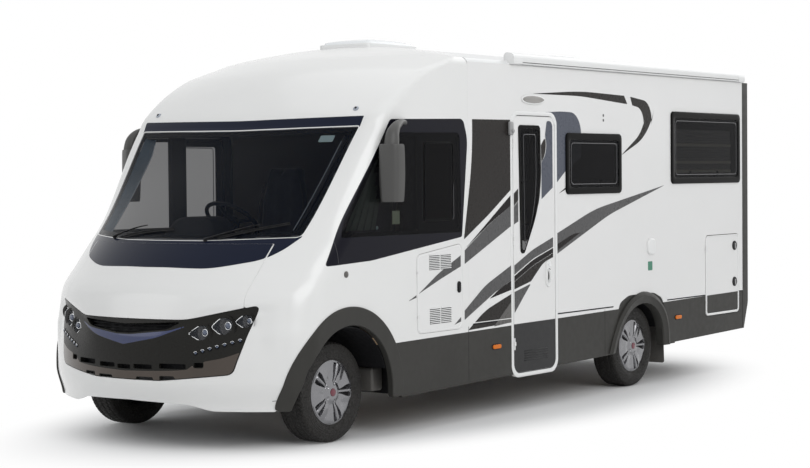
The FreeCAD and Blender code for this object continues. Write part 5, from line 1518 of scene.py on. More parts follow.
@dataclass
class Livery(Side):
    """Decal stripes as films on wall, entrance door, gas locker and rear wall part.

    Attributes:
        wall: Finish and corners (x, z, radius) of the films on the wall ahead of and behind the door.
        over: The same for those that lie on top of them.
        door: The same on the entrance door, or on the plain wall of the side without one.
        gas: The same on the gas locker's door.
        lift: How far a film lies off the wall.
    """
    lift: float = FILM_LIFT
    wall: tuple = (
        (FILM_BROWN, ((-1.485, 2.231, 0.004), (-2.001, 2.236, 0.004), (-2.001, 1.701, 0.004),
                      (-1.700, 1.522, 1.2), (-1.366, 1.344, 0.004), (-1.490, 1.960, 2.2))),
        (FILM_BLACK, ((-1.376, 1.272, 0.001), (-1.687, 1.466, 1.5), (-2.001, 1.662, 0.002),
                      (-2.001, 1.583, 0.002), (-1.700, 1.448, 1.5))),
        (FILM_GREY, ((-1.376, 1.265, 0.002), (-1.687, 1.440, 1.5), (-2.001, 1.583, 0.002),
                     (-2.001, 1.425, 0.002), (-1.374, 1.164, 0.002))),
        (FILM_GREY, ((-1.369, 0.821, 0.002), (-1.640, 0.990, 0.8), (-2.001, 1.127, 0.002),
                     (-2.001, 1.011, 0.002), (-1.780, 0.935, 0.6), (-1.368, 0.752, 0.002))),
        (FILM_BLACK, ((-1.702, 0.888, 0.001), (-1.830, 0.952, 0.5), (-2.001, 1.010, 0.002),
                      (-2.001, 0.939, 0.002))),
        (FILM_BROWN, ((-1.412, 0.672, 0.001), (-1.640, 0.805, 0.8), (-2.001, 0.908, 0.002),
                      (-2.001, 0.690, 0.002))),
        (FILM_BLUE, ((-2.502, 2.304, 0.001), (-2.740, 2.316, 1.5), (-3.052, 2.310, 0.17),
                     (-3.052, 1.950, 0.002), (-2.807, 1.842, 0.002), (-2.664, 1.745, 0.002),
                     (-2.664, 2.250, 0.07))),
        (FILM_BLACK, ((-2.690, 1.660, 0.001), (-2.810, 1.712, 0.002), (-2.810, 1.698, 0.001))),
        (FILM_GREY, ((-2.664, 1.347, 0.002), (-3.260, 1.530, 2.5), (-4.469, 1.716, 0.001),
                     (-3.500, 1.480, 2.5), (-2.664, 1.184, 0.002))),
        (FILM_BROWN, ((-2.302, 2.444, 0.001), (-3.050, 2.486, 6.0), (-3.757, 2.470, 0.004),
                      (-3.815, 2.400, 0.004), (-3.050, 2.446, 5.0))),
        (FILM_BROWN, ((-3.860, 2.465, 0.004), (-4.300, 2.420, 0.16), (-4.190, 2.150, 0.55),
                      (-3.693, 1.966, 0.002), (-4.070, 2.170, 0.35), (-4.135, 2.360, 0.13),
                      (-3.897, 2.393, 0.004))),
    )
    over: tuple = (
        (FILM_LIGHT, ((-1.758, 0.676, 0.001), (-2.001, 0.850, 0.002), (-2.001, 0.692, 0.002))),
        (FILM_BLACK, ((-2.664, 1.260, 0.002), (-2.961, 1.352, 0.5), (-3.028, 1.344, 0.001),
                      (-2.664, 1.209, 0.002))),
    )
    door: tuple = (
        (FILM_BROWN, ((-2.046, 1.674, 0.001), (-2.108, 1.711, 0.001), (-2.108, 1.620, 0.001),
                      (-2.046, 1.576, 0.001))),
        (FILM_GREY, ((-2.046, 1.571, 0.001), (-2.108, 1.615, 0.001), (-2.108, 1.460, 0.001),
                     (-2.046, 1.437, 0.001))),
        (FILM_BROWN, ((-2.440, 2.045, 0.001), (-2.500, 2.110, 0.02), (-2.548, 2.010, 0.16),
                      (-2.446, 1.915, 0.001))),
        (FILM_BLUE, ((-2.527, 2.235, 0.02), (-2.612, 2.240, 0.05), (-2.612, 1.714, 0.002),
                     (-2.446, 1.624, 0.002), (-2.446, 1.912, 0.002), (-2.566, 2.020, 0.15),
                     (-2.500, 2.120, 0.05))),
        (FILM_GREY, ((-2.046, 1.123, 0.001), (-2.311, 1.235, 1.0), (-2.612, 1.322, 0.002),
                     (-2.612, 1.245, 0.002), (-2.310, 1.163, 1.0), (-2.046, 1.052, 0.002))),
        (FILM_BLACK, ((-2.046, 1.042, 0.001), (-2.310, 1.155, 1.0), (-2.612, 1.238, 0.002),
                      (-2.612, 1.200, 0.002), (-2.310, 1.110, 1.0), (-2.046, 1.000, 0.002))),
        (FILM_BROWN, ((-2.046, 0.998, 0.001), (-2.310, 1.108, 1.0), (-2.612, 1.198, 0.002),
                      (-2.612, 1.164, 0.002), (-2.470, 1.130, 0.3), (-2.283, 0.990, 0.03),
                      (-2.046, 0.940, 0.002))),
        (FILM_GREY, ((-2.046, 0.920, 0.001), (-2.283, 0.972, 0.004), (-2.180, 0.880, 0.8),
                     (-2.046, 0.757, 0.002))),
    )
    gas: tuple = (
        (FILM_GREY, ((-0.786, 0.974, 0.001), (-1.040, 1.112, 1.0), (-1.325, 1.232, 0.002),
                     (-1.325, 1.150, 0.002), (-1.054, 1.066, 1.0))),
        (FILM_GREY, ((-1.234, 0.725, 0.001), (-1.322, 0.778, 0.002), (-1.322, 0.745, 0.002))),
    )

    def build(self) -> None:
        """Lays the films on the bodies that carry them."""
        root = Piece(f"stripes_{self.tag}", Body.ROOT.value)
        self.lay(root, self.wall, self.lift)
        self.lay(root, self.over, self.lift + 0.0004)
        tip = ((FILM_GREY, ((-0.661, 0.930, 0.001), (-0.765, 0.970, 0.001), (-0.765, 0.952, 0.001))),)
        self.lay(root, tip, self.lift)
        if self.left:
            for name, body, films in (("door", Body.ENTRANCE, self.door), ("gas", Body.GAS, self.gas)):
                piece = Piece(f"stripes_{name}", body.value)
                self.lay(piece, films, self.lift)
                piece.make()
        else:
            self.lay(root, self.door[:2] + self.door[3:] + self.gas, self.lift)
        root.make()

    def lay(self, piece: Piece, films: tuple, lift: float) -> None:
        """Adds films to a piece at one height."""
        for finish, corners in films:
            add_film(piece, rounded_loop(corners, 0.012), self.at(lift), finish)


@dataclass
class Windows(Side):
    """Top-hung windows: black frame, tinted pane, inner frame line, a black sheet behind as painted shade,
    blind and latches.

    Attributes:
        panes: Each window's x0, x1, z0, z1.
        lip: How far the frame reaches past the hole.
        proud: How far it stands off the wall.
        corner: Radius of its corners.
        border: Width of its black border.
    """
    panes: tuple = ((-3.687, -2.816, 1.666, 2.138), (-5.913, -4.585, 1.734, 2.348))
    lip: float = 0.010
    proud: float = 0.012
    corner: float = 0.042
    border: float = 0.052

    def build(self) -> None:
        """Makes both windows of the side as one piece."""
        piece = Piece(f"windows_{self.tag}", Body.ROOT.value)
        for pane in self.panes:
            self.window(piece, pane)
        piece.make(replaces=("side_windows",) if self.left else ())

    def blind(self, piece: Piece, area: tuple[float, float, float, float]) -> None:
        """Pleated blind behind the pane with cream rails: its surface zigzags with the height."""
        x0, x1, z0, z1 = area
        rows = np.arange(z0, z1, 0.011)
        x = np.array((x0, x1))
        zig = np.stack([self.at(-0.030)(x, np.full(2, z), 0.004 * (i % 2)) for i, z in enumerate(rows)])
        piece.grid(zig if self.hand > 0 else zig[:, ::-1], BLIND)
        for share, high in ((0.0, 0.028), (0.21, 0.024), (0.60, 0.026)):
            z = z0 + share * (z1 - z0)
            self.plate(piece, (x0, x1, z, z + high), 0.004, -0.024, 0.005, CREAM_BAND, 0.001)

    def window(self, piece: Piece, pane: tuple[float, float, float, float]) -> None:
        """One window: rolled border, pane set in it, a lighter inner line, a black sheet behind it as painted
        shade of the room, blind and two latches.
        """
        x0, x1, z0, z1 = pane
        by, edge = self.lip, self.border
        outer = rounded_loop(oblong(x0 - by, x1 + by, z0 - by, z1 + by, self.corner))
        place = self.at(self.proud)
        section = ((0.002, self.proud + 0.030), (0.0, self.proud), (0.0, 0.004), (0.0012, 0.0012),
                   (0.004, 0.0), (edge, 0.0), (edge + 0.002, 0.001), (edge + 0.003, 0.004),
                   (edge + 0.003, 0.042))
        add_rim(piece, outer, section, place, PANE_BORDER)
        inner = drawn_in(outer, edge + 0.002)
        add_slab(piece, inner, self.at(self.proud - 0.0035), 0.004, ACRYLIC)
        line = drawn_in(outer, edge + 0.026)
        add_rim(piece, line, ((0.0, 0.0), (0.0015, -0.0012), (0.004, -0.0012), (0.0055, 0.0)),
                self.at(self.proud - 0.0036), LINE_GREY)
        # Black sheet behind the pane: painted shade standing in for the dim room inside.
        add_film(piece, drawn_in(outer, 0.02), self.at(-0.040), MATT_BLACK)
        if z1 - z0 > 0.5:
            self.blind(piece, (x0 + 0.115, x1 - 0.105, z0 + 0.085, z1 - 0.135))
        for x in (x0 + 0.30 * (x1 - x0), x1 - 0.30 * (x1 - x0)):
            self.block(piece, (x - 0.016, z0 + edge + 0.004, -0.040), (x + 0.016, z0 + edge + 0.052, -0.018),
                       0.004, MATT_BLACK)


@dataclass
class Entrance(Side):
    """Trim of the entrance door and the fittings round it.

    Attributes:
        leaf: Door's x0, x1, z0, z1.
        glass: Corners of the door's window.
        handle: Middle of the handle's plate.
        porch: Middle and half sizes of the oval porch lamp.
    """
    leaf: tuple = (-2.638, -2.036, 0.296, 2.268)
    glass: tuple = ((-2.149, 1.146, 0.03), (-2.125, 2.185, 0.03), (-2.412, 2.185, 0.03), (-2.428, 1.630, 0.9))
    handle: tuple[float, float] = (-2.535, 1.040)
    porch: tuple[float, float, float, float] = (-2.318, 2.398, 0.150, 0.028)

    def build(self) -> None:
        """Makes the door's trim, its frame's seal, the porch lamp and the catch."""
        self.trim()
        self.round_door()

    def trim(self) -> None:
        """Window with a black border, lower grey panel, handle, lock and the bead round the door's edge."""
        piece = Piece("door_trim", Body.ENTRANCE.value)
        x0, x1, z0, z1 = self.leaf
        loop = rounded_loop(self.glass)
        place = self.at(0.006)
        add_rim(piece, drawn_in(loop, -0.014),
                ((0.0, 0.0055), (0.0, 0.002), (0.002, 0.0), (0.024, 0.0), (0.026, 0.002),
                 (0.026, 0.030)), place, PANE_BORDER)
        add_slab(piece, drawn_in(loop, 0.008), self.at(0.0035), 0.004, ACRYLIC)
        line = drawn_in(loop, 0.055)
        add_rim(piece, line, ((0.0, 0.0), (0.0015, -0.0010), (0.0035, -0.0010), (0.005, 0.0)),
                self.at(0.0035), LINE_GREY)
        foot = rounded_loop(((x0 + 0.001, z0 + 0.001, 0.068), (x1 - 0.001, z0 + 0.001, 0.068),
                             (x1 - 0.001, 0.672, 0.0), (x0 + 0.001, 0.676, 0.0)))
        add_slab(piece, foot, self.at(0.002), 0.002, DOOR_FOOT, 0.0012)
        for z in np.linspace(0.378, 0.452, 5):
            rib = [(-2.52, z + 0.003), (-2.18, z), (-2.18, z + 0.007), (-2.52, z + 0.010)]
            add_slab(piece, rounded_loop([(x, h, 0.003) for x, h in rib]), self.at(0.006), 0.0045, DOOR_FOOT,
                     0.003)
        a, b = self.handle
        self.plate(piece, (a - 0.036, a + 0.036, b - 0.105, b + 0.105), 0.034, 0.010, 0.010, FRAME_WHITE,
                   0.006)
        self.film(piece, (a - 0.020, a + 0.014, b - 0.072, b + 0.040), 0.014, MATT_BLACK, 0.0104)
        pull = np.array(((0.016, 0.012, 0.030), (0.016, 0.028, 0.012), (0.014, 0.030, -0.040),
                         (0.014, 0.012, -0.066)))
        path = smooth_path(pull + (a + self.form.front_axle, self.form.half, b), 24)
        add_tube(piece, path, 0.010, FRAME_WHITE, 14, flat=0.7, up=(1.0, 0.0, 0.0))
        lock = self.spot(a - 0.004, b + 0.068, 0.010)
        add_turned(piece, ((0.013, -0.001), (0.013, 0.004), (0.010, 0.006), (0.001, 0.006)), lock, (0, 1, 0),
                   CHROME, 28)
        edge = rounded_loop(oblong(x0 + 0.0005, x1 - 0.0005, z0 + 0.0005, z1 - 0.0005, 0.07))
        add_rim(piece, edge, ((0.0, 0.006), (0.0, 0.001), (0.001, -0.0012), (0.004, -0.0012),
                              (0.005, 0.0006)),
                self.at(0.0), SHELL_WHITE)
        piece.make(replaces=("door_window",))

    def round_door(self) -> None:
        """Rolled white frame with a dark seal, oval porch lamp and door catch."""
        piece = Piece("door_surround", Body.ROOT.value)
        x0, x1, z0, z1 = self.leaf
        loop = rounded_loop(oblong(x0 - 0.034, x1 + 0.034, z0 - 0.034, z1 + 0.034, 0.10))
        add_rim(piece, loop, ((-0.002, 0.008), (-0.002, 0.002), (0.001, -0.001), (0.006, -0.002),
                              (0.021, -0.002), (0.026, 0.001), (0.027, 0.010)), self.at(0.003), FRAME_WHITE)
        seal = rounded_loop(oblong(x0 - 0.005, x1 + 0.005, z0 - 0.005, z1 + 0.005, 0.074))
        add_rim(piece, seal, ((0.0, 0.0), (0.0045, 0.0)), self.at(-0.006), RUBBER)
        angle = np.linspace(0, 2 * math.pi, 60, endpoint=False)
        a, b, half_a, half_b = self.porch
        oval = np.stack([a + half_a * np.cos(angle), b + half_b * np.sin(angle)], -1)
        add_slab(piece, grown(oval, 0.010), self.at(0.012), 0.012, FRAME_WHITE, 0.005)
        add_slab(piece, oval, self.at(0.020), 0.010, LAMP_OPAL, 0.008, 3)
        self.block(piece, (-2.010, 2.118, 0.0), (-1.962, 2.222, 0.034), 0.014, LIGHT_PLASTIC)
        knob = self.spot(-1.986, 2.150, 0.034)
        add_turned(piece, ((0.016, -0.01), (0.016, 0.008), (0.011, 0.013), (0.001, 0.014)), knob, (0, 1, 0),
                   LIGHT_PLASTIC, 24)
        piece.make()


@dataclass
class Fittings(Side):
    """Louvres, latches, locks, side lamps and inlets on a side.

    Attributes:
        lamps: Middle of each amber side lamp.
        spans: Where the skirt's top shows, as pairs of x. The right side's first span takes up the first two.
        dark: Lowest and highest edge of the dark strip over the skirt.
        bright: Those of the bead over it.
        joints: x of the skirt's joints.
        gas_door: Corners of the gas locker door's rim.
        rear_door: Rear locker door's x0, x1, z0, z1.
        grey: Height of that door's grey part, at its front and its rear.
    """
    lamps: tuple = ((-1.791, 0.522), (-4.699, 0.550))
    spans: tuple = ((-1.475, -2.000), (-2.674, -3.560), (-4.500, -5.226), (-5.904, -5.983))
    dark: tuple[float, float] = (0.7065, 0.7165)
    # dark: Lowest and highest edge of the black strip over the skirt, a painted shadow of the gap under its
    # bead.
    bright: tuple[float, float] = (0.7185, 0.7245)
    joints: tuple[float, float] = (-1.42, -3.42)
    gas_door: tuple = ((-1.330, 0.700, 0.040), (-0.783, 0.700, 0.040), (-0.783, 1.245, 0.040),
                       (-1.330, 1.309, 0.040))
    rear_door: tuple[float, float, float, float] = (-5.900, -5.230, 0.522, 1.247)
    grey: tuple[float, float] = (0.706, 0.712)

    def build(self) -> None:
        """Makes the fittings of wall, gas locker and rear locker."""
        self.wall()
        if self.left:
            self.gas()
        self.rear()

    def wall(self) -> None:
        """Inlet, label, vents, amber side lamps, the skirt's bead with a painted shadow strip under it, and
        the skirt's joints.
        """
        piece = Piece(f"side_fittings_{self.tag}", Body.ROOT.value)
        if self.left:
            self.plate(piece, (-4.275, -4.140, 1.120, 1.262), 0.05, 0.020, 0.020, FRAME_WHITE, 0.016)
            self.film(piece, (-4.236, -4.156, 0.985, 1.063), 0.008, LABEL_GREEN)
            for z in (2.258, 2.298):
                self.film(piece, (-3.422, -3.400, z - 0.011, z + 0.011), 0.004, FILM_GREY)
        else:
            for x in (-3.05, -3.45):
                self.vent(piece, x)
            flap = rounded_loop(oblong(-4.60, -4.20, 0.86, 1.20, 0.04))
            add_rim(piece, flap, ((0.0, 0.001), (0.0, -0.002), (0.004, -0.004), (0.012, -0.003),
                                  (0.014, 0.0)),
                    self.at(0.0), FRAME_WHITE)
        for x, z in self.lamps:
            lens = rounded_loop(oblong(x - 0.055, x + 0.055, z - 0.016, z + 0.016, 0.014))
            add_slab(piece, grown(lens, 0.005), self.at(0.004), 0.004, MATT_BLACK, 0.002)
            add_slab(piece, lens, self.at(0.011), 0.008, AMBER, 0.004)
        spans = self.spans if self.left else ((self.spans[0][0], self.spans[1][1]), *self.spans[2:])
        for x0, x1 in spans:
            # Black film under the bead: painted shadow of the gap along the skirt's top.
            self.film(piece, (x0, x1, *self.dark), 0.0, MATT_BLACK, 0.0007)
            self.plate(piece, (x0, x1, *self.bright), 0.0, 0.003, 0.003, FRAME_WHITE, 0.001)
        for x in self.joints:
            self.film(piece, (x, x + 0.004, 0.30, 0.70), 0.0, MATT_BLACK)
        piece.make()

    def louvres(self, piece: Piece, x0: float, x1: float, z0: float, z1: float, rows: int = 9) -> None:
        """Rows of louvres: a dark slot under a rounded lip, in two columns."""
        pitch = (z1 - z0) / rows
        middle = (x0 + x1) / 2
        for a, b in ((x0, middle - 0.006), (middle + 0.006, x1)):
            for i in range(rows):
                z = z0 + pitch * i
                self.film(piece, (a, b, z, z + pitch * 0.45), 0.0, MATT_BLACK, 0.0005)
                self.block(piece, (a, z + pitch * 0.40, -0.001), (b, z + pitch * 0.92, 0.006), 0.0025,
                           FRAME_WHITE, 2)

    def vent(self, piece: Piece, x: float) -> None:
        """Fridge vent: a rounded plate with two columns of louvres."""
        self.plate(piece, (x - 0.17, x + 0.17, 0.93, 1.19), 0.02, 0.004, 0.004, FRAME_WHITE, 0.003)
        self.louvres(piece, x - 0.145, x + 0.145, 0.955, 1.165, 8)

    def gas(self) -> None:
        """Louvres, latch and the rolled frame of the gas locker's door."""
        piece = Piece("gas_door_trim", Body.GAS.value)
        self.louvres(piece, -1.197, -0.925, 1.139, 1.250)
        self.louvres(piece, -1.198, -0.928, 0.750, 0.866)
        self.latch(piece, -1.297, 1.000)
        section = ((0.0, 0.0005), (0.0, -0.001), (0.002, -0.002), (0.006, -0.002), (0.008, 0.0005))
        add_rim(piece, rounded_loop(self.gas_door), section, self.at(0.0), FRAME_WHITE)
        piece.make()

    def latch(self, piece: Piece, x: float, z: float) -> None:
        """Black oval compression latch with a raised paddle."""
        self.plate(piece, (x - 0.022, x + 0.022, z - 0.042, z + 0.042), 0.021, 0.008, 0.008, MATT_BLACK,
                   0.004)
        self.plate(piece, (x - 0.013, x + 0.013, z - 0.030, z + 0.014), 0.012, 0.013, 0.006, RUBBER, 0.003)

    def rear(self) -> None:
        """Rear locker's door: grey lower part, edge bead and two round locks."""
        piece = Piece(f"rear_locker_trim_{self.tag}", self.locker.value)
        x0, x1, z0, z1 = self.rear_door
        ahead, behind = self.grey
        foot = rounded_loop(((x0 + 0.001, z0 + 0.001, 0.044), (x1 - 0.001, z0 + 0.001, 0.044),
                             (x1 - 0.001, ahead, 0.0), (x0 + 0.001, behind, 0.0)))
        add_slab(piece, foot, self.at(0.002), 0.002, TRIM_GREY, 0.0012)
        edge = rounded_loop(oblong(x0 + 0.001, x1 - 0.001, z0 + 0.001, z1 - 0.001, 0.044))
        add_rim(piece, edge, ((0.0, 0.0), (0.0, -0.003), (0.002, -0.005), (0.007, -0.005), (0.010, 0.0)),
                self.at(0.0), FRAME_WHITE)
        rail = rounded_loop(((x0 + 0.011, behind, 0.0), (x0 + 0.011, z0 + 0.011, 0.034),
                             (x1 - 0.011, z0 + 0.011, 0.034), (x1 - 0.011, behind, 0.0)))
        add_tube(piece, self.at(0.002)(*rail.T, 0.0), 0.0105, FRAME_WHITE, 12, flat=0.6,
                 up=(0.0, self.hand, 0.0))
        for z in (z0 + 0.285, z1 - 0.105):
            lock = self.spot(x0 + 0.085, z)
            add_turned(piece, ((0.043, -0.001), (0.043, 0.005), (0.038, 0.009), (0.015, 0.010),
                               (0.001, 0.010)), lock,
                       (0, self.hand, 0), RUBBER, 36)
            self.plate(piece, (x0 + 0.078, x0 + 0.094, z - 0.030, z + 0.024), 0.007, 0.016, 0.007,
                       LIGHT_PLASTIC, 0.003)
        piece.make()


# ====================================================================== wheels
@dataclass
class Wheel:
    """Tyre with its tread and hubcap with paired slots, turned about the wheel's own axle.

    Attributes:
        end: front or rear.
        side: left or right.
        bead: Radius of the tyre's bead.
        cap: Radius of the hubcap.
        pairs: How many pairs of slots the hubcap has.
        pitches: How many tread blocks go round.
        grooves: Places of the tread's grooves as shares of its half width.
    """
    end: str
    side: str
    bead: float = 0.205
    cap: float = 0.222
    pairs: int = 5
    pitches: int = 64
    grooves: tuple[float, ...] = (-0.52, -0.02, 0.48)

    def __post_init__(self) -> None:
        """Reads the wheel's place and size from its tyre."""
        low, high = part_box(f"tyre_{self.end}_{self.side}")
        self.centre = np.array((low + high) / 2)
        self.radius, self.half = (high.z - low.z) / 2, (high.y - low.y) / 2
        self.out = 1.0 if self.side == "left" else -1.0
        self.body = f"wheel_{self.end}_{self.side}"

    def place(self, radius: Array, across: Array, angle: Array) -> Array:
        """Points at a radius, a distance outwards along the axle and an angle from the front."""
        x = self.centre[0] + radius * np.cos(angle)
        y = self.centre[1] + self.out * across + 0.0 * angle
        return np.stack(np.broadcast_arrays(x, y, self.centre[2] + radius * np.sin(angle)), -1)

    def build(self) -> None:
        """Makes tyre and hubcap."""
        self.tyre()
        self.hubcap()

    def turned(self, piece: Piece, points: Array, finish: Finish) -> None:
        """Adds a grid whose rows run outwards along the axle and whose columns go round."""
        piece.grid(points if self.out > 0 else points[::-1], finish, False, True)

    def tyre(self) -> None:
        """Carcass with sidewall ribs and a tread cut by grooves and slanted sipes.

        The radius is a smooth curve over the width; each groove lowers it by a rounded notch and
        each sipe by a narrow notch where the angle plus a slant is a whole number of pitches.
        """
        half, radius, bead = self.half, self.radius, self.bead
        across = np.array((-0.73, -0.80, -0.97, -1.0, -0.93, -0.83, -0.62, 0.0, 0.62, 0.83, 0.93, 1.0, 0.97,
                           0.80, 0.73)) * half
        height = np.array((0.0, 0.06, 0.35, 0.55, 0.87, 0.955, 0.99, 1.0, 0.99, 0.955, 0.87, 0.55, 0.35,
                           0.06, 0.0))
        line = smooth_path(np.column_stack([across, bead + (radius - bead) * height]), 130)
        angle = np.linspace(0, 2 * math.pi, self.pitches * 6, endpoint=False)
        share = line[:, 0] / half
        tread = ramp(line[:, 1], radius * 0.955, radius * 0.972)
        cut = sum(np.exp(-((share - g) / 0.035) ** 2) for g in self.grooves)
        slant = self.pitches / (2 * math.pi) * angle[None] + 2.6 * np.abs(share)[:, None] ** 1.5
        notch = 1 - ramp(np.abs(slant - np.round(slant)), 0.05, 0.13)
        shoulder = ramp(np.abs(share), 0.60, 0.66) + 0.55 * (1 - ramp(np.abs(share), 0.48, 0.56))
        depth = 0.008 * tread[:, None] * np.clip(cut[:, None] + notch * shoulder[:, None], 0, 1)
        wall = ramp(-line[:, 1], -radius * 0.93, -radius * 0.88)
        ribs = 0.0012 * np.sin(line[:, 1] / radius * 160.0) * wall
        grid = self.place(line[:, 1][:, None] - depth, (line[:, 0] + np.sign(share) * ribs)[:, None],
                          angle[None])
        piece = Piece(f"tyre_{self.end}_{self.side}_tread", self.body)
        self.turned(piece, grid, TYRE)
        piece.make(replaces=(f"tyre_{self.end}_{self.side}",))

    def hubcap(self) -> None:
        """Silver cap on the rim: a shallow dish with wide panels, pairs of slots and raised bars between.

        The face's height is a smooth curve of the radius; near a slot it falls away by a rounded
        step whose edge is the slot's own outline, and the bars stand proud of the dish.
        """
        piece = Piece(f"hubcap_{self.end}_{self.side}", self.body)
        face = self.half - 0.006
        radius = np.concatenate([np.linspace(0.028, 0.085, 12), np.linspace(0.09, self.cap - 0.006, 46)])
        angle = np.linspace(0, 2 * math.pi, 360, endpoint=False)
        r, a = np.meshgrid(radius, angle, indexing="ij")
        height = smooth_curve((0.0, 0.05, 0.085, 0.13, 0.19, 0.216, 0.222),
                              (0.006, 0.004, -0.006, -0.001, 0.0, -0.004, -0.012), r)
        turn = (a * self.pairs / (2 * math.pi)) % 1.0 - 0.5
        bar = np.abs(turn) * 2 * math.pi / self.pairs * r
        middle = 0.010 + 0.013 * ramp(r, 0.07, 0.19)
        width = 0.0035 + 0.0105 * ramp(r, 0.08, 0.19)
        reach = np.minimum((r - 0.080) * 0.6, (0.203 - r) * 0.9)
        inside = np.minimum(width - np.abs(bar - middle - width * 0.4), reach)
        height = height - 0.022 * ramp(inside, -0.001, 0.003) - 0.007 * ramp(bar, 0.036, 0.10)
        proud = ramp(r, 0.075, 0.11) * (1 - ramp(r, 0.195, 0.21))
        height = height + 0.0060 * (1 - ramp(bar, 0.005, 0.012)) * proud
        nuts = np.hypot(r * np.cos(turn * 2 * math.pi / self.pairs) - 0.062, bar) - 0.010
        height = height - 0.006 * (1 - ramp(nuts, -0.002, 0.002))
        self.turned(piece, self.place(r, face + height, a)[::-1], SILVER)
        dark = inside > 0.0018
        hole = self.place(r, face + height + 0.0006, a)
        faces = grid_faces(len(radius), len(angle), wrap_columns=True)
        faces = faces[dark.ravel()[faces].all(1)]
        piece.add(hole, faces[:, ::-1] if self.out > 0 else faces, MATT_BLACK)
        middle = self.centre + np.array((0.0, self.out * face, 0.0))
        for profile, finish, sides in (
                (((0.0, 0.012), (0.018, 0.0115), (0.026, 0.009), (0.0285, 0.004), (0.0285, -0.002)),
                 BADGE_RED, 40),
                (((self.cap - 0.0065, -0.0075), (self.cap - 0.002, -0.009), (self.cap, -0.013),
                  (self.cap - 0.001, -0.024), (self.cap - 0.012, -0.026), (self.cap - 0.016, -0.05)), SILVER,
                 120),
                (((self.cap - 0.016, -0.05), (0.196, -0.055), (0.193, -0.10), (0.193, -0.190),
                  (0.205, -0.196), (0.205, -0.080), (self.cap - 0.012, -0.026)), STEEL, 72),
                (((0.194, -0.100), (0.140, -0.085), (0.085, -0.070), (0.030, -0.070), (0.030, -0.145),
                  (0.085, -0.145), (0.095, -0.100), (0.150, -0.100), (0.194, -0.112)), STEEL, 72)):
            add_turned(piece, profile, middle, (0, self.out, 0), finish, sides)
        piece.make(40, replaces=(f"rim_{self.end}_{self.side}",))


# ====================================================================== outside fittings
@dataclass
class Mirror:
    """Hanging mirror: a curved arm from the side panel's top and a tall housing that tapers to its foot.

    Attributes:
        form: The body's form.
        hand: 1 on the left, -1 on the right.
        plan: Housing's plan as x from the front axle, reach out from the side and radius.
        route: Arm's middle line as x, reach out, z and half width.
    """
    form: BodyForm
    hand: int
    plan: tuple = ((-0.283, 0.015, 0.028), (-0.345, 0.148, 0.045), (-0.455, 0.148, 0.016),
                   (-0.430, 0.015, 0.016))
    route: tuple = ((-0.375, 0.080, 2.000, 0.056), (-0.384, 0.080, 2.060, 0.054),
                    (-0.400, 0.076, 2.110, 0.048), (-0.450, 0.066, 2.158, 0.036),
                    (-0.540, 0.042, 2.190, 0.024), (-0.610, 0.016, 2.195, 0.018),
                    (-0.655, -0.006, 2.190, 0.018))

    def build(self) -> None:
        """Housing, glass and arm as one piece."""
        piece = Piece("mirror_left" if self.hand > 0 else "mirror_right", Body.ROOT.value)
        low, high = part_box("mirrors")
        self.base, self.top = low.z, low.z + 0.400
        self.housing(piece)
        route = np.array(self.route)
        path = smooth_path(np.column_stack([route[:, 0] + self.form.front_axle,
                                            (self.form.half + route[:, 1]) * self.hand, route[:, 2]]), 44)
        radius = smooth_path(route[:, 3:], 44)[:, 0]
        add_tube(piece, path, radius, MIRROR_GREY, 28, flat=0.9, up=(0.0, 1.0, 0.0))
        piece.make(40, replaces=("mirrors",) if self.hand > 0 else ())

    def housing(self, piece: Piece) -> None:
        """Housing as copies of its plan stacked over the height, drawn in at top and foot, and its glass.

        At share t of the height the plan is shrunk to its middle by a smooth curve of t.
        """
        loop = rounded_loop(self.plan, 0.006)
        middle = loop.mean(0)
        t = np.array((0.0, 0.003, 0.012, 0.035, 0.10, 0.25, 0.45, 0.65, 0.82, 0.93, 0.975, 0.993, 1.0))
        scale = smooth_curve((0.0, 0.003, 0.012, 0.035, 0.25, 0.5, 0.8, 0.95, 0.975, 0.993, 1.0),
                             (0.78, 0.84, 0.875, 0.90, 0.965, 1.0, 0.985, 0.96, 0.95, 0.92, 0.84), t)
        plan = middle + (loop - middle) * scale[:, None, None]
        x = plan[..., 0] + self.form.front_axle
        y = (plan[..., 1] + self.form.half) * self.hand
        z = np.repeat((self.base + (self.top - self.base) * t)[:, None], len(loop), 1)
        points = np.stack([x, y, z], -1)
        turn = np.cross(loop - middle, np.roll(loop, -1, 0) - middle).sum() * self.hand
        if turn < 0:
            points = points[:, ::-1]
        piece.grid(points, MIRROR_GREY, False, True)
        piece.close(points[0][::-1], MIRROR_GREY)
        piece.close(points[-1], MIRROR_GREY)
        (x0, out0, _), (x1, out1, _) = self.plan[3], self.plan[2]
        glass = rounded_loop(oblong(0.14, 0.86, 0.05, 0.93, 0.04), 0.04)

        def place(a: Array, b: Array, d: float) -> Array:
            reach = self.form.half + out0 + (out1 - out0) * a
            return np.stack([self.form.front_axle + x0 + (x1 - x0) * a - 0.0012 + d, reach * self.hand,
                             self.base + (self.top - self.base) * b], -1)
        add_slab(piece, glass, place, 0.01, MIRROR_GLASS)


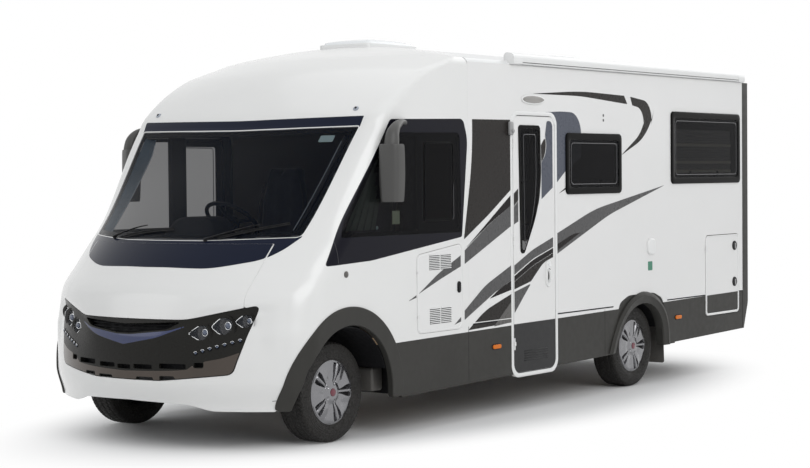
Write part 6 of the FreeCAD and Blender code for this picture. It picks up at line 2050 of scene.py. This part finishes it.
@dataclass
class RoofGear:
    """Things on the roof: two roof lights and the ends of the awning's case.

    Attributes:
        form: The body's form.
    """
    form: BodyForm

    def build(self) -> None:
        """Makes the lids and the awning's trim."""
        self.lids()
        self.awning()

    def lids(self) -> None:
        """Clear domed lids in white frames on the CAD bases: slabs with a crowned top."""
        piece = Piece("roof_lids", Body.ROOT.value)
        low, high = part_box("roof_lights")
        for x in (high.x - 0.330, low.x + 0.330):
            self.lid(piece, x, low.z, high.z)
        piece.make(replaces=("roof_lights",))

    def lid(self, piece: Piece, x: float, base: float, top: float) -> None:
        """One roof light: a flat frame and a lid whose height falls off smoothly to its edges."""
        frame_loop = rounded_loop(oblong(x - 0.33, x + 0.33, -0.25, 0.25, 0.05))

        def stand(a: Array, b: Array, d: float) -> Array:
            return np.stack([a, b, np.full_like(a, top - 0.045) - d], -1)
        add_slab(piece, frame_loop, stand, top - 0.045 - base, FRAME_WHITE, 0.006)
        u, v = np.meshgrid(np.linspace(-1, 1, 41), np.linspace(-1, 1, 33))
        edge = np.maximum(np.abs(u), np.abs(v))
        height = 0.030 * (1 - edge ** 6) ** 0.5 + 0.012 * (1 - u ** 2) * (1 - v ** 2)
        height = height + 0.002 * ramp(np.cos(u * 14.0), 0.6, 0.9) * (1 - ramp(edge, 0.75, 0.85))
        points = np.stack([x + 0.30 * u, 0.22 * v, top - 0.044 + height], -1)
        piece.grid(points, LID_WHITE)

    def awning(self) -> None:
        """End caps and the joint of the front bar over the awning's case."""
        piece = Piece("awning_trim", Body.ROOT.value)
        low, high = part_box("awning")
        for x0, x1 in ((high.x - 0.115, high.x + 0.004), (low.x - 0.004, low.x + 0.115)):
            back, front, foot = high.y - 0.085, high.y + 0.003, low.z - 0.003
            profile = rounded_loop(((back, foot, 0.008), (front, foot, 0.014), (front, low.z + 0.060, 0.030),
                                    (back, high.z + 0.003, 0.020)))

            def place(a: Array, b: Array, d: float) -> Array:
                return np.stack([np.full_like(a, x1) - d, a, b], -1)
            add_slab(piece, profile, place, x1 - x0, FRAME_WHITE, 0.003)
        add_box(piece, (low.x + 0.12, high.y - 0.020, low.z + 0.012),
                (high.x - 0.12, high.y + 0.002, low.z + 0.016), 0.0015, MATT_BLACK)
        piece.make()


@dataclass
class Running:
    """Rear flares, mud flaps and the dark rear corners, both sides.

    Attributes:
        form: The body's form.
        outer: Flare's outer edge as x from the front axle and z.
        inner: Its inner edge in the same way, with as many points.
        flap: Mud flap's lowest and highest corner on the left.
        corner: Rear corner's start, end and foot: x0, x1, lowest and highest z.
    """
    form: BodyForm
    outer: tuple = ((-3.495, 0.325), (-3.560, 0.455), (-3.655, 0.590), (-3.785, 0.702), (-3.925, 0.766),
                    (-4.065, 0.792), (-4.215, 0.768), (-4.350, 0.700), (-4.448, 0.600), (-4.500, 0.470),
                    (-4.512, 0.325))
    inner: tuple = ((-3.575, 0.325), (-3.615, 0.420), (-3.705, 0.545), (-3.820, 0.640), (-3.940, 0.690),
                    (-4.060, 0.706), (-4.190, 0.690), (-4.300, 0.632), (-4.372, 0.545), (-4.405, 0.440),
                    (-4.412, 0.325))
    flap: tuple = ((-2.016, 0.820, 0.150), (-1.996, 1.085, 0.470))
    corner: tuple[float, float, float, float] = (-3.4155, -3.549, 0.360, 2.655)

    def build(self) -> None:
        """Makes the pieces of both sides."""
        flares = Piece("rear_arch_flares", Body.ROOT.value)
        flaps = Piece("mud_flap_sheets", Body.ROOT.value)
        corners = Piece("rear_corner_trims", Body.ROOT.value)
        for hand in (1, -1):
            self.flare(flares, hand)
            self.sheet(flaps, hand)
            self.edge(corners, hand)
        flares.make(replaces=("rear_flares",))
        flaps.make(replaces=("mud_flaps",))
        corners.make(replaces=("rear_corners",))

    def flare(self, piece: Piece, hand: int) -> None:
        """One flare: a band between two arcs, rounded over its front, with a returned inner edge.

        Each row is a blend of the outer and the inner arc, set out from the wall by its own height.
        """
        arcs = [smooth_path(line, 90) for line in (self.outer, self.inner)]
        rows = ((-1.4, -0.007), (-0.20, -0.006), (-0.20, 0.010), (-0.10, 0.018), (0.22, 0.025),
                (0.30, 0.021), (0.75, 0.018), (0.93, 0.014), (1.0, 0.004), (1.0, -0.060), (0.94, -0.060))
        share, out = np.array(rows).T[..., None]
        x, z = [first * (1 - share) + second * share for first, second in zip(arcs[0].T, arcs[1].T)]
        y = np.broadcast_to(hand * (self.form.half + out), x.shape)
        grid = np.stack([x + self.form.front_axle, y, z], -1)
        if hand < 0:
            grid = grid[::-1]
        piece.grid(grid, TRIM_GREY)
        piece.close(grid[:, 0], TRIM_GREY)
        piece.close(grid[:, -1], TRIM_GREY, True)

    def sheet(self, piece: Piece, hand: int) -> None:
        """Mud flap: a stiff sheet with a rounded rim that leans back a little."""
        low, high = np.array(self.flap[0]), np.array(self.flap[1])
        loop = rounded_loop(oblong(low[1], high[1], low[2], high[2], 0.02))

        def place(a: Array, b: Array, d: float) -> Array:
            back = low[0] + 0.10 * (b - high[2]) * 0.5
            return np.stack([back + d, hand * a, b], -1)
        add_slab(piece, loop, place, 0.008, BRACKET, 0.003)

    def edge(self, piece: Piece, hand: int) -> None:
        """Rear corner: a rounded square profile drawn up the height, cut back at its foot."""
        x0, x1, z0, z1 = self.corner
        half = self.form.half + 0.002
        turn = np.linspace(0, math.pi / 2, 9)
        round_x = x1 + 0.032 - 0.032 * np.sin(turn)
        round_y = half - 0.032 + 0.032 * np.cos(turn)
        x = np.concatenate([[x0, x0], round_x, [x1, x1 + 0.012, x0]])
        y = np.concatenate([[half - 0.04, half], round_y, [1.034, 1.034, half - 0.04]])
        z = np.array((z0, z0 + 0.004, z0 + 0.11, z0 + 0.22, z0 + 0.25, 1.5, z1 - 0.010, z1))
        cut = np.interp(z, (z0, z0 + 0.22, z0 + 0.25, 9.0), (0.80, 0.06, 0.0, 0.0))[:, None]
        grid = np.stack([x0 + (x - x0) * (1 - cut), np.broadcast_to(hand * y, (len(z), len(y))),
                         np.broadcast_to(z[:, None], (len(z), len(y)))], -1)
        grid = grid if hand < 0 else grid[:, ::-1]
        piece.grid(grid, TRIM_GREY, False, True)
        piece.close(grid[0], TRIM_GREY, True)
        piece.close(grid[-1], TRIM_GREY)
        bead = np.stack([np.full(20, x1 + 0.030), np.full(20, hand * (half + 0.0005)),
                         np.linspace(z0 + 0.26, z1 - 0.02, 20)], -1)
        add_tube(piece, bead, 0.0022, FILM_LIGHT, 8)
        for low, high, finish in ((0.800, 0.935, RED_LENS), (0.940, 1.060, AMBER), (1.065, 1.150, LAMP_OPAL)):
            ends = sorted((hand * 1.045, hand * 1.130))
            add_box(piece, (x1 - 0.0008, ends[0], low), (x1 + 0.02, ends[1], high), 0.006, finish)


@dataclass
class Tail(Face):
    """Blank number plate with its lamps, the high brake lamp, the reflectors and the tail's seam.

    Attributes:
        form: The body's form.
        number: Number plate's half width, lowest and highest edge.
    """
    form: BodyForm
    number: tuple[float, float, float] = (0.262, 0.430, 0.545)

    def at(self, out: float) -> Place:
        """Placing function on the tail: a is to the left, b is up, and the face stands out by a distance."""
        low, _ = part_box("rear_bumper")

        def place(a: Array, b: Array, d: float) -> Array:
            return np.stack([np.full_like(a, low.x - out + d), a, b], -1)
        return place

    def build(self) -> None:
        """Makes the tail's pieces as one."""
        piece = Piece("tail_fittings", Body.ROOT.value)
        half, z0, z1 = self.number
        self.plate(piece, (-half - 0.03, half + 0.03, z0 - 0.025, z1 + 0.045), 0.012, 0.0001, 0.0006,
                   MATT_BLACK, 0.0001)
        plates = [((-half, half, z0, z1), 0.008, 0.0010, FRAME_WHITE),
                  *[((y - 0.035, y + 0.035, z1 + 0.012, z1 + 0.032), 0.008, 0.0014,
                     LAMP_OPAL) for y in (-0.14, 0.14)],
                  ((-0.20, 0.20, 2.470, 2.502), 0.012, 0.0014, RED_LENS),
                  *[((y - 0.075, y + 0.075, 0.600, 0.640), 0.010, 0.0014, RED_LENS) for y in (-0.80, 0.80)]]
        for area, corner, depth, finish in plates:
            self.plate(piece, area, corner, 0.0004, depth, finish, 0.0001)
        self.film(piece, (-1.030, 1.030, 0.7115, 0.7185), 0.001, MATT_BLACK, 0.0002)
        piece.make()


@dataclass
class Wipers:
    """Two parked wipers: spindle, arm, and blade with its rubber.

    Attributes:
        form: The body's form.
        arms: Each arm's (y, z) points from its spindle.
        blades: Each blade's (y, z) points.
    """
    form: BodyForm
    arms: tuple = (((0.370, 1.392), (0.470, 1.421), (0.600, 1.460), (0.700, 1.482)),
                   ((-0.540, 1.398), (-0.430, 1.428), (-0.298, 1.459), (-0.200, 1.472)))
    blades: tuple = (((0.455, 1.404), (0.640, 1.452), (0.860, 1.500)),
                     ((-0.430, 1.400), (-0.200, 1.440), (0.060, 1.462)))

    def build(self) -> None:
        """Makes both wipers as one piece."""
        piece = Piece("wiper_arms", Body.ROOT.value)
        for arm, blade in zip(self.arms, self.blades):
            ahead = self.form.on_front(*smooth_path(arm, 30).T, np.linspace(0.016, 0.026, 30))
            add_tube(piece, ahead, np.linspace(0.011, 0.006, 30), MATT_BLACK, 12, flat=0.6)
            foot = self.form.front_spot(*arm[0])
            add_turned(piece, ((0.014, -0.012), (0.014, 0.012), (0.011, 0.017), (0.001, 0.019)), foot,
                       (0.6, 0, 0.8), MATT_BLACK, 28)
            y, z = smooth_path(blade, 40).T
            add_tube(piece, self.form.on_front(y, z, 0.014), 0.0062, MATT_BLACK, 10, flat=0.8)
            add_tube(piece, self.form.on_front(y, z - 0.002, 0.005), 0.0035, RUBBER, 8, flat=2.0)
        piece.make(replaces=("wipers",))


@dataclass
class Marks:
    """Round markers over the windscreen, round side caps and the hairline joints of the cab.

    Attributes:
        form: The body's form.
    """
    form: BodyForm

    def build(self) -> None:
        """Makes the small things on the cab's skin as one piece."""
        piece = Piece("cab_markers", Body.ROOT.value)
        for hand in (1, -1):
            y, z = hand * 0.945, 2.288
            for radius, out, finish in ((0.020, 0.010, BEAD), (0.010, 0.015, MATT_BLACK)):
                middle = self.form.front_spot(y, z)
                ahead = self.form.front_spot(y, z, 1.0) - middle
                add_turned(piece, ((radius, -0.004), (radius, out * 0.6), (radius * 0.7, out), (0.001, out)),
                           middle, ahead, finish, 28)
            x = np.array([0.043 + self.form.front_axle])
            side = self.form.on_side(x, np.array([1.156]), 0.0, hand)[0]
            add_turned(piece, ((0.022, -0.004), (0.022, 0.005), (0.016, 0.009), (0.001, 0.009)), side,
                       (0, hand, 0), BRACKET, 24)
            z = np.linspace(1.235, 1.385, 12)
            line = self.form.on_side(np.full(12, 0.124 + self.form.front_axle), z, 0.0008, hand)
            add_tube(piece, line, 0.0011, LINE_GREY, 6)
        piece.make()


# ====================================================================== cab
@dataclass
class Cab:
    """Steering wheel and instrument hood.

    Attributes:
        wheel: Middle of the steering wheel.
        radius: Radius of its rim.
        axis: Direction of its shaft towards the driver.
    """
    wheel: tuple[float, float, float] = (2.080, -0.318, 1.500)
    radius: float = 0.205
    axis: tuple[float, float, float] = (-0.62, 0.0, 0.785)

    def build(self) -> None:
        """Makes the wheel and the hood."""
        self.steering()
        self.hood()

    def steering(self) -> None:
        """Rim as a tube round a circle, a padded hub and three flat spokes, on its column."""
        piece = Piece("steering_wheel_rim", Body.ROOT.value)
        middle, axis = np.array(self.wheel), unit(np.array(self.axis))
        side = np.array((0.0, 1.0, 0.0))
        up = np.cross(axis, side)
        angle = np.linspace(0, 2 * math.pi, 96, endpoint=False)[:, None]
        add_tube(piece, middle + self.radius * (np.cos(angle) * side + np.sin(angle) * up), 0.0155, DASH, 14,
                 True, up=tuple(axis))
        add_turned(piece, ((0.070, -0.040), (0.072, -0.012), (0.062, 0.006), (0.030, 0.014), (0.001, 0.016)),
                   middle, tuple(axis), DASH, 40)
        for turn in (0.0, math.pi, -math.pi / 2):
            reach = np.linspace(0.05, self.radius - 0.006, 12)[:, None]
            spoke = math.cos(turn) * side + math.sin(turn) * up
            path = middle + reach * spoke - axis * 0.012 * (1 - reach / 0.21)
            add_tube(piece, path, np.linspace(0.026, 0.015, 12), DASH, 12, flat=0.4, up=tuple(axis))
        column = np.linspace(0.03, 0.38, 10)[:, None]
        add_tube(piece, middle - axis * column, np.linspace(0.042, 0.055, 10), DASH, 20)
        piece.make(replaces=("steering_wheel",))

    def hood(self) -> None:
        """Instrument hood on the dash: its height is a product of two smooth humps over its plan."""
        piece = Piece("instrument_hood", Body.ROOT.value)
        u, v = np.meshgrid(np.linspace(-1, 1, 37), np.linspace(-1, 1, 29), indexing="ij")
        x = 2.500 + 0.200 * u
        y = self.wheel[1] + 0.02 + 0.255 * v
        z = 1.330 + 0.205 * (1 - v ** 4) ** 0.7 * (1 - ramp(u, 0.1, 1.0)) * ramp(u + 1.0, 0.0, 0.16)
        points = np.stack([x, y, z], -1)
        piece.grid(points, DASH)
        piece.make()


@dataclass
class Seats:
    """Two cab seats: swollen cushion and backrest with piping, armrests and the cushion's tray.

    Attributes:
        across: Distance of each seat's middle from the centre line.
        cushion: Cushion's lowest and highest corner about the seat's middle.
        back: Backrest's lowest and highest corner, before it leans.
        lean: How far the backrest moves back for each metre of height.
    """
    across: float = 0.430
    cushion: tuple = ((1.400, -0.215, 1.040), (1.860, 0.215, 1.165))
    back: tuple = ((1.330, -0.215, 1.180), (1.425, 0.215, 1.900))
    lean: float = 0.11

    def build(self) -> None:
        """Swells one cushion and one backrest, then sets a copy of each on both seats."""
        parts = [("seat_cushion", self.swell("cushion_form", *self.cushion, 0.035, 0.020), 0.0),
                 ("seat_back", self.swell("back_form", *self.back, 0.030, 0.018), self.lean)]
        for index, hand in enumerate((1, -1)):
            side = "left" if hand > 0 else "right"
            for name, form, lean in parts:
                made = bpy.data.objects.new(f"{name}_{side}", form.copy())
                points = np.empty(len(form.vertices) * 3)
                form.vertices.foreach_get("co", points)
                points = points.reshape(-1, 3) + np.array((0.0, hand * self.across, 0.0))
                rise = np.maximum(points[:, 2] - 1.17, 0.0)
                points[:, 0] -= lean * rise
                if lean:
                    points[:, 1] -= (points[:, 1] - hand * self.across) * 0.30 * ramp(rise, 0.42, 0.74)
                made.data.vertices.foreach_set("co", points.ravel())
                made.data.update()
                bpy.context.scene.collection.objects.link(made)
                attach(made, Body.ROOT.value)
                LOG.info("%s: %d points", made.name, len(points))
            self.fittings(hand, f"seat_fittings_{side}", index == 0)

    def swell(self, name: str, low: Sequence[float], high: Sequence[float], radius: float,
              most: float) -> bpy.types.Mesh:
        """A pad's mesh: a rounded box that a cloth simulation blows up from inside.

        Args:
            name: Name of the form.
            low: Lowest corner.
            high: Highest corner.
            radius: Radius of its edges.
            most: Furthest that a point may move.

        Returns:
            The swollen mesh with smooth faces and its finish.
        """
        piece = Piece(name, Body.ROOT.value)
        add_box(piece, low, high, radius, CLOTH, 5)
        points, faces = np.concatenate(piece.points), [face for rows,
                                                       _ in piece.faces for face in rows.tolist()]
        mesh = bpy.data.meshes.new(name)
        mesh.from_pydata(points.tolist(), [], faces)
        pad = bpy.data.objects.new(name, mesh)
        bpy.context.scene.collection.objects.link(pad)
        remesh = pad.modifiers.new("remesh", "REMESH")
        remesh.mode, remesh.voxel_size = "VOXEL", 0.008
        graph = bpy.context.evaluated_depsgraph_get()
        shape = bpy.data.meshes.new_from_object(pad.evaluated_get(graph))
        pad.modifiers.clear()
        pad.data = shape
        start = np.empty(len(shape.vertices) * 3)
        shape.vertices.foreach_get("co", start)
        end = start
        cloth = pad.modifiers.new("cloth", "CLOTH")
        cloth.settings.use_pressure, cloth.settings.uniform_pressure_force = True, 4.0
        cloth.settings.effector_weights.gravity = 0.0
        cloth.settings.quality = 4
        scene = bpy.context.scene
        for step in range(1, 21):
            scene.frame_set(step)
        graph = bpy.context.evaluated_depsgraph_get()
        blown = pad.evaluated_get(graph).to_mesh()
        end = np.empty(len(start))
        blown.vertices.foreach_get("co", end)
        pad.modifiers.clear()
        scene.frame_set(1)
        start, move = start.reshape(-1, 3), (end - start).reshape(-1, 3)
        size = np.linalg.norm(move, axis=1, keepdims=True)
        points = start + move * np.minimum(1.0, most / np.maximum(size, 1e-9))
        middle, half = (np.asarray(low) + high) / 2, (np.asarray(high) - low) / 2
        share = np.clip(np.abs((points - middle) / half), 0, 1.2)
        flutes = np.cos((points[:, 1] - middle[1]) / half[1] * math.pi * 2.5)
        thin = int(np.argmin(half))
        crown = (1 - ramp(share, 0.55, 1.0)).prod(1, where=np.arange(3) != thin)
        points[:, thin] += np.sign(points[:, thin] - middle[thin]) * crown * (0.008 + 0.004 * flutes)
        made = bpy.data.meshes.new(name + "_mesh")
        made.from_pydata(points.tolist(), [], [list(face.vertices) for face in shape.polygons])
        made.polygons.foreach_set("use_smooth", np.ones(len(made.polygons), bool))
        made.materials.append(CLOTH.material())
        bpy.data.objects.remove(pad)
        return made

    def fittings(self, hand: int, name: str, first: bool) -> None:
        """Piping, armrests and the cushion's tray of one seat."""
        piece = Piece(name, Body.ROOT.value)
        y = hand * self.across
        (x0, y0, z0), (x1, y1, z1) = self.cushion
        for top in (z0 + 0.045, z1 - 0.030):
            loop = rounded_loop(((x0 - 0.006, y0 - 0.008, 0.05), (x1 + 0.006, y0 - 0.008, 0.05),
                                 (x1 + 0.006, y1 + 0.008, 0.05), (x0 - 0.006, y1 + 0.008, 0.05)))
            ring = np.column_stack([loop[:, 0], loop[:, 1] + y, np.full(len(loop), top)])
            add_tube(piece, ring, 0.004, CLOTH_DARK, 8, True)
        (bx0, by0, bz0), (bx1, by1, bz1) = self.back
        t = np.linspace(bz0 + 0.02, bz1 - 0.12, 24)
        for side in (by0 - 0.004, by1 + 0.004):
            edge = np.column_stack([bx1 - self.lean * (t - 1.17),
                                    y + side * (1 - 0.30 * ramp(t - 1.17, 0.42, 0.74)), t])
            add_tube(piece, edge, 0.004, CLOTH_DARK, 8)
        add_box(piece, (x0 + 0.02, y + y0 + 0.02, z0 - 0.010), (x1 - 0.02, y + y1 - 0.02, z0 + 0.012), 0.006,
                DASH)
        for side in (-1, 1):
            arm = y + side * 0.262
            add_box(piece, (1.315, arm - 0.026, 1.330), (1.620, arm + 0.026, 1.385), 0.022, CLOTH_DARK)
            pivot = (1.345, y + side * 0.236, 1.350)
            add_turned(piece, ((0.030, -0.008), (0.030, 0.008), (0.001, 0.010)), pivot, (0, side, 0), DASH,
                       24)
        piece.make(replaces=("cab_seats",) if first else ())


# ====================================================================== stage
def put(name: str, data: bpy.types.ID, axes: Sequence[Array], place: Sequence[float]) -> bpy.types.Object:
    """Adds an object at a place, with its three axes along given directions."""
    made = bpy.data.objects.new(name, data)
    matrix = np.eye(4)
    matrix[:3] = np.column_stack([*axes, place])
    made.matrix_world = Matrix(matrix.tolist())
    bpy.context.scene.collection.objects.link(made)
    return made


@dataclass
class Stage:
    """Pale floor, soft lamps, white world and the camera.

    Attributes:
        eye: The camera's place.
        yaw: Turn of its line of sight from -X towards -Y, radians.
        pitch: Its rise, radians.
        roll: Its roll, radians.
        focal: Focal length in millimetres on a sensor 36 mm wide.
        pool: Half length and half width of the floor round the vehicle that shows its shadow.
    """
    eye: tuple[float, float, float] = (12.409, 8.838, 1.820)
    yaw: float = 0.63196
    pitch: float = -0.03171
    roll: float = -0.00927
    focal: float = 82.10
    pool: tuple[float, float] = (4.15, 1.95)

    def build(self) -> None:
        """Makes the floor, world, lamps and camera."""
        self.floor()
        self.world()
        self.lamps()
        self.camera()
        bpy.context.scene.view_settings.view_transform = "Standard"

    def camera(self) -> None:
        """Camera whose three directions come from yaw, pitch and roll."""
        cos, sin = math.cos, math.sin
        ahead = np.array((-cos(self.yaw) * cos(self.pitch), -sin(self.yaw) * cos(self.pitch),
                          sin(self.pitch)))
        side = unit(np.cross(ahead, (0.0, 0.0, 1.0)))
        up = np.cross(side, ahead)
        right = cos(self.roll) * side + sin(self.roll) * up
        top = -sin(self.roll) * side + cos(self.roll) * up
        data = bpy.data.cameras.new("camera")
        data.lens, data.sensor_width = self.focal, 36.0
        data.clip_end = 200.0
        bpy.context.scene.camera = put("camera", data, (right, top, -ahead), self.eye)

    def floor(self) -> None:
        """Round pale floor that keeps the vehicle's shadow and shows white to the camera."""
        rings = np.linspace(0.0, 60.0, 7)[:, None, None]
        angle = np.linspace(0, 2 * math.pi, 96, endpoint=False)[None, :, None]
        around = np.concatenate([np.cos(angle), np.sin(angle), 0 * angle], -1)
        points = (rings[1:] * around - np.array((0.0, 0.0, 0.0005))).reshape(-1, 3)
        mesh = bpy.data.meshes.new("floor")
        points = np.concatenate([points, [(0.0, 0.0, -0.0005)]])
        quads = grid_faces(6, 96, wrap_columns=True)
        fan = np.stack([np.full(96, len(points) - 1), np.arange(96), (np.arange(96) + 1) % 96], -1)
        mesh.from_pydata(points.tolist(), [], quads[:, ::-1].tolist() + fan.tolist())
        made = bpy.data.materials.new("floor_pale")
        made.use_nodes = True
        tree = made.node_tree
        shader = tree.nodes["Principled BSDF"]
        place = add_node(tree, "TexCoord").outputs["Object"]
        noise = add_node(tree, "TexNoise", {"Scale": 0.6, "Vector": place})
        spread = add_node(tree, "MapRange", {"To Min": 0.84, "To Max": 0.88, "Value": noise.outputs["Fac"]})
        colour = add_node(tree, "CombineColor",
                          dict.fromkeys(("Red", "Green", "Blue"), spread.outputs["Result"]))
        feed(tree, shader, {"Base Color": colour.outputs["Color"], "Roughness": 0.75})
        shrink = add_node(tree, "VectorMath", {0: place, 1: (1 / self.pool[0], 1 / self.pool[1], 0.0)},
                          operation="MULTIPLY")
        reach = add_node(tree, "VectorMath", {0: shrink.outputs["Vector"]}, operation="LENGTH")
        fade = add_node(tree, "MapRange",
                        {"From Min": 0.72, "From Max": 1.12, "Value": reach.outputs["Value"]},
                        interpolation_type="SMOOTHSTEP")
        seen = add_node(tree, "Math", {0: self.seen(tree), 1: fade.outputs["Result"]}, operation="MULTIPLY")
        white = add_node(tree, "Emission", {"Color": WHITE})
        self.blend(tree, seen.outputs["Value"], shader.outputs["BSDF"], white.outputs["Emission"],
                   tree.nodes["Material Output"])
        mesh.materials.append(made)
        floor = bpy.data.objects.new("floor", mesh)
        bpy.context.scene.collection.objects.link(floor)

    def seen(self, tree: Tree) -> Socket:
        """1 for rays from the camera, in gloss and through glass, else 0."""
        path = add_node(tree, "LightPath")
        value = path.outputs["Is Camera Ray"]
        for name in ("Is Glossy Ray", "Is Transmission Ray"):
            value = add_node(tree, "Math", {0: value, 1: path.outputs[name]},
                             operation="MAXIMUM").outputs["Value"]
        return value

    def blend(self, tree: Tree, share: Socket, first: Socket, second: Socket, output: bpy.types.Node) -> None:
        """Sends a blend of two shaders to the output: share 0 is the first, 1 the second."""
        mix = add_node(tree, "MixShader", {"Fac": share, 1: first, 2: second})
        feed(tree, output, {"Surface": mix.outputs["Shader"]})

    def world(self) -> None:
        """World that lights softly and shows white to the camera, in gloss and through glass."""
        world = bpy.data.worlds.new("studio")
        world.use_nodes = True
        tree = world.node_tree
        soft = tree.nodes["Background"]
        feed(tree, soft, {"Color": (0.96, 0.98, 1.0, 1.0), "Strength": 0.55})
        white = add_node(tree, "Background", {"Color": WHITE, "Strength": 1.0})
        self.blend(tree, self.seen(tree), soft.outputs["Background"], white.outputs["Background"],
                   tree.nodes["World Output"])
        bpy.context.scene.world = world

    def lamps(self) -> None:
        """Four round soft panels: one from the left, one from ahead, one from above and one from behind."""
        for name, place, aim, size, power in (
                ("key", (6.0, 13.5, 9.0), (0.5, 0.0, 1.2), 12.0, 950.0),
                ("fill", (14.0, -8.0, 6.0), (2.0, 0.0, 1.2), 11.0, 280.0),
                ("top", (-1.0, 0.0, 10.0), (-1.0, 0.0, 0.0), 12.0, 170.0),
                ("back", (-12.0, 1.0, 7.0), (-2.0, 0.0, 1.2), 11.0, 330.0)):
            data = bpy.data.lights.new(name, "AREA")
            data.shape, data.size, data.energy = "DISK", size, power
            ahead = unit(np.array(aim) - np.array(place))
            side = unit(np.cross(ahead, (0.0, 1.0, 0.0) if abs(ahead[2]) > 0.95 else (0.0, 0.0, 1.0)))
            put(name, data, (side, np.cross(side, ahead), -ahead), place)


# ====================================================================== making
def dress(finishes: dict[str, Finish]) -> None:
    """Gives CAD nodes their finishes.

    Args:
        finishes: Finish of each node by its name.
    """
    for name, finish in finishes.items():
        node = frame["nodes"][name]
        node.data.materials.clear()
        node.data.materials.append(finish.material())


PLAIN_NODES = {
    "roof": ROOF_WHITE, "rear_bumper": TRIM_GREY, "skirts": TRIM_GREY, "awning": FRAME_WHITE,
    "door_frame": FRAME_WHITE, "entrance_step": TRIM_GREY, "floor": FLOOR_WOOD, "bulkhead": LINING,
    "gas_locker": PALE, "garage": PALE, "dashboard": DASH,
    **dict.fromkeys(("side_wall_left", "side_wall_right", "rear_wall", "entrance_door", "gas_locker_door",
                     "rear_locker_door_left", "rear_locker_door_right"), GEL_WHITE),
    **dict.fromkeys(("chassis_rails", "front_axle", "rear_axle", "tanks", "seat_bases"), STEEL),
    **dict.fromkeys(("knuckle_left", "knuckle_right", "engine"), CAST),
    **dict.fromkeys(("front_wheel_houses", "rear_wheel_houses"), MATT_BLACK),
}


def main() -> None:
    """Builds the sub-assemblies in order."""
    logging.basicConfig(level=logging.INFO, format="%(message)s")
    Stage().build()
    dress(PLAIN_NODES)
    form = BodyForm.from_frame()
    front = FrontEnd(form)
    front.build()
    Mask(front).build()
    for hand in (1, -1):
        for part in (Livery, Windows, Fittings):
            part(form, hand).build()
    Entrance(form, 1).build()
    for end, side in product(("front", "rear"), ("left", "right")):
        Wheel(end, side).build()
    for hand in (1, -1):
        Mirror(form, hand).build()
    for part in (RoofGear, Running, Tail, Wipers, Marks):
        part(form).build()
    Cab().build()
    Seats().build()


if __name__ == "__main__":
    main()
